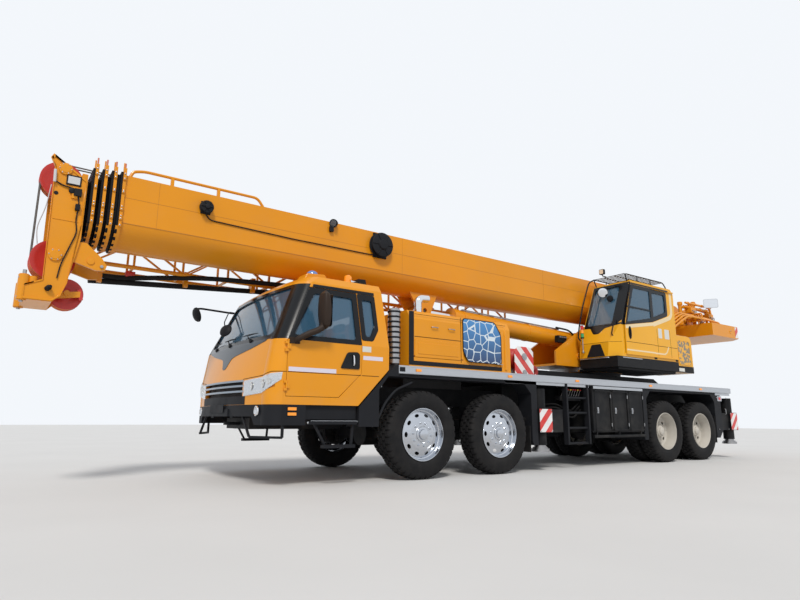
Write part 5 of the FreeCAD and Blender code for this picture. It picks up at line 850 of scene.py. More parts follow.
def bonnet_insert():
    """Dark insert under the windscreen whose lower edge falls in a V to a blunt tip in the middle."""
    insert = Shape()
    columns = np.linspace(-1.05, 1.05, 61)
    low_edge = np.interp(np.abs(columns), (0.0, 0.055, 0.1, 0.16, 0.24, 0.72, 1.05),
                         (1.43, 1.432, 1.49, 1.565, 1.59, 1.665, 1.735))
    insert.patch(cab_front, columns, low_edge, 1.757, -0.003, 0.005, rows=7)
    insert.done("bonnet_insert", BONNET_INSERT, edge=0.002)


def grille():
    """Dark floor behind the slots, three pale bars across them, and the dark strip below."""
    floor = Shape()
    columns = np.linspace(-0.735, 0.735, 25)
    floor.patch(cab_front, columns, 1.045, 1.262, -0.075, -0.055, rows=3)
    floor.patch(cab_front, np.linspace(-0.79, 0.79, 25), 0.963, 1.066, -0.003, 0.004, rows=3)
    floor.done("grille_floor", TRIM, edge=0.002)
    bars = Shape()
    for height in (1.124, 1.191, 1.253):
        bars.patch(cab_front, columns, height - 0.014, height + 0.012, -0.004, 0.012, rows=3)
    bars.done("grille_bars", PALE_BAR, edge=0.004)


def headlamps():
    """Wrapped lamp units: a ribbed chrome reflector with bowls in the shell's pocket, under a clear cover."""
    chrome, cover, inner = Shape(), Shape(), Shape()
    columns = np.concatenate([np.linspace(0.655, 1, 13), np.linspace(1.08, 1.94, 14)])
    low_edge = np.interp(columns, (0.655, 0.98, 1.25, 1.55, 1.94), (1.062, 1.092, 1.118, 1.168, 1.252))
    high_edge = np.interp(columns, (0.655, 1.0, 1.5, 1.94), (1.252, 1.282, 1.322, 1.334))
    share = np.linspace(0, 1, 9)[:, None]
    up = low_edge * (1 - share) + high_edge * share
    flat = np.stack([np.broadcast_to(columns, up.shape), up], axis=-1)
    facet = 0.003 * (np.arange(len(columns)) % 2) + 0.002 * (np.arange(9)[:, None] % 2)
    chrome.slab(cab_wrap(flat, 0.001 + facet), cab_wrap(flat, -0.011))
    cover.slab(cab_wrap(flat, 0.016), cab_wrap(flat, 0.013))
    for u, height, radius in ((0.8, 1.178, 0.05), (1.06, 1.2, 0.052), (1.42, 1.228, 0.04)):
        middle = cab_place(u, height, 0.004)
        way = unit(cab_place(u, height, 0.1) - middle)
        inner.bowl(middle, way, radius)
    mirror(chrome, cover, inner)
    chrome.done("headlamp_reflectors", CHROME)
    inner.done("headlamp_bowls", LAMP_BOWL)
    cover.done("headlamp_covers", CLEAR)


def reflective_strips():
    """Pale strips along the doors and the cab's rear corners."""
    strip, rear, plate = Shape(), Shape(), Shape()
    strip.patch(cab_side, np.linspace(1.4, 2.045, 8), 1.352, 1.404, 0.0, 0.0015, rows=2)
    rear.patch(cab_side, np.linspace(0.7, 1.005, 5), 1.548, 1.6, 0.0, 0.0015, rows=2)
    plate.patch(cab_side, np.linspace(0.885, 1.02, 4), 1.652, 1.726, 0.0, 0.0015, rows=2)
    strip.pair("door_strip", REFLECTIVE, "door")
    rear.mirrored().done("cab_rear_strips", REFLECTIVE)
    plate.done("cab_bare_plate", BARE_PLATE)


def door_handles():
    """Black trapezoid recess plates with a bright pull and a keyhole cap, and their dark hollows."""
    plate, pull = Shape(), Shape()
    edge = outline([(1.06, 1.42), (1.345, 1.42), (1.245, 1.63), (1.095, 1.64), (1.06, 1.61)], 0.03)
    hole = outline([(1.115, 1.452), (1.29, 1.452), (1.215, 1.6), (1.13, 1.604), (1.115, 1.59)], 0.02)
    plate.frame(cab_side, hole, edge, 0.0, 0.012)
    middle = hole.mean(axis=0)
    share = np.linspace(0.05, 1, 5)[:, None, None]
    dish = middle + (hole - middle) * share
    deep = np.interp(share, (0.05, 0.8, 1), (0.001, 0.002, 0.008))
    bowl = cab_side(dish, 0)
    bowl[..., 1] += deep[..., 0]
    plate.skin(bowl, caps=False).fan(bowl[0])
    y = cab_side(np.array([[1.16, 1.5]]), 0.02)[0, 1]
    pull.tube([(1.15, y - 0.012, 1.47), (1.15, y, 1.485), (1.155, y, 1.575), (1.155, y - 0.012, 1.59)], 0.011,
              bend=0.02)
    plate.pair("door_handle_plate", GLOSS_BLACK, "door", edge=0.002)
    pull.pair("door_handle", CHROME, "door")


def wipers():
    """Three wipers: an arm from its spindle under the screen to a blade that lies on the glass."""
    arms = Shape()
    for y in (-0.72, -0.08, 0.62):
        foot = cab_front(np.array([[y, 1.768]]), 0.006)[0]
        knee = cab_front(np.array([[y - 0.16, 1.85]]), 0.022)[0]
        arms.disc_on(foot, (1, 0, 0.3), [(-0.01, 0.028), (0.014, 0.026), (0.022, 0.014), (0.026, 0.004)], 12)
        arms.tube([foot + (0.012, 0, 0), knee], (0.011, 0.006), sides=8)
        blade_y = np.linspace(y - 0.36, y + 0.1, 7)
        blade = cab_front(np.column_stack([blade_y, 1.868 - 0.05 * (blade_y - y + 0.13) ** 2]), 0.014)
        arms.tube(blade, (0.005, 0.01, 0.01, 0.005), sides=6)
    arms.done("wipers", TRIM)


def mirrors():
    """The rounded left mirror housing on its thick curved arm, the right mirror's disc on its long arm, and the
    small round kerb mirror ahead of the windscreen."""
    housing, face = Shape(), Shape()
    rise = np.linspace(0, 1, 13)[:, None]
    turn = circle(28)
    power = 0.62
    swell = 0.1 + 0.9 * np.sin(rise * math.pi) ** 0.28
    across = np.sign(np.cos(turn)) * np.abs(np.cos(turn)) ** power
    along = np.sign(np.sin(turn)) * np.abs(np.sin(turn)) ** power
    x = 1.66 + 0.02 * (rise - 0.5) + 0.058 * along * swell
    y = 1.507 + 0.112 * across * (0.25 + 0.75 * swell)
    z = 1.872 + 0.476 * rise + across * 0
    housing.skin(np.stack([x, y, z], axis=-1))
    housing.tube([(1.985, 1.382, 1.712), (1.96, 1.42, 1.735), (1.86, 1.47, 1.8), (1.74, 1.5, 1.85), (1.67, 1.505, 1.9),
                  (1.662, 1.505, 1.95)], (0.03, 0.036, 0.038, 0.04, 0.045), bend=0.05)
    housing.block((1.92, 2.05), (1.3755, 1.4), (1.68, 1.758))
    housing.done("left_mirror_housing", MIRROR_BROWN, "door_left", ["left_mirror"], edge=0.006)
    glass_face = rectangle((1.415, 1.598), (1.905, 2.31), 0.04, 8)
    loop = np.column_stack([np.full(len(glass_face), 1.6), glass_face])
    face.fan(loop)
    face.done("left_mirror_face", MIRROR, "door_left")
    far, disc = Shape(), Shape()
    far.tube([(1.69, -1.199, 2.48), (1.7, -1.42, 2.488), (1.76, -1.5, 2.49), (2.28, -1.502, 2.512),
              (2.352, -1.502, 2.5), (2.356, -1.502, 2.44)], 0.016, bend=0.07)
    far.block((1.66, 1.76), (-1.235, -1.19), (2.44, 2.52))
    far.disc_on((2.33, -1.5, 2.41), (1, 0.1, -0.35), [
        (-0.004, 0.112), (0.0, 0.118), (0.02, 0.116), (0.042, 0.098), (0.058, 0.066), (0.066, 0.03),
        (0.068, 0.004)], 32)
    far.done("right_mirror_arm", TRIM, replaces=["right_mirror"])
    disc.disc_on((2.325, -1.5, 2.412), (-1, -0.1, 0.35), [(-0.004, 0.105), (0.002, 0.104), (0.004, 0.001)], 32)
    disc.done("right_mirror_face", MIRROR)
    kerb, kerb_face = Shape(), Shape()
    root = cab_front(np.array([[-1.06, 2.42]]), 0.004)[0]
    kerb.tube([root, root + (0.1, 0.03, 0.0), (2.25, -0.43, 2.15), (2.25, -0.38, 2.06)], 0.008, bend=0.05)
    kerb.disc_on((2.24, -0.36, 2.02), (0.75, 0.5, 0.35), [
        (0.0, 0.094), (0.01, 0.096), (0.03, 0.08), (0.044, 0.045), (0.048, 0.004)], 28)
    kerb.done("kerb_mirror_arm", TRIM)
    kerb_face.disc_on((2.239, -0.36, 2.019), (-0.75, -0.5, -0.35), [
        (-0.002, 0.088), (0.002, 0.087), (0.003, 0.001)], 28)
    kerb_face.done("kerb_mirror_face", MIRROR)


def roof_lamps():
    """On the roof: a blue dome on a raised pad, an amber beacon, horns, a dark dome and a thin aerial."""
    pad, dome, beacon, dark, bright = Shape(), Shape(), Shape(), Shape(), Shape()
    pad.prism("side", (0.62, 0.88), [(1.26, 2.615), (1.68, 2.6), (1.6, 2.72), (1.34, 2.735)])
    pad.done("roof_lamp_pad", BODY, edge=0.012)
    cap = [(0.0, 0.082), (0.022, 0.08), (0.044, 0.068), (0.062, 0.045), (0.071, 0.02), (0.073, 0.002)]
    dome.turned(cap, (1.47, 0.75, 2.726), "z", 28)
    dome.done("roof_blue_dome", BLUE_LENS)
    beacon.turned([(0.0, 0.058), (0.03, 0.058), (0.07, 0.056), (0.1, 0.052), (0.112, 0.04), (0.116, 0.003)],
                  (0.9, 0.75, 2.7), "z", 28)
    beacon.done("roof_beacon", AMBER)
    dark.turned([(0.0, 0.07), (0.07, 0.064), (0.082, 0.06)], (0.9, 0.75, 2.62), "z", 24)
    dark.turned([(0.0, 0.075), (0.02, 0.072), (0.045, 0.05), (0.056, 0.004)], (1.5, -0.78, 2.618), "z", 24)
    dark.prism("side", (0.66, 0.86), [(0.64, 2.62), (0.83, 2.62), (0.79, 2.76), (0.67, 2.765)])
    dark.tube([(1.64, -0.45, 2.61), (1.61, -0.45, 2.98)], (0.006, 0.0025), sides=8)
    dark.done("roof_horn_box", TRIM, edge=0.006)
    bright.disc_on((0.8, 0.715, 2.715), (1, 0, 0), [(0, 0.018), (0.05, 0.02), (0.09, 0.034), (0.088, 0.028),
                                                    (0.02, 0.006)], 20)
    bright.disc_on((0.8, 0.805, 2.715), (1, 0, 0), [(0, 0.018), (0.06, 0.02), (0.1, 0.034), (0.098, 0.028),
                                                    (0.02, 0.006)], 20)
    bright.done("roof_horns", CHROME)


def bumper_details():
    """Fog lamps with chrome rims, side marker lamps, a blank plate, bolts and the bright edges of the steps."""
    rim, glass_piece, markers, plate, edge_strip, pads = Shape(), Shape(), Shape(), Shape(), Shape(), Shape()
    middle = cab_place(0.93, 0.885, 0.004)
    way = unit(cab_place(0.93, 0.885, 0.1) - middle)
    rim.disc_on(middle, way, [(0.0, 0.062), (0.012, 0.06), (0.014, 0.052), (0.006, 0.046), (0.002, 0.01)], 28)
    glass_piece.disc_on(middle + way * 0.006, way, [(0.0, 0.048), (0.008, 0.04), (0.011, 0.02), (0.012, 0.002)], 24)
    for height in (0.91, 0.85):
        markers.block((1.925, 2.035), (1.3755, 1.388), (height - 0.018, height + 0.018))
        pads.block((1.915, 2.045), (1.374, 1.379), (height - 0.025, height + 0.025))
    edge_strip.block((0.955, 1.715), (1.338, 1.356), (0.757, 0.776))
    edge_strip.block((1.1, 1.5), (1.338, 1.356), (0.47, 0.484))
    for x in (0.915, 1.75):
        edge_strip.disc_on((x, 1.35, 0.75), (0, 1, 0), [(0, 0.016), (0.008, 0.015), (0.012, 0.008)], 12)
    mirror(rim, glass_piece, markers, edge_strip, pads)
    rim.done("fog_lamp_rims", CHROME)
    glass_piece.done("fog_lamp_glass", CLEAR)
    markers.done("bumper_side_markers", AMBER, edge=0.004)
    pads.done("bumper_marker_seats", TRIM, edge=0.002)
    edge_strip.done("step_bright_edges", RAIL, edge=0.003)
    plate.block((2.4165, 2.4215), (-0.26, 0.26), (0.865, 0.965))
    plate.done("number_plate_holder", TRIM, edge=0.002)


for build in (cab_trim, cab_seams, bonnet_insert, grille, headlamps, reflective_strips, door_handles, wipers, mirrors,
              roof_lamps, bumper_details):
    build()


# ---- boom, head and jib

BOOM_SLIDE = 0.04
BOOM_PARTS = ["boom_base", "boom_section_2", "boom_section_3", "boom_section_4", "boom_head_section"]
COLLAR_START = 3.85
COLLAR_STEP = 0.1
COLLAR_DEEP = 0.06
HEAD_OUT = 0.325


def boom_ring(index, grow, count=11):
    """A boom part's outline seen from the front: straight sides over a keel that is the arc through its two
    shoulders and its lowest place, all drawn out by grow."""
    half = 0.35 - BOOM_SLIDE * index + grow
    top = 3.72 - BOOM_SLIDE * index + grow
    low = 2.83 + BOOM_SLIDE * index - grow
    shoulder = low + 0.28 - BOOM_SLIDE * index * 0.5
    centre, radius = circle_through([(half, shoulder), (0, low), (-half, shoulder)])
    end = math.atan2(shoulder - centre[1], half)
    turn = np.linspace(-math.pi - end, end, count)
    keel = centre + radius * np.column_stack([np.cos(turn), np.sin(turn)])
    return np.vstack([[(half, top), (-half, top)], keel])


def ring_slab(shape, ring, start, end):
    """A closed ring outline carried along the boom."""
    grid = [np.column_stack([np.full(len(ring), x), ring]) for x in (start, end)]
    return shape.skin(np.array(grid), caps=True)


def collar_details():
    """Black sleeves between the collars, and on each collar its wear-pad blocks, bolts and guide pins."""
    for index, body in enumerate(BOOM_PARTS[:-1]):
        start = COLLAR_START + COLLAR_STEP * index
        sleeve = Shape()
        ring_slab(sleeve, boom_ring(index + 1, 0.034 - 0.004 * index), start + COLLAR_DEEP + 0.001,
                  start + COLLAR_STEP - 0.001)
        sleeve.done(f"boom_sleeve_{index + 2}", SLEEVE, BOOM_PARTS[index + 1], edge=0.004)
        band = Shape()
        ring_slab(band, boom_ring(index, 0.027 + 0.032 * index), start + 0.034, start + COLLAR_DEEP + 0.001)
        band.done(f"collar_band_{index + 1}", SLEEVE, body, edge=0.003)
        blocks, bolts, pins = Shape(), Shape(), Shape()
        middle = start + 0.018
        half = 0.35 - BOOM_SLIDE * index + 0.025 + 0.032 * index
        for low, high, out in ((3.64, 3.74, 0.016), (3.47, 3.52, 0.014), (3.25, 3.32, 0.014),
                               (3.13, 3.2, 0.014), (3.045, 3.085, 0.01)):
            edge = min(half + out, 0.405)
            blocks.block((start + 0.001, start + 0.035), (half * 0.93, edge), (low, high))
            for height in (low + 0.018, high - 0.018):
                bolts.bolt((middle, edge, height), (0, 1, 0))
        blocks.block((start + 0.002, start + 0.034), (0.1, 0.3), (3.735, 3.762))
        blocks.block((start + 0.001, start + 0.035), ((half - 0.03), (half + 0.012)),
                     (3.735 - 0.01 * index, 3.8 - 0.006 * index))
        mirror(blocks, bolts)
        pins.tube([(middle, half - 0.02, 3.7), (middle, half - 0.02, 3.866)], 0.01, sides=8)
        blocks.done(f"collar_blocks_{index + 1}", BOOM, body, edge=0.003)
        bolts.done(f"collar_bolts_{index + 1}", STEEL, body)
        pins.done(f"collar_pin_{index + 1}", PIN_RED, body)


def sheave_skin(shape, ahead, across, height, radius):
    """A sheave: rims, a V-shaped rope groove, dished cheeks and a hub, turned about its pin."""
    half = np.array([(0.03, 0.031), (0.034, 0.062), (0.03, 0.07), (0.03, radius - 0.06), (0.034, radius - 0.05),
                     (0.034, radius + 0.002), (0.026, radius + 0.0035), (0.006, radius - 0.024)])
    shape.turned(np.vstack([half * (-1, 1), half[::-1]]), (ahead, across, height), "y", 56)


def head_details():
    """Dark red sheaves, pin bosses, plate edges, boxes, hoses, ropes and the pins of the jib's foot."""
    red, yellow, dark, pale, rope, steel = (Shape() for _ in range(6))
    for ahead, height, radius, places in ((4.49, 3.64, 0.23, (-0.184, -0.104)),
                                          (4.485, 2.6, 0.23, (-0.2, -0.12, -0.04, 0.04)),
                                          (4.31, 2.21, 0.18, (-0.04, 0.04))):
        for across in places:
            sheave_skin(red, ahead, across, min(height, 3.6365), radius)
    for sign in (1, -1):
        for ahead, height in ((4.49, 3.64), (4.485, 2.6)):
            yellow.disc_on((ahead, HEAD_OUT * sign, height), (0, sign, 0), [
                (0.0, 0.072), (0.018, 0.07), (0.02, 0.052), (0.024, 0.05), (0.025, 0.034), (0.0245, 0.004)], 28)
            for place in ring_places((ahead, (HEAD_OUT + 0.018) * sign, height), 0.061, 6, "y"):
                steel.disc_on(place, (0, sign, 0), [(0, 0.007), (0.005, 0.007), (0.006, 0.004)], 6)
        rim = np.array([(4.262, 3.552), (4.612, 3.79), (4.64, 3.752), (4.59, 3.655), (4.568, 2.29), (4.74, 2.214),
                        (4.74, 2.068), (4.466, 2.068), (4.386, 2.132), (4.334, 2.29), (4.262, 2.985)])
        inner = rim + (rim.mean(axis=0) - rim) * 0.03
        for near, far in zip(range(len(rim)), np.roll(range(len(rim)), -1)):
            edge = [(rim[near][0], 0, rim[near][1]), (rim[far][0], 0, rim[far][1]), (inner[far][0], 0, inner[far][1]),
                    (inner[near][0], 0, inner[near][1])]
            yellow.plate(np.array(edge) + (0, HEAD_OUT * sign, 0), 0.01 * sign, (0, 1, 0))
        yellow.block((4.3, 4.56), (HEAD_OUT * sign, (HEAD_OUT + 0.006) * sign), (3.02, 3.032))
        yellow.tube([(4.66, 0.268 * sign, 2.14), (4.66, 0.268 * sign, 2.33)], 0.045, sides=20)
        yellow.tube([(4.745, 0.275 * sign, 2.05), (4.745, 0.275 * sign, 2.345)], 0.048, sides=20)
        steel.tube([(4.745, 0.275 * sign, 2.035), (4.745, 0.275 * sign, 2.395)], 0.02, sides=12)
        steel.tube([(4.735, 0.275 * sign, 2.085), (4.795, 0.3 * sign, 2.085)], 0.01, sides=8)
        steel.tube([(4.735, 0.275 * sign, 2.3), (4.795, 0.3 * sign, 2.3)], 0.01, sides=8)
        yellow.prism("side", (0.262 * sign, 0.3 * sign), [
            (4.3, 2.8), (4.3, 2.56), (4.06, 2.49), (3.96, 2.5), (3.945, 2.56), (4.0, 2.64), (4.18, 2.8)])
        yellow.disc_on((4.12, 0.3 * sign, 2.59), (0, sign, 0), [(0, 0.042), (0.012, 0.04), (0.014, 0.004)], 20)
        steel.disc_on((4.0, 0.3 * sign, 2.54), (0, sign, 0), [(0, 0.02), (0.02, 0.018), (0.022, 0.004)], 12)
    pale.block((4.33, 4.455), (HEAD_OUT, HEAD_OUT + 0.022), (3.47, 3.56))
    dark.block((4.315, 4.47), (HEAD_OUT, HEAD_OUT + 0.012), (3.455, 3.58))
    pale.tube([(4.585, HEAD_OUT + 0.03, 3.45), (4.592, HEAD_OUT + 0.03, 3.6)], 0.016, sides=12)
    dark.disc_on((4.555, HEAD_OUT, 3.33), (0, 1, 0), [(0, 0.024), (0.006, 0.022), (0.007, 0.004)], 16)
    dark.tube([(4.58, HEAD_OUT + 0.014, 3.47), (4.5, HEAD_OUT + 0.014, 3.43), (4.4, HEAD_OUT + 0.014, 3.42),
               (4.35, HEAD_OUT + 0.02, 3.36)], 0.008, bend=0.04)
    dark.block((4.3, 4.38), (HEAD_OUT, HEAD_OUT + 0.04), (3.33, 3.42))
    dark.disc_on((4.4, HEAD_OUT, 3.39), (0, 1, 0), [(0, 0.036), (0.026, 0.034), (0.03, 0.02), (0.032, 0.003)], 18)
    dark.tube([(4.33, HEAD_OUT + 0.016, 3.33), (4.31, HEAD_OUT + 0.016, 3.2), (4.33, HEAD_OUT + 0.016, 3.05),
               (4.3, HEAD_OUT + 0.014, 2.9), (4.42, HEAD_OUT + 0.014, 2.5), (4.44, HEAD_OUT + 0.014,
                                                                             2.33)], 0.007, bend=0.06)
    dark.block((4.3, 4.35), (HEAD_OUT, HEAD_OUT + 0.045), (3.16, 3.23))
    dark.disc_on((4.52, HEAD_OUT, 2.2), (-0.4, 1, 0.3), [(0, 0.03), (0.05, 0.03), (0.054, 0.02), (0.08, 0.018),
                                                         (0.082, 0.003)], 16)
    yellow.block((4.34, 4.4), (HEAD_OUT, HEAD_OUT + 0.02), (3.3, 3.44))
    for across in (-0.184, -0.104):
        rope.rope((4.49 + 0.216, across, 3.64), (4.485 + 0.216, across, 2.6))
    pale.tube([(4.6, 0.1, 3.5), (4.625, 0.12, 3.2), (4.69, 0.1, 2.95), (4.66, 0.08, 2.76)], 0.006, bend=0.15)
    dark.block((4.29, 4.345), (-0.26, -0.1), (2.395, 2.43))
    for sign in (1, -1):
        red.prism("side", (0.105 * sign, 0.152 * sign), [(4.135, 2.15), (4.175, 2.14), (4.205, 2.26), (4.165, 2.275)])
    body = "boom_head_section"
    red.done("head_sheaves", SHEAVE, body, crease=24)
    yellow.done("head_plate_edges", BOOM, body, edge=0.003)
    dark.done("head_connectors", TRIM, body, edge=0.003)
    pale.done("head_boxes", PLATE_BLANK, body, edge=0.003)
    rope.done("head_ropes", ROPE, body)
    steel.done("head_pins", STEEL, body)


def reel(shape, ahead, height, radius, deep):
    """A cable reel on the boom's side: two rims round a ribbed drum, with a hub."""
    foot = 0.352
    shape.disc_on((ahead, foot, height), (0, 1, 0), [
        (0.0, radius * 0.6), (0.02, radius * 0.98), (0.03, radius), (0.036, radius * 0.98), (0.04, radius * 0.78),
        (deep - 0.02, radius * 0.76), (deep - 0.016, radius * 0.94), (deep - 0.006, radius * 0.96),
        (deep, radius * 0.9), (deep + 0.002, radius * 0.42), (deep + 0.022, radius * 0.36),
        (deep + 0.026, radius * 0.2), (deep + 0.027, 0.003)], 36)
    for turn in circle(6):
        way = np.array((math.cos(turn), 0, math.sin(turn)))
        near, far = way * radius * 0.4, way * radius * 0.9
        base = np.array((ahead, foot + deep + 0.004, height))
        shape.tube([base + near, base + far], 0.009, sides=6)


def boom_details():
    """Guard bar over the boom's edge, reels and lamps on its side, weld lines, rope guides and hoses."""
    bar, dark, seam, rope, lens, hose, red = (Shape() for _ in range(7))
    seam.block((-7.85, 3.845), (0.3485, 0.3515), (3.432, 3.436))
    seam.block((-7.85, 3.845), (0.3485, 0.3525), (3.106, 3.114))
    for x in (3.45, -0.35, -3.8):
        seam.block((x - 0.0015, x + 0.0015), (0.3485, 0.3515), (3.114, 3.715))
    bar.block((-7.1, -5.3), (0.35, 0.356), (2.98, 3.66))
    for height in (3.03, 3.61):
        bar.block((-7.06, -5.34), (0.356, 0.361), (height - 0.008, height + 0.008))
    mirror(seam, bar)
    bar.tube([(3.8, 0.318, 3.722), (3.77, 0.318, 3.8), (3.64, 0.318, 3.835), (2.15, 0.318, 3.835),
              (2.06, 0.318, 3.722)], 0.02, bend=0.06, sides=8)
    for x in (3.3, 2.7):
        bar.block((x - 0.02, x + 0.02), (0.3, 0.336), (3.718, 3.83))
    for x in (2.3, 1.2, -0.6, -2.6, -4.6):
        bar.block((x - 0.06, x + 0.06), (-0.22, -0.04), (3.718, 3.76))
        for y in (-0.2, -0.06):
            bar.disc_on((x - 0.0, y, 3.795), (0, 1, 0), [(-0.012, 0.02), (-0.012, 0.045), (0.012, 0.045),
                                                         (0.012, 0.02)], 16)
    reel(dark, 2.865, 3.513, 0.09, 0.09)
    reel(dark, 0.105, 3.5, 0.205, 0.11)
    dark.block((2.8, 2.93), (0.35, 0.372), (3.43, 3.6))
    dark.block((-0.02, 0.23), (0.35, 0.372), (3.3, 3.7))
    dark.tube([(2.865, 0.362, 3.44), (2.8, 0.362, 3.36), (1.6, 0.362, 3.33), (0.3, 0.362, 3.33), (0.105, 0.365, 3.34)],
              0.008, bend=0.06)
    dark.block((0.96, 1.02), (0.352, 0.4), (3.56, 3.64))
    dark.disc_on((0.965, 0.4, 3.69), (0.75, 0.55, -0.3), [
        (-0.07, 0.02), (-0.06, 0.045), (-0.01, 0.062), (0.022, 0.066), (0.024, 0.058), (0.01, 0.05)], 24)
    lens.disc_on((0.965, 0.4, 3.69) + np.array((0.75, 0.55, -0.3)) * 0.012, (0.75, 0.55, -0.3),
                 [(-0.02, 0.05), (0.01, 0.05), (0.016, 0.03), (0.018, 0.003)], 24)
    for across in (-0.184, -0.104):
        rope.rope((4.43, across, 3.858), (-7.9, across, 3.775), 0.01)
    hose.tube([(4.0, -0.62, 2.64), (3.6, -0.6, 2.64), (3.1, -0.5, 2.7), (2.5, -0.3, 2.74), (1.6, -0.22, 2.77),
               (0.2, -0.2, 2.795)], 0.034, bend=0.35, sides=12)
    hose.tube([(4.02, -0.64, 2.56), (1.55, -0.64, 2.725), (0.9, -0.56, 2.76)], 0.038, bend=0.2, sides=12)
    for x, z in ((3.9, 2.6), (2.8, 2.68), (1.8, 2.735)):
        bar.block((x - 0.03, x + 0.03), (-0.68, -0.55), (z - 0.06, z + 0.16))
    red.block((3.47, 3.59), (-0.66, -0.56), (2.65, 2.74))
    bar.done("boom_guards", BOOM, "boom_base", edge=0.003)
    dark.done("boom_reels", TRIM, "boom_base", edge=0.003)
    seam.done("boom_weld_lines", BOOM_SEAM, "boom_base")
    rope.done("boom_ropes", ROPE, "boom_base")
    lens.done("boom_work_lamp_lens", CLEAR, "boom_base")
    hose.done("jib_hoses", RUBBER, "boom_base")
    red.done("jib_lock_box", SHEAVE, "boom_base", edge=0.006)


def cylinder_details():
    """Hoses, a valve block and clamps on the luffing cylinder's barrel, and the gland ring round its rod."""
    ends = np.array([(-5.2, 0, 2.43), (-0.95, 0, 2.6)])
    way = unit(ends[1] - ends[0])
    up = np.array((-way[2], 0, way[0]))
    barrel_part, dark, steel = Shape(), Shape(), Shape()

    def at(distance, across=0.0, lift=0.0):
        return ends[0] + way * distance + up * lift + np.array((0, across, 0))

    for distance in (0.75, 1.6, 2.55, 3.3):
        barrel_part.disc_on(at(distance), way, [(-0.02, 0.168), (-0.02, 0.178), (0.02, 0.178), (0.02, 0.168)], 36)
    barrel_part.disc_on(at(3.4), way, [(0, 0.15), (0, 0.182), (0.09, 0.182), (0.1, 0.172), (0.14, 0.168),
                                       (0.145, 0.112)], 40)
    steel.tube([at(0.7, 0.1, 0.165), at(3.35, 0.1, 0.165)], 0.014, sides=8)
    dark.tube([at(0.8, 0.12, 0.19), at(0.45, 0.165, 0.175), at(0.15, 0.18, -0.02), at(-0.1, 0.185, -0.1)], 0.018,
              bend=0.1)
    mirror(steel, dark)
    dark.block((-4.56, -4.3), (0.165, 0.25), (2.33, 2.47))
    for offset in (0.03, 0.09, 0.15, 0.21):
        steel.disc_on((-4.56 + offset, 0.25, 2.43), (0, 1, 0.2), [(0, 0.018), (0.02, 0.018), (0.03, 0.01),
                                                                  (0.032, 0.002)], 6)
    barrel_part.done("luffing_clamps", BOOM, "luffing_barrel", edge=0.002)
    dark.done("luffing_hoses", RUBBER, "luffing_barrel")
    steel.done("luffing_pipes", STEEL, "luffing_barrel")


for build in (collar_details, head_details, boom_details, cylinder_details):
    build()


# ---- carrier: engine hood, deck, lockers, fenders and outriggers

def engine_hood_details():
    """Cell panel, blind recess, black base strip, front trim, rounded rear edge, handles and hinges."""
    cells, dark, yellow, seam, steel = (Shape() for _ in range(5))
    edge = outline([(-1.585, 1.65), (-0.9, 1.65), (-0.8, 1.8), (-0.8, 2.29), (-1.45, 2.29), (-1.585, 2.1)], 0.05)
    side = flat_side(1.3)
    cells.fan(side(edge, 0.006)).skin(np.stack([side(edge, 0.006), side(edge, -0.002)]), caps=False)
    rim = edge + (edge - edge.mean(axis=0)) * 0.035
    dark.frame(side, edge, rim, -0.002, 0.01)
    dark.block((-1.6, 0.215), (1.299, 1.306), (1.54, 1.6))
    dark.block((0.13, 0.214), (1.299, 1.307), (1.56, 2.3))
    yellow.block((-0.74, 0.11), (1.299, 1.308), (1.655, 1.905))
    yellow.block((-0.69, 0.06), (1.306, 1.314), (1.7, 1.86))
    seam.block((-0.752, 0.118), (1.2995, 1.302), (1.94, 1.948))
    seam.block((-0.758, -0.75), (1.2995, 1.302), (1.62, 2.3))
    seam.block((-1.7, 0.118), (1.2995, 1.302), (2.262, 2.268))
    yellow.tube([(-1.69, 1.302, 1.56), (-1.69, 1.302, 2.15), (-1.69, 1.24, 2.318), (-1.69, 1.05, 2.322)], 0.022,
                bend=0.16, sides=10)
    for x, z in ((-0.3, 2.1), (-0.62, 2.1), (-1.6, 1.64)):
        steel.tube([(x, 1.303, z), (x, 1.328, z), (x + 0.11, 1.328, z), (x + 0.11, 1.303, z)], 0.007, bend=0.02,
                   sides=8)
    mirror(cells, dark, yellow, seam, steel)
    for y in np.linspace(-0.66, 0.66, 12):
        seam.block((-1.62, -0.9), (y - 0.02, y + 0.02), (2.319, 2.3225))
    for x in (-0.6, 0.05):
        yellow.block((x - 0.02, x + 0.02), (-0.9, 0.9), (2.318, 2.332))
    cells.done("hood_cell_panels", CELLS)
    dark.done("hood_black_trim", TRIM, edge=0.002)
    yellow.done("hood_raised_panels", BODY, edge=0.006)
    seam.done("hood_seams", SEAM)
    steel.done("hood_handles", STEEL)


def exhaust_details():
    """Ribbed silencer stacks in front of the hood, and the bent chrome outlet."""
    can, rib, pipe = Shape(), Shape(), Shape()
    heights = np.linspace(1.62, 2.27, 10)
    can.turned([(1.545, 0.06), (1.55, 0.086), (2.3, 0.086), (2.318, 0.07), (2.32, 0.02)], (0.4, 1.2, 0.0), "z", 36)
    for height in heights:
        rib.turned([(height - 0.014, 0.085), (height - 0.012, 0.092), (height + 0.012, 0.092),
                    (height + 0.014, 0.085)], (0.4, 1.2, 0.0), "z", 36)
    pipe.tube([(-0.25, 0.9, 2.3), (-0.25, 0.9, 2.56), (-0.3, 0.9, 2.605), (-0.44, 0.9, 2.612)], 0.058, bend=0.1,
              sides=28)
    pipe.turned([(2.3, 0.058), (2.302, 0.088), (2.318, 0.088), (2.322, 0.06)], (-0.25, 0.9, 0.0), "z", 28)
    inner = Shape()
    inner.disc_on((-0.4405, 0.9, 2.612), (-1, 0, 0), [(0.0, 0.052), (0.0008, 0.05), (0.001, 0.002)], 28)
    can.done("silencer_can", STEEL, replaces=["exhaust"])
    rib.done("silencer_ribs", TRIM)
    pipe.done("exhaust_outlet", CHROME)
    inner.done("exhaust_mouth", FRAME)


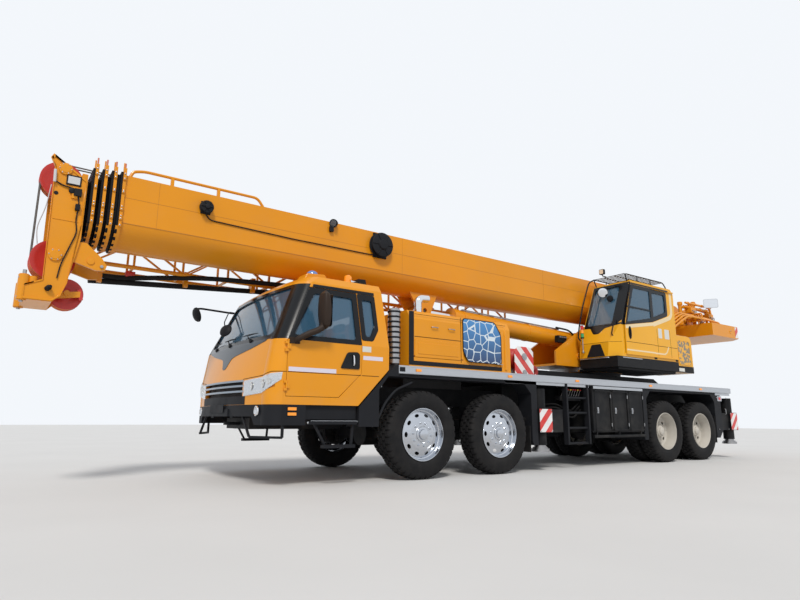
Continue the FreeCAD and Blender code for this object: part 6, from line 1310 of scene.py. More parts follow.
def deck_details():
    """Chequer plates on the deck, markers on its edge rail, and pale strips under it."""
    plates, markers, pale, dark = (Shape() for _ in range(4))
    for start, end in ((-1.86, -3.3), (-3.32, -3.98), (-6.82, -7.6), (-7.62, -8.8)):
        plates.block((end, start), (0.72, 1.36), (1.515, 1.5185))
    for x in (0.1, -1.7, -3.35, -5.6, -7.5):
        markers.block((x - 0.045, x + 0.045), (1.3755, 1.386), (1.44, 1.478))
    dark.block((0.33, 0.42), (1.3755, 1.378), (1.43, 1.49))
    pale.block((-1.62, -3.7), (1.33, 1.345), (1.358, 1.404))
    pale.block((-3.78, -5.3), (1.3752, 1.38), (1.345, 1.392))
    pale.block((-8.15, -8.8), (1.34, 1.352), (1.35, 1.4))
    for height in (1.418, 1.502):
        pale.block((-8.82, 0.425), (1.3755, 1.3785), (height - 0.006, height + 0.006))
    mirror(plates, markers, pale, dark)
    plates.done("deck_chequer_plates", CHEQUER)
    markers.done("deck_side_markers", AMBER, edge=0.004)
    pale.done("deck_pale_strips", RAIL, edge=0.002)
    dark.done("deck_rail_slots", TRIM)


def locker_details():
    """Locker doors with frames, latches and hinges, the ladder's valve levers, and hoses behind it."""
    dark, pale, steel, hose, red, gold = (Shape() for _ in range(6))
    for sign in (1, -1):
        side = 1.375 * sign
        for near, far in ((-3.8, -4.28), (-4.32, -4.8), (-4.84, -5.3)):
            for x in (near, far + 0.02):
                dark.block((x - 0.02, x), (side, side + 0.006 * sign), (0.62, 1.32))
            for z in (0.62, 1.3):
                dark.block((far, near), (side, side + 0.006 * sign), (z, z + 0.02))
            pale.block((near - 0.1, near - 0.06), (side, side + 0.01 * sign), (0.92, 1.02))
            steel.tube([(near - 0.08, side + 0.004 * sign, 0.935), (near - 0.08, side + 0.022 * sign, 0.945),
                        (near - 0.08, side + 0.022 * sign, 0.995), (near - 0.08, side + 0.004 * sign,
                                                                    1.005)], 0.006, bend=0.01, sides=6)
            for z in (0.72, 1.22):
                steel.tube([(far + 0.02, side + 0.008 * sign, z - 0.03), (far + 0.02, side + 0.008 * sign, z + 0.03)],
                           0.008, sides=8)
        for index, x in enumerate(np.linspace(-3.14, -3.6, 8)):
            steel.tube([(x, 1.18 * sign, 1.2), (x, 1.23 * sign, 1.3)], 0.006, sides=6)
            knob = gold if index % 3 == 0 else red
            knob.turned([(0, 0.004), (0.004, 0.014), (0.016, 0.018), (0.028, 0.013), (0.032, 0.003)],
                        (x, 1.234 * sign, 1.298), "z", 12)
        dark.block((-3.64, -3.09), (1.08 * sign, 1.2 * sign), (1.13, 1.205))
        for index, z in enumerate((1.1, 1.04, 0.98)):
            hose.tube([(-3.7, (1.1 + 0.02 * index) * sign, z), (-3.4, (1.16 + 0.02 * index) * sign, z - 0.16),
                       (-3.05, (1.12 + 0.02 * index) * sign, z - 0.02), (-2.8, 1.06 * sign,
                                                                         z - 0.05)], 0.014, bend=0.12, sides=8)
        for x, z, radius in ((-2.27, 0.8, 0.08), (-5.44, 0.9, 0.05)):
            dark.disc_on((x, 0.9 * sign, z), (0, sign, 0), [
                (0, radius), (0.3, radius), (0.33, radius * 0.85), (0.345, radius * 0.4), (0.348, 0.003)], 24)
    dark.done("locker_door_frames", FRAME, edge=0.002)
    pale.done("locker_latch_plates", RAIL, edge=0.002)
    steel.done("locker_latches", STEEL)
    hose.done("chassis_hoses", RUBBER)
    red.done("lever_knobs_red", LEVER_RED)
    gold.done("lever_knobs_yellow", LEVER_YELLOW)


def outrigger_details():
    """Striped end plates, jack caps, bolted flanges and round pads of the four outriggers."""
    for spot, (label, sign) in itertools.product(("front", "rear"), SIDES.items()):
        name = f"{spot}_{label}"
        beam, jack = f"outrigger_beam_{name}", f"outrigger_jack_{name}"
        x, y = np.mean(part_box(beam), axis=0)[0] - AXLE_1, 1.225 * sign
        plate, collar, steel, pad = (Shape() for _ in range(4))
        plate.block((x - 0.15, x + 0.15), (1.3752 * sign, 1.3795 * sign), (0.606, 0.972))
        collar.block((x - 0.154, x + 0.154), (1.36 * sign, 1.3748 * sign), (0.598, 0.98))
        for height, step in itertools.product((0.62, 0.95), (-0.13, 0.13)):
            steel.bolt((x + step, 1.3795 * sign, height), (0, sign, 0), 0.01)
        pad.turned([(0.3, 0.146), (0.303, 0.1495), (0.322, 0.1495), (0.33, 0.142), (0.338, 0.1), (0.352, 0.085),
                    (0.372, 0.072), (0.386, 0.06)], (x, y, 0.0), "z", 36)
        for place in ring_places((x, y, 0.326), 0.12, 8, "z"):
            pad.bolt(place, (0, 0, 1), 0.009, 0.012)
        plate.done(f"striped_plate_{name}", STRIPES, beam, edge=0.001)
        collar.done(f"plate_frame_{name}", FRAME, beam, edge=0.003)
        steel.done(f"plate_bolts_{name}", STEEL, beam)
        pad.done(f"outrigger_pad_{name}", STEEL, jack)


def rear_details():
    """Tail lamps, reflectors, mud flaps and the side panels' handles."""
    red, amber, dark, pale, steel = (Shape() for _ in range(5))
    for index, y in enumerate((0.78, 0.9, 1.02)):
        lens = amber if index == 1 else red
        lens.block((-9.006, -9.018), ((y - 0.052), (y + 0.052)), (1.06, 1.14))
    dark.block((-8.985, -9.006), (0.7, 1.1), (1.04, 1.16))
    dark.block((-8.84, -8.99), (0.82, 0.9), (1.06, 1.14))
    red.block((-8.3, -8.36), (1.3505, 1.362), (1.25, 1.31))
    pale.block((-8.24, -8.42), (1.345, 1.352), (1.225, 1.335))
    steel.tube([(-8.52, 1.35, 0.94), (-8.52, 1.374, 0.95), (-8.52, 1.374, 1.05), (-8.52, 1.35, 1.06)], 0.008,
               bend=0.02, sides=8)
    dark.block((-8.06, -8.075), (0.76, 1.34), (0.34, 0.9))
    dark.block((-2.16, -2.175), (1.02, 1.33), (0.3, 0.705))
    for x, z in ((-8.2, 0.62), (-8.2, 1.3), (-8.62, 0.62), (-8.62, 1.3)):
        steel.bolt((x, 1.349, z), (0, 1, 0), 0.012)
    mirror(red, amber, dark, pale, steel)
    red.done("tail_lamps_red", RED_LENS, edge=0.004)
    amber.done("tail_lamps_amber", AMBER, edge=0.004)
    dark.done("mud_flaps", RUBBER, edge=0.003)
    pale.done("tail_lamp_plates", RAIL, edge=0.003)
    steel.done("side_panel_handles", STEEL)


def fender_details():
    """Lips round the wheel arches and bolts on the front fenders' facets."""
    lip, steel, under = Shape(), Shape(), Shape()
    lip.tube([(0.79, 1.352, 0.72), (0.64, 1.352, 1.01), (0.47, 1.352, 1.185), (0.2, 1.352, 1.29)], 0.016, bend=0.08,
             sides=8)
    for x, z in ((0.86, 1.02), (0.7, 1.22), (0.52, 1.42), (0.95, 0.8)):
        steel.bolt((x, 1.3455, z), (0, 1, 0), 0.01, 0.005)
    for axle in AXLE_X.values():
        under.tube([(axle + 0.05, 0.3, 0.62), (axle + 0.35, 0.52, 0.74), (axle + 0.42, 0.6, 0.98)], 0.022, bend=0.08,
                   sides=8)
        for step in (-0.06, 0.0, 0.06):
            under.block((axle - 0.42, axle + 0.42), ((0.6 + step * 0.4), (0.62 + step * 0.4)),
                        (0.8 + abs(step) * 0.4, 0.83 + abs(step) * 0.4))
    mirror(lip, steel, under)
    lip.done("fender_lips", TRIM)
    steel.done("fender_bolts", STEEL)
    under.done("springs_and_hoses", FRAME)


def hook_block_details():
    """Hook block on the deck: striped cheeks, sheaves between them, a crosshead and a forged hook."""
    cheeks, red, steel, hook, stand = (Shape() for _ in range(5))
    for sign in (1, -1):
        y = 0.85 + 0.14 * sign
        cheeks.prism("side", (y, y + 0.012 * sign), [
            (-2.22, 1.56), (-2.22, 1.94), (-2.3, 2.018), (-2.6, 2.018), (-2.68, 1.94), (-2.68, 1.56),
            (-2.6, 1.5), (-2.3, 1.5)])
        steel.disc_on((-2.45, y + 0.012 * sign, 1.85), (0, sign, 0), [
            (0, 0.06), (0.012, 0.058), (0.014, 0.03), (0.018, 0.028), (0.019, 0.003)], 24)
        steel.disc_on((-2.45, y + 0.012 * sign, 1.58), (0, sign, 0), [
            (0, 0.05), (0.012, 0.048), (0.014, 0.004)], 24)
    for across in (-0.09, -0.03, 0.03, 0.09):
        sheave_skin(red, -2.45, 0.85 + across, 1.83, 0.17)
    body_points = [(-2.68, 0.85, 1.64), (-2.79, 0.85, 1.64), (-2.87, 0.85, 1.7), (-2.905, 0.85, 1.62),
                   (-2.87, 0.85, 1.545), (-2.77, 0.85, 1.53), (-2.7, 0.85, 1.56)]
    hook.tube(body_points, (0.034, 0.04, 0.046, 0.044, 0.04, 0.03, 0.012), bend=0.08, sides=16)
    hook.block((-2.7, -2.64), (0.8, 0.9), (1.6, 1.68))
    cheeks.done("hook_block_cheeks", SIDE_STRIPES, replaces=["hook_block"], edge=0.003)
    red.done("hook_block_sheaves", SHEAVE, crease=24)
    steel.done("hook_block_pins", STEEL)
    hook.done("crane_hook", HOOK_RED)
    stand.block((-2.62, -2.28), (0.74, 0.96), (1.519, 1.556))
    stand.done("hook_rest", FRAME, edge=0.004)


for build in (engine_hood_details, exhaust_details, deck_details, locker_details, outrigger_details, rear_details,
              fender_details, hook_block_details):
    build()


# ---- upper carriage: operator's cab, cooler box, counterweight, winches and turntable

OP_SIDE = 1.36
OP_DOOR = 1.39


def op_front(flat, proud):
    """The operator's cab's front for points of a front view, (y, height): X follows the front's profile, and
    below the windscreen a straight cut takes off the outer corner."""
    y, height = flat[..., 0], flat[..., 1]
    profile = np.interp(height, (1.99, 2.27, 2.64, 3.53), (-4.6, -4.62, -4.8, -5.2))
    cut = -4.6 - np.maximum(y - 1.16, 0)
    return np.stack([np.minimum(profile, cut) + proud, y + 0 * height, height], axis=-1)


def operator_surrounds():
    """One black band round the windscreen, over the pillar and round the side windows."""
    trim, door = Shape(), Shape()
    hole = rectangle((0.594, 1.156), (2.644, 3.436), 0.04, 8)
    around = rectangle((0.535, 1.3625), (2.6, 3.5), 0.01, 8)
    trim.frame(op_front, hole, around, -0.016, 0.004)
    columns = np.linspace(0.535, 1.3625, 49)
    low_edge = np.interp(columns, (0.535, 0.68, 0.765, 0.8, 0.9, 0.935, 1.02, 1.16, 1.352),
                         (2.595, 2.59, 2.48, 2.455, 2.455, 2.48, 2.56, 2.585, 2.61))
    trim.patch(op_front, columns, low_edge, 2.641, -0.002, 0.004)
    side = flat_side(OP_SIDE)
    rise = np.linspace(2.6, 3.5, 12)[:, None]
    share = np.linspace(0, 1, 4)
    start = np.interp(rise, (2.64, 3.53), (-4.802, -5.202))
    end = np.interp(rise, (2.6, 2.66, 3.44, 3.5), (-4.872, -4.872, -5.152, -5.172))
    pillar = np.stack([start * (1 - share) + end * share, rise + 0 * share], axis=-1)
    trim.slab(side(pillar, 0.0035), side(pillar, -0.002))
    quarter = outline([(-6.396, 3.005), (-5.934, 2.856), (-5.934, 3.366), (-6.396, 3.366)], 0.03)
    rear = outline([(-6.47, 2.935), (-5.868, 2.745), (-5.868, 3.438), (-6.47, 3.438)], 0.05)
    trim.frame(side, quarter, rear, -0.016, 0.003)
    trim.block((-6.5, -5.158), (1.358, 1.3925), (3.4425, 3.4725))
    trim.done("operator_window_surrounds", GLOSS_BLACK, "turntable", edge=0.0015)
    pane = outline([(-5.786, 2.814), (-4.956, 2.665), (-5.233, 3.366), (-5.786, 3.366)], 0.02)
    edge = outline([(-5.857, 2.745), (-4.884, 2.6), (-5.16, 3.437), (-5.857, 3.437)], 0.006)
    door.frame(flat_side(OP_DOOR), pane, edge, -0.01, 0.004)
    door.prism("side", (1.3655, 1.3935), [(-4.8795, 2.6), (-4.8765, 2.6), (-4.8765, 2.662), (-5.1565, 3.4395),
                                          (-5.1595, 3.4395), (-4.8795, 2.661)])
    door.block((-5.8, -4.99), (1.3905, 1.3945), (2.955, 2.985))
    door.done("operator_door_surround", GLOSS_BLACK, "operator_door", edge=0.0015)


def operator_panels():
    """Cream-coloured bands of painted highlight along the bevelled window and lower edges, the crease line, the black
    trapezoid, the grey base strip and two bare plates.
    """
    highlight_band, door_highlight_band, seam, door_seam, dark = (Shape() for _ in range(5))
    side, door = flat_side(OP_SIDE), flat_side(OP_DOOR)

    def band(shape, surface, path, wide, proud=0.0025):
        """A band along a path of a side view, with its other edge offset square to the path."""
        path = rounded_path(path, 0.1)
        along = unit(np.gradient(path, axis=0))
        away = np.column_stack([-along[:, 1], along[:, 0]])
        flat = np.stack([path, path + away * wide * 0.5, path + away * wide])
        shape.slab(surface(flat, proud), surface(flat, -0.001))

    # painted highlight: pale bands under the windows, up the rear edge and along the lower edge, where the sky lights
    # the bevels
    band(door_highlight_band, door, [(-4.884, 2.592), (-5.37, 2.665), (-5.857, 2.737)], 0.065)
    band(highlight_band, side, [(-5.868, 2.735), (-6.24, 2.85), (-6.585, 2.96), (-6.585, 3.2), (-6.585, 3.48)], 0.085)
    band(door_highlight_band, door, [(-4.884, 2.135), (-5.857, 2.135)], 0.03)
    band(highlight_band, side, [(-5.868, 2.135), (-6.3, 2.135), (-6.4, 2.29)], 0.03)
    seam.patch(side, np.linspace(-6.745, -5.87, 4), 2.272, 2.28, -0.001, 0.0015, rows=2)
    door_seam.patch(door, np.linspace(-5.855, -4.885, 4), 2.272, 2.28, -0.001, 0.0015, rows=2)
    columns = np.linspace(0.525, 1.355, 30)
    seam.patch(op_front, columns, 2.266, 2.272, -0.001, 0.0015, rows=2)
    for x in (-6.02, -6.5):
        seam.block((x - 0.003, x + 0.003), (1.359, 1.3615), (2.06, 2.62))
    columns = np.linspace(0.69, 1.09, 24)
    dark.patch(op_front, columns, 1.998, np.interp(columns, (0.69, 0.8, 1.0, 1.09), (2.01, 2.24, 2.24, 2.01)), -0.001,
               0.004)
    for x in (-6.74, -5.95):
        dark.block((x, x + 0.1), (1.359, 1.3625), (1.998, 2.035))
    dark.done("operator_front_insert", TRIM, "turntable", edge=0.001)
    highlight_band.done("operator_highlight_bands", HIGHLIGHT, "turntable")
    door_highlight_band.done("operator_door_highlight_bands", HIGHLIGHT, "operator_door")
    seam.done("operator_seams", SEAM, "turntable")
    door_seam.done("operator_door_crease", SEAM, "operator_door")
    strip, plates = Shape(), Shape()
    strip.tube([(-4.592, 0.53, 1.968), (-4.592, 1.16, 1.968), (-4.792, 1.362, 1.968), (-5.4, 1.364, 1.968)], 0.011,
               bend=0.03, sides=8)
    for x, wide in ((-6.13, 0.13), (-6.38, 0.17)):
        plates.prism("side", (1.3595, 1.3625), rectangle((x - wide / 2, x + wide / 2), (2.44, 2.64), 0.015))
    plates.prism("side", (1.3255, 1.33), rectangle((-7.02, -6.8), (1.81, 1.88), 0.01))
    strip.done("operator_base_strip", RAIL, "turntable")
    plates.done("operator_bare_plates", BARE_PLATE, "turntable")


def operator_door_handle():
    """Oval black recess with a grip across it."""
    recess, grip = Shape(), Shape()
    turns = circle(32)
    rings = []
    for share, proud in ((1.0, 0.0), (1.0, 0.006), (0.88, 0.009), (0.74, 0.004), (0.7, 0.0015)):
        rings.append(np.column_stack([-5.02 + 0.052 * share * np.cos(turns), np.full(32, OP_DOOR + proud),
                                      2.455 + 0.125 * share * np.sin(turns)]))
    recess.skin(np.array(rings))
    grip.tube([(-5.02, OP_DOOR + 0.002, 2.36), (-5.02, OP_DOOR + 0.017, 2.385), (-5.02, OP_DOOR + 0.017, 2.525),
               (-5.02, OP_DOOR + 0.002, 2.55)], 0.012, bend=0.03, sides=10)
    recess.done("operator_door_recess", TRIM, "operator_door")
    grip.done("operator_door_grip", GLOSS_BLACK, "operator_door")


def operator_roof():
    """Roof rack of bent tubes with slats, the handrail hoop, the work lamp and the mirrors."""
    rack, dark, lens, glass_face = (Shape() for _ in range(4))
    high = 3.665
    for y in (0.585, 1.3):
        rack.tube([(-5.2, y, 3.52), (-5.12, y, high), (-6.5, y, high), (-6.64, y, 3.515)], 0.012, bend=0.07, sides=8)
        for x in (-5.55, -6.02):
            rack.tube([(x, y, 3.52), (x, y, high)], 0.01, sides=8)
    for x in np.linspace(-5.13, -6.49, 16):
        rack.tube([(x, 0.585, high), (x, 1.3, high)], 0.008, sides=6)
    for y in (0.82, 1.06):
        rack.tube([(-5.125, y, high), (-6.495, y, high)], 0.008, sides=6)
    rack.tube([(-5.125, 0.6, high), (-5.01, 0.54, 3.6), (-4.76, 0.535, 3.06), (-4.61, 0.535, 2.62),
               (-4.56, 0.535, 2.4), (-4.61, 0.56, 2.34)], 0.014, bend=0.12, sides=10)
    rack.tube([(-4.79, 1.23, 2.72), (-4.745, 1.235, 2.64), (-4.65, 1.235, 2.42), (-4.69, 1.235, 2.38)], 0.012,
              bend=0.05, sides=8)
    rack.tube([(-5.09, 0.905, high), (-4.98, 0.905, 3.665), (-4.96, 0.905, 3.69)], 0.011, bend=0.03, sides=8)
    rack.tube([(-5.15, 0.85, 3.48), (-5.06, 0.85, 3.47), (-5.03, 0.85, 3.4)], 0.008, bend=0.03, sides=8)
    rack.tube([(-5.06, 1.01, 3.2), (-5.015, 1.01, 3.19)], 0.008, sides=8)
    rack.done("operator_roof_rack", GLOSS_BLACK, "turntable")
    square = [(0.852, 3.695), (0.958, 3.695), (0.958, 3.8), (0.852, 3.8)]
    dark.prism("front", (-4.99, -4.935), outline(square, 0.015, 3))
    dark.disc_on((-5.015, 1.01, 3.185), (0.8, 0.55, -0.25), [(-0.02, 0.03), (0.0, 0.062), (0.012, 0.066),
                                                             (0.018, 0.055), (0.019, 0.002)], 28)
    dark.disc_on((-5.02, 0.85, 3.335), (0.8, 0.55, -0.25), [(-0.035, 0.02), (-0.025, 0.07), (0.0, 0.104),
                                                            (0.01, 0.104), (0.011, 0.096)], 36)
    inner = [(0.862, 3.705), (0.948, 3.705), (0.948, 3.79), (0.862, 3.79)]
    lens.prism("front", (-4.937, -4.931), outline(inner, 0.012, 3))
    middle, way = np.array((-5.02, 0.85, 3.335)), (0.8, 0.55, -0.25)
    bulge = np.array([(0.004, 0.097), (0.0105, 0.095), (0.0145, 0.078), (0.0185, 0.05), (0.02, 0.02), (0.0203, 0.001)])
    glass_face.disc_on(middle, way, bulge, 36)
    dark.done("operator_lamp_and_mirror_cases", TRIM, "turntable", edge=0.002)
    lens.done("operator_work_lamp_lens", WARM_LENS, "turntable")
    glass_face.done("operator_round_mirror", MIRROR, "turntable")


def light_column():
    """Load lights: green, amber and red lenses on a steel post with a ball foot."""
    place = (-4.563, 0.635, 0.0)
    post, cap = Shape(), Shape()
    post.turned([(2.085, 0.004), (2.09, 0.02), (2.115, 0.026), (2.135, 0.02), (2.14, 0.012), (2.385, 0.012),
                 (2.386, 0.004)], place, "z", 20)
    post.tube([(-4.563, 0.635, 2.112), (-4.62, 0.635, 2.112)], 0.011, sides=10)
    cap.turned([(2.38, 0.02), (2.382, 0.034), (2.402, 0.036), (2.404, 0.03)], place, "z", 24)
    for low in (2.477, 2.554):
        cap.turned([(low, 0.03), (low + 0.001, 0.034), (low + 0.005, 0.034), (low + 0.006, 0.03)], place, "z", 24)
    cap.turned([(2.63, 0.031), (2.632, 0.034), (2.64, 0.03), (2.644, 0.004)], place, "z", 24)
    post.done("light_column_post", STEEL, "turntable")
    cap.done("light_column_rings", TRIM, "turntable")
    for label, low, finish in (("green", 2.404, GREEN_LENS), ("amber", 2.483, AMBER), ("red", 2.56, RED_LENS)):
        lens = Shape()
        rows = low + np.linspace(0, 0.071, 13)
        radii = 0.0325 - 0.0015 * (np.arange(13) % 2)
        lens.turned(np.column_stack([rows, radii]), place, "z", 24)
        lens.done(f"light_column_{label}", finish, "turntable")


def cooler_details():
    """Punched side panel with its rim, a pale painted highlight over the rounded top, and the black base."""
    panel, rim, cover, base = (Shape() for _ in range(4))
    side = flat_side(1.32)
    corners = outline([(-7.33, 1.965), (-6.86, 1.965), (-6.82, 2.46), (-7.29, 2.46)], 0.05)
    panel.fan(side(corners, 0.004)).skin(np.stack([side(corners, 0.004), side(corners, -0.002)]), caps=False)
    rim.frame(side, corners, corners + (corners - corners.mean(axis=0)) * 0.06, -0.002, 0.01)
    turns = np.linspace(math.pi / 2, math.pi, 9)[:, None]
    arc = np.column_stack([-7.27 + 0.13 * np.cos(turns[:, 0]), 2.44 + 0.13 * np.sin(turns[:, 0])])
    path = np.vstack([[(-6.765, 2.57), (-7.0, 2.57)], arc])
    outward = np.vstack([[(0, 1), (0, 1)], np.column_stack([np.cos(turns[:, 0]), np.sin(turns[:, 0])])])
    spans = np.linspace(0.53, 1.312, 5)

    def laid(proud):
        flat = path + outward * proud
        return np.stack([np.column_stack([flat[:, 0], np.full(len(flat), y), flat[:, 1]]) for y in spans])

    # painted highlight: a pale strip laid over the rounded top where the light catches it
    cover.slab(laid(0.006), laid(-0.001))
    for sign_x, sign_y in ((-7.4035, 0.5165), (-7.4035, 1.32)):
        base.block((sign_x, -6.752), (sign_y, sign_y + 0.0045), (1.79, 1.925))
    base.block((-7.4045, -7.4), (0.5165, 1.3245), (1.79, 1.925))
    base.block((-6.703, -4.697), (0.425, 1.3035), (1.7455, 1.7488))
    base.block((-6.703, -4.697), (1.3005, 1.3035), (1.745, 1.7893))
    base.block((-4.6995, -4.6965), (0.425, 1.3035), (1.745, 1.7893))
    for z in np.linspace(1.99, 2.44, 10):
        base.block((-7.404, -7.3995), (0.6, 1.24), (z, z + 0.022))
    panel.done("cooler_punched_panel", PUNCHED, "turntable")
    rim.done("cooler_panel_rim", UPPER_CAB, "turntable", edge=0.002)
    cover.done("cooler_top_highlight", HIGHLIGHT, "turntable", edge=0.002)
    base.done("cooler_base_and_slots", FRAME, "turntable")


def counterweight_details():
    """Lifting recesses, striped plates on the cut corners, bare rear plate, lamps and bolted lugs."""
    dark, stripes, bare, red, yellow, steel = (Shape() for _ in range(6))
    middle = np.array((-9.31, 1.3, 2.88))
    dark.disc_on(middle, (0, 1, 0), [(-0.001, 0.036), (0.003, 0.036), (0.004, 0.001)], 28)
    yellow.disc_on(middle, (0, 1, 0), [(-0.001, 0.05), (0.006, 0.048), (0.008, 0.042), (0.004, 0.037)], 28)
    steel.tube([(-9.335, 1.303, 2.885), (-9.31, 1.312, 2.905), (-9.285, 1.303, 2.885)], 0.006, bend=0.02, sides=8)
    way = np.array((-0.7071, 0.7071, 0.0))
    start, end = np.array((-9.7, 1.28, 0.0)), np.array((-9.91, 1.07, 0.0))
    plate = np.array([start + (0, 0, 2.745), end + (0, 0, 2.745), end + (0, 0, 3.005), start + (0, 0, 3.005)])
    stripes.plate(plate + way * 0.0005, 0.003, way)
    stripes.block((-9.676, -9.54), (1.3003, 1.3035), (2.745, 3.005))
    for y in (0.9, 0.78):
        red.disc_on((-9.929, y, 2.875), (-1, 0, 0), [(-0.002, 0.042), (0.0, 0.042), (0.0008, 0.001)], 24)
    for x in (-8.6, -9.55):
        for y in (0.78, 1.1):
            steel.turned([(3.02, 0.026), (3.034, 0.026), (3.038, 0.02), (3.038, 0.002)], (x, y, 0.0), "z", 12)
            yellow.turned([(3.0195, 0.046), (3.023, 0.046), (3.024, 0.02)], (x, y, 0.0), "z", 24)
    mirror(dark, yellow, steel, stripes, red)
    bare.block((-9.9298, -9.9285), (-0.26, 0.26), (2.8, 2.92))
    dark.done("counterweight_recesses", FRAME, "turntable")
    stripes.done("counterweight_striped_plates", STRIPES, "turntable")
    bare.done("counterweight_bare_plate", BARE_PLATE, "turntable")
    red.done("counterweight_lamps", RED_LENS, "turntable")
    yellow.done("counterweight_rings", BOOM, "turntable", edge=0.001)
    steel.done("counterweight_bolts", STEEL, "turntable")


def winch_details():
    """Rope lying in rows on both drums, motors with bolts, posts, rails, valve blocks, pipes and the mirror."""
    rope, frame_work, steel, dark = (Shape() for _ in range(4))
    rows = np.linspace(-0.296, 0.296, 135)
    wave = 0.2115 + 0.011 * np.abs(np.sin(np.arange(135) * math.pi / 5 + 0.3))
    for x in (-8.7, -9.3):
        rope.turned(np.column_stack([rows, wave]), (x, 0.0, 3.315), "y", 56)
        for sign in (1, -1):
            hub = np.array((x, 0.4905 * sign, 3.315))
            frame_work.disc_on(hub, (0, sign, 0), [(-0.06, 0.094), (0.0, 0.094), (0.012, 0.088), (0.05, 0.07),
                                                   (0.085, 0.066), (0.09, 0.04), (0.0905, 0.002)], 32)
            bolts = ring_places((x, 0.4905 * sign, 3.315), 0.08, 10)
            for bolt in bolts:
                steel.disc_on(bolt, (0, sign, 0), [(0.0, 0.009), (0.016, 0.009), (0.018, 0.007), (0.018, 0.001)], 6)
    for x, tall, radius in ((-8.34, 3.585, 0.046), (-8.96, 3.66, 0.042), (-9.56, 3.5, 0.034)):
        frame_work.turned([(3.022, radius * 1.8), (3.036, radius * 1.8), (3.04, radius), (tall - 0.08, radius),
                           (tall - 0.075, radius * 1.25), (tall - 0.01, radius * 1.25), (tall, radius),
                           (tall + 0.002, 0.002)], (x, 0.655, 0.0), "z", 24)
    for y, z, radius in ((0.76, 3.455, 0.034), (0.81, 3.54, 0.026)):
        frame_work.tube([(-8.3, y, z), (-9.42, y, z), (-9.48, y, z - 0.2)], radius, bend=0.08, sides=14)
        for x in (-8.42, -8.74, -9.06, -9.34):
            frame_work.turned([(x - 0.022, radius), (x - 0.02, radius * 1.35), (x + 0.02, radius * 1.35),
                               (x + 0.022, radius)], (0.0, y, z), "x", 20)
    for y, z in ((0.655, 3.46), (0.655, 3.18), (0.7, 3.33)):
        frame_work.tube([(-8.34, y, z), (-8.64, y, z), (-8.96, y, z + 0.03), (-9.56, y, z - 0.02)], 0.02, bend=0.05,
                        sides=10)
    for index, y in enumerate((1.105, 1.035, 0.965, 0.895)):
        lift = 0.036 * index
        frame_work.tube([(-7.0, y, 2.578), (-7.02, y, 2.73 + lift), (-7.79, y, 3.12 + lift), (-8.62, y, 3.12 + lift),
                         (-9.2, y, 3.105 + lift), (-9.33 - lift, y - 0.02, 3.024)], 0.021, bend=0.14, sides=10)
        frame_work.tube([(-8.44 - lift, 0.7, 3.25), (-8.44 - lift, y, 3.26), (-8.44 - lift, y, 3.13 + lift)], 0.016,
                        bend=0.06, sides=8)
    for x in (-7.86, -8.46, -9.1):
        frame_work.block((x - 0.02, x + 0.02), (0.86, 1.14), (3.08, 3.098))
        frame_work.block((x - 0.014, x + 0.014), (0.99, 1.016), (3.022, 3.09))
    for x, y, z in ((-8.56, 0.8, 3.38), (-8.82, 0.79, 3.22), (-9.38, 0.8, 3.3)):
        frame_work.prism("side", (y - 0.085, y + 0.055), rectangle((x - 0.11, x + 0.11), (z - 0.07, z + 0.07), 0.02))
        for step in (-0.07, 0.0, 0.07):
            frame_work.turned([(z + 0.068, 0.022), (z + 0.115, 0.022), (z + 0.118, 0.028), (z + 0.136, 0.028),
                               (z + 0.14, 0.004)], (x + step, y - 0.01, 0.0), "z", 16)
            steel.tube([(x + step, y + 0.05, z - 0.02), (x + step, y + 0.095, z - 0.02),
                        (x + step * 0.6, y + 0.11, z - 0.12), (x + step * 0.4, y + 0.05,
                                                               z - 0.16)], 0.01, bend=0.04, sides=8)
    frame_work.tube([(-8.34, 0.655, 3.25), (-8.62, 0.76, 3.42), (-8.96, 0.655, 3.56)], 0.024, bend=0.1, sides=10)
    frame_work.tube([(-8.96, 0.655, 3.3), (-9.2, 0.74, 3.16), (-9.56, 0.655, 3.3)], 0.02, bend=0.1, sides=10)
    for sign in (1, -1):
        for x, high in ((-7.62, 3.3), (-8.1, 3.06)):
            frame_work.tube([(x, 0.435 * sign, 2.74), (x, 0.47 * sign, 2.9), (x - 0.12, 0.47 * sign, high - 0.1),
                             (x - 0.55, 0.52 * sign, high)], 0.017, bend=0.08, sides=8)
    for y in (-0.655, -0.8):
        frame_work.tube([(-8.4, y, 3.03), (-8.4, y, 3.26), (-9.5, y, 3.26), (-9.5, y, 3.03)], 0.02, bend=0.08,
                        sides=10)
    frame_work.prism("side", (-1.05, -0.6), rectangle((-9.46, -8.56), (3.022, 3.2), 0.03))
    way, wide, up = np.array((0.8, 0.6, 0.0)), np.array((-0.6, 0.8, 0.0)), np.array((0.0, 0.0, 1.0))
    middle = np.array((-9.13, 1.0, 3.59))

    def panel(half, tall, bend):
        flat = rectangle((-half, half), (-tall, tall), bend, 4)
        return middle + flat[:, :1] * wide + flat[:, 1:] * up

    dark.skin(np.stack([panel(0.15, 0.1, 0.03) - way * 0.03, panel(0.16, 0.11, 0.035),
                        panel(0.16, 0.11, 0.035) + way * 0.006, panel(0.148, 0.098, 0.03) + way * 0.006]))
    face = Shape()
    face.skin(np.stack([panel(0.1475, 0.0975, 0.03) + way * 0.0055, panel(0.1475, 0.0975, 0.03) + way * 0.0085,
                        panel(0.12, 0.072, 0.02) + way * 0.0105]))
    dark.tube([(-9.56, 0.655, 3.49), (-9.48, 0.8, 3.52), (-9.25, 0.96, 3.52), (-9.155, 0.985, 3.58)], 0.012, bend=0.06,
              sides=8)
    rope.done("winch_ropes", ROPE, "turntable", crease=60)
    frame_work.done("winch_pipes_and_blocks", BOOM, "turntable")
    steel.done("winch_fittings", STEEL, "turntable")
    dark.done("winch_mirror_case", RAIL, "turntable")
    face.done("winch_mirror_face", MIRROR, "turntable")


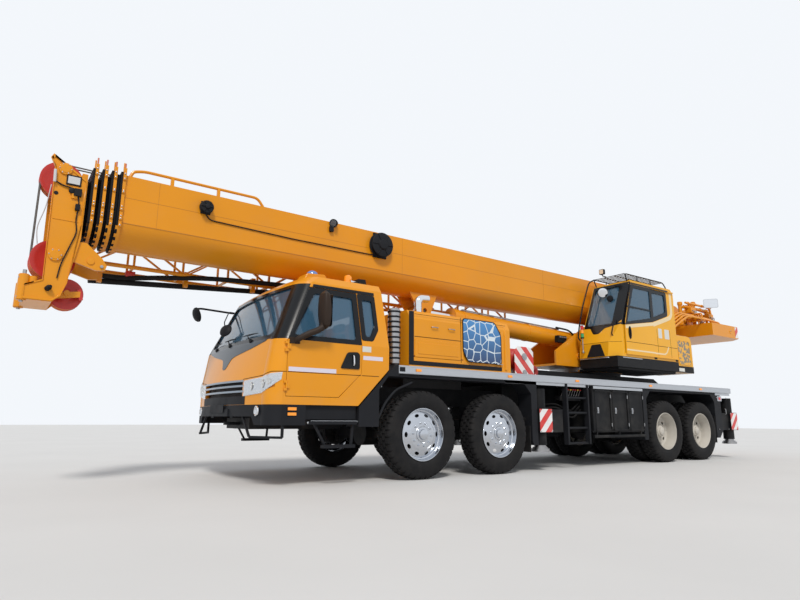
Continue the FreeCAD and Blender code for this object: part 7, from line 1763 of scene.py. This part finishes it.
def turntable_details():
    """Slew bearing with its bolts, hub covers on the pins, hoses along the cheeks and the slew motor."""
    bearing, bolts, caps, hose = (Shape() for _ in range(4))
    bearing.turned([(1.752, 0.7), (1.752, 0.752), (1.77, 0.756), (1.8, 0.756), (1.804, 0.744), (1.84, 0.744),
                    (1.842, 0.7)], (-5.45, 0.0, 0.0), "z", 96, caps=False)
    places = ring_places((-5.45, 0.0, 1.88), 0.66, 48, "z")
    for place in places:
        if abs(place[1]) < 0.4:
            bolts.disc_on(place, (0, 0, 1), [(-0.002, 0.016), (0.016, 0.016), (0.019, 0.012), (0.019, 0.001)], 6)
    for x, z, radius in ((-7.45, 3.15, 0.085), (-4.7, 2.05, 0.07)):
        hub = np.array((x, 0.4195, z))
        caps.disc_on(hub, (0, 1, 0), [(-0.003, radius), (0.018, radius), (0.022, radius - 0.006),
                                      (0.022, radius * 0.55), (0.012, radius * 0.5), (0.012, 0.002)], 32)
        for bolt in ring_places(hub, radius * 0.78, 6):
            bolts.disc_on(bolt, (0, 1, 0), [(0.018, 0.008), (0.032, 0.008), (0.033, 0.001)], 6)
    for step in range(3):
        z = 2.3 + 0.045 * step
        hose.tube([(-5.0, 0.435, 2.02), (-5.25, 0.437, z - 0.05), (-6.6, 0.437, z + 0.16), (-7.15, 0.437, z + 0.5),
                   (-7.3, 0.437, 2.95)], 0.013, bend=0.2, sides=8)
    for x, z in ((-5.7, 2.395), (-6.4, 2.5)):
        bolts.block((x - 0.02, x + 0.02), (0.419, 0.455), (z - 0.09, z + 0.09))
    mirror(caps, bolts, hose)
    caps.turned([(1.882, 0.115), (1.896, 0.115), (1.9, 0.085), (2.12, 0.085), (2.13, 0.07), (2.18, 0.07),
                 (2.186, 0.01)], (-6.05, 0.22, 0.0), "z", 28)
    caps.turned([(1.882, 0.115), (1.896, 0.115), (1.9, 0.085), (2.12, 0.085), (2.13, 0.07), (2.18, 0.07),
                 (2.186, 0.01)], (-6.05, -0.22, 0.0), "z", 28)
    bearing.done("slew_bearing", STEEL, "turntable")
    bolts.done("turntable_bolts", STEEL, "turntable")
    caps.done("turntable_hubs_and_slew_motors", BOOM, "turntable")
    hose.done("turntable_hoses", RUBBER, "turntable")


for build in (operator_surrounds, operator_panels, operator_door_handle, operator_roof, light_column, cooler_details,
              counterweight_details, winch_details, turntable_details):
    build()


# ---- inside the cabs: seats, dash, steering wheel and control consoles

def cushion(middle, ahead, up, half, dish=0.01):
    """A stuffed pad. Its outline is a squared round, |cos|^0.35 by |sin|^0.35, and its thickness falls off
    towards the rim as a soft power, with two stitched grooves along it and raised bolsters at its sides."""
    ahead, up = unit(np.array(ahead, float)), unit(np.array(up, float))
    across = np.array((0.0, 1.0, 0.0))
    rise = np.linspace(-math.pi / 2, math.pi / 2, 25)[:, None]
    turns = circle(72)[None, :]

    def power(wave, exponent):
        return np.sign(wave) * np.abs(wave) ** exponent

    reach = np.cos(rise) ** 0.3
    x = half[0] * power(np.cos(turns), 0.35) * reach
    y = half[1] * power(np.sin(turns), 0.35) * reach
    top = np.maximum(np.sin(rise), 0)
    groove = np.exp(-((np.abs(y) - half[1] * 0.52) / 0.01) ** 2)
    crown = 1.12 - 0.25 * (x / half[0]) ** 2 * (y / half[1]) ** 2
    z = half[2] * power(np.sin(rise), 0.75) * crown + top * (dish * (y / half[1]) ** 2 - 0.007 * groove)
    grid = middle + x[..., None] * ahead + y[..., None] * across + z[..., None] * up
    seam = turns[0]
    welt = np.column_stack([half[0] * power(np.cos(seam), 0.35), half[1] * power(np.sin(seam), 0.35)])
    path = middle + welt[:, :1] * ahead + welt[:, 1:] * across
    outward = unit(path - middle)
    angles = circle(8)[:, None, None]
    ring = path + 0.006 * (outward * np.cos(angles) + up * np.sin(angles))
    ring = ring.transpose(1, 0, 2)
    return grid, np.concatenate([ring, ring[:1]])


def seat(label, x, y, floor, body, replaces):
    """A suspended seat: foot, bellows, pan, padded cushion, backrest and headrest."""
    base, bellows, steel = Shape(), Shape(), Shape()
    base.prism("plan", (floor, floor + 0.05), rectangle((x - 0.19, x + 0.19), (y - 0.17, y + 0.17), 0.03))
    base.prism("plan", (floor + 0.3, floor + 0.345), rectangle((x - 0.21, x + 0.2), (y - 0.2, y + 0.2), 0.05))
    corners = rectangle((-0.15, 0.15), (-0.14, 0.14), 0.06)
    rows = np.arange(17)
    grow = 1 + 0.09 * (rows % 2)
    rings = corners[None] * grow[:, None, None]
    levels = np.broadcast_to((floor + 0.048 + rows * 0.0158)[:, None, None], rings.shape[:2] + (1,))
    bellows.skin(np.concatenate([rings + (x, y), levels], axis=-1))
    lean = np.array((-0.1435, 0.0, 0.9896))
    facing = np.array((0.9896, 0.0, 0.1435))
    foot = np.array((x - 0.205, y, floor + 0.36))
    for side in (-1, 1):
        steel.disc_on(foot + (0.01, side * 0.222, 0.03), (0, side, 0), [(-0.01, 0.045), (0.008, 0.045), (0.012, 0.03),
                                                                        (0.012, 0.002)], 20)
        post = foot + lean * 0.56
        steel.tube([post + (0, side * 0.05, 0), post + lean * 0.13 + (0, side * 0.05, 0)], 0.007, sides=8)
    back = [(y - 0.19, floor + 0.38), (y + 0.19, floor + 0.38), (y + 0.17, floor + 0.62), (y - 0.17, floor + 0.62)]
    base.prism("front", (foot[0] - 0.055, foot[0] - 0.03), outline(back, 0.04, 3))
    pads = {
        "cushion": (np.array((x + 0.005, y, floor + 0.398)), (1, 0, 0), (0, 0, 1), (0.232, 0.232, 0.052), 0.8),
        "back": (foot + lean * 0.31 + facing * 0.01, lean, facing, (0.285, 0.225, 0.046), 0.75),
        "headrest": (foot + lean * 0.69 + facing * 0.01, lean, facing, (0.055, 0.13, 0.036), 0.85),
    }
    for name, (middle, ahead, up, half, fill) in pads.items():
        pad = Shape()
        grid, welt = cushion(middle, ahead, up, half)
        pad.skin(grid, caps=False).skin(welt, caps=False)
        pad.done(f"{label}_{name}", SEAT, body, replaces)
    base.done(f"{label}_base", TRIM, body, replaces, edge=0.004)
    bellows.done(f"{label}_bellows", RUBBER, body)
    steel.done(f"{label}_hinges", STEEL, body)


def torus(middle, way, radius, tube, sides=48, around=12):
    """A ring of round section: middle + (radius + tube cos v)(first cos u + second sin u) + tube sin v way."""
    way = unit(np.array(way, float))
    first = unit(np.cross(way, (0.0, 1.0, 0.0)))
    second = np.cross(way, first)
    u = circle(sides)[:, None, None]
    v = circle(around)[None, :, None]
    spoke = first * np.cos(u) + second * np.sin(u)
    grid = middle + spoke * (radius + tube * np.cos(v)) + way * tube * np.sin(v)
    return np.concatenate([grid, grid[:1]])


def driver_controls():
    """Moulded dash with binnacle, gauges, vents and pedals, and the steering wheel on its column."""
    dash, dial, wheel, pale = (Shape() for _ in range(4))
    profile = outline([(1.968, 1.008), (2.088, 1.008), (2.092, 1.54), (2.03, 1.62), (1.905, 1.648), (1.856, 1.62),
                       (1.862, 1.53), (1.962, 1.42)], 0.035, 2)
    dash.prism("side", (-1.19, 1.19), profile)
    hood = outline([(1.88, 1.64), (2.045, 1.61), (2.0, 1.7), (1.905, 1.722), (1.862, 1.7)], 0.025, 2)
    dash.prism("side", (0.42, 0.88), hood)
    dash.prism("side", (-0.3, 0.26), outline([(1.855, 1.46), (1.9, 1.44), (1.9, 1.62), (1.848, 1.6)], 0.015, 2))
    for y in (0.52, 0.65, 0.78):
        middle = np.array((1.866, y, 1.668))
        dial.disc_on(middle, (-0.94, 0, 0.34), [(-0.006, 0.04), (0.006, 0.04), (0.007, 0.034), (0.003, 0.032)], 24)
        pale.disc_on(middle, (-0.94, 0, 0.34), [(0.001, 0.0325), (0.0035, 0.0325), (0.0036, 0.001)], 24)
    for y in np.linspace(-0.24, 0.2, 9):
        dial.block((1.846, 1.853), (y - 0.016, y + 0.016), (1.5, 1.53))
    for y in (-1.0, -0.5, 1.02):
        for z in (1.555, 1.57, 1.585):
            dial.block((1.852, 1.861), (y - 0.08, y + 0.08), (z, z + 0.006))
    for y in (0.56, 0.74):
        dial.plate(np.array([(1.9, y - 0.035, 1.06), (1.93, y - 0.035, 1.18), (1.93, y + 0.035, 1.18),
                             (1.9, y + 0.035, 1.06)]), 0.012, (-0.97, 0, 0.24))
        dial.tube([(1.925, y, 1.12), (1.98, y, 1.16)], 0.009, sides=8)
    way = np.array((-0.4226, 0.0, 0.9063))
    middle = np.array((1.73, 0.65, 1.65))
    wheel.skin(torus(middle, way, 0.195, 0.015), caps=False)
    wheel.disc_on(middle - way * 0.045, way, [(-0.015, 0.03), (0.0, 0.06), (0.02, 0.064), (0.03, 0.05), (0.033, 0.01),
                                              (0.033, 0.001)], 28)
    for angle in (0.0, 2.2, -2.2):
        spoke = np.array((0.9063, 0.0, 0.4226)) * math.cos(angle) + np.array((0.0, 1.0, 0.0)) * math.sin(angle)
        wheel.tube([middle - way * 0.035 + spoke * 0.05, middle - way * 0.02 + spoke * 0.12, middle + spoke * 0.19],
                   0.011, bend=0.04, sides=8)
    wheel.tube([middle - way * 0.055, middle - way * 0.3, (1.98, 0.65, 1.25)], 0.026, bend=0.06, sides=16)
    wheel.tube([middle - way * 0.11, middle - way * 0.085 + (0.0, 0.17, 0.0)], (0.008, 0.01), sides=8)
    dash.done("driver_dash", TRIM, replaces=["cab_interior"], edge=0.003)
    dial.done("dash_dials_vents_pedals", GLOSS_BLACK)
    pale.done("dash_gauge_faces", PLATE_BLANK)
    wheel.done("steering_wheel", GLOSS_BLACK)


def operator_controls():
    """Armrest consoles with levers beside the operator's seat, foot pedals and the screen on its arm."""
    console, lever, screen = Shape(), Shape(), Shape()
    for y in (0.655, 1.225):
        console.prism("side", (y - 0.04, y + 0.04), outline([(-5.9, 2.5), (-5.5, 2.5), (-5.47, 2.545), (-5.52, 2.58),
                                                             (-5.9, 2.565)], 0.018, 3))
        console.tube([(-5.78, y, 2.5), (-5.78, y, 2.3), (-5.8, y * 0.7 + 0.94 * 0.3, 2.26)], 0.022, bend=0.05)
        lever.turned([(2.57, 0.03), (2.6, 0.024), (2.612, 0.012), (2.63, 0.01), (2.65, 0.018), (2.7, 0.021),
                      (2.725, 0.015), (2.731, 0.002)], (-5.56, y, 0.0), "z", 20)
        for x in (-5.64, -5.68, -5.72, -5.76):
            lever.disc_on((x, y, 2.572), (0, 0, 1), [(-0.003, 0.01), (0.004, 0.01), (0.005, 0.001)], 12)
    for y in (0.8, 0.98):
        lever.plate(np.array([(-4.915, y - 0.04, 2.44), (-4.86, y - 0.04, 2.52), (-4.86, y + 0.04, 2.52),
                              (-4.915, y + 0.04, 2.44)]), 0.012, (-0.8, 0, 0.6))
    screen.prism("front", (-5.03, -5.0), rectangle((0.6, 0.745), (2.7, 2.9), 0.012))
    screen.tube([(-4.995, 0.65, 2.76), (-4.93, 0.64, 2.68), (-4.88, 0.62, 2.56)], 0.012, bend=0.04, sides=8)
    console.done("operator_consoles", TRIM, "turntable", edge=0.003)
    lever.done("operator_levers_and_pedals", GLOSS_BLACK, "turntable")
    screen.done("operator_screen", TRIM, "turntable", edge=0.002)


seat("driver_seat", 1.26, 0.65, 1.006, "chassis", ["cab_interior"])
seat("second_seat", 1.26, -0.65, 1.006, "chassis", ["cab_interior"])
seat("operator_seat_pad", -5.7, 0.94, 2.031, "turntable", ["operator_seat"])
driver_controls()
operator_controls()


def studio():
    """Pale floor, soft sky light and one large soft lamp."""
    floor_mesh = bpy.data.meshes.new("floor")
    reach = 60.0
    floor_mesh.from_pydata([(-reach, -reach, 0), (reach, -reach, 0), (reach, reach, 0), (-reach, reach, 0)], [],
                           [(0, 1, 2, 3)])
    floor = bpy.data.objects.new("floor", floor_mesh)
    bpy.context.scene.collection.objects.link(floor)
    ground = Finish("floor_pale", (0.62, 0.62, 0.62), 0.85)
    ground.set("Base Color", ground.mix(ground.noise(0.6, 4.0), (0.6, 0.6, 0.6), (0.66, 0.66, 0.66)))
    floor_mesh.materials.append(ground.bump(ground.noise(30.0), 0.05).material)

    world = bpy.data.worlds.new("sky")
    world.use_nodes = True
    bpy.context.scene.world = world
    sky = Nodes(world.node_tree)
    seen = sum(sky.node("LightPath", {}, {}, ray) for ray in ("Is Camera Ray", "Is Transmission Ray", "Is Glossy Ray"))
    background = world.node_tree.nodes["Background"]
    sky.feed(background.inputs["Color"], (0.9, 0.93, 0.97))
    sky.feed(background.inputs["Strength"], seen.between(0, 1) * 0.35 + 0.65)

    sun = bpy.data.lights.new("soft_sun", "SUN")
    sun.energy = 2.2
    sun.angle = math.radians(12)
    sun.color = (1.0, 0.96, 0.9)
    lamp_piece = bpy.data.objects.new("soft_sun", sun)
    lamp_piece.rotation_euler = Vector((0.45, 0.75, 0.95)).to_track_quat("Z", "Y").to_euler()
    bpy.context.scene.collection.objects.link(lamp_piece)


def camera():
    """Camera fitted to the photograph: 25.8 mm lens, standing low beside the front left corner."""
    data = bpy.data.cameras.new("camera")
    data.lens = 25.8
    data.sensor_width = 36.0
    data.clip_end = 400
    piece = bpy.data.objects.new("camera", data)
    yaw = math.radians(-125.64)
    pitch = math.radians(11.69)
    roll = math.radians(0.348)
    way = Vector((math.cos(yaw) * math.cos(pitch), math.sin(yaw) * math.cos(pitch), math.sin(pitch)))
    right = way.cross(Vector((0, 0, 1))).normalized()
    up = right.cross(way)
    turned_right = right * math.cos(roll) + up * math.sin(roll)
    turned_up = up * math.cos(roll) - right * math.sin(roll)
    turn = Matrix((turned_right, turned_up, -way)).transposed()
    piece.matrix_world = Matrix.Translation((AXLE_1 + 4.955, 7.693, 0.805)) @ turn.to_4x4()
    bpy.context.scene.collection.objects.link(piece)
    bpy.context.scene.camera = piece


studio()
camera()
bpy.context.scene.view_settings.view_transform = "Standard"
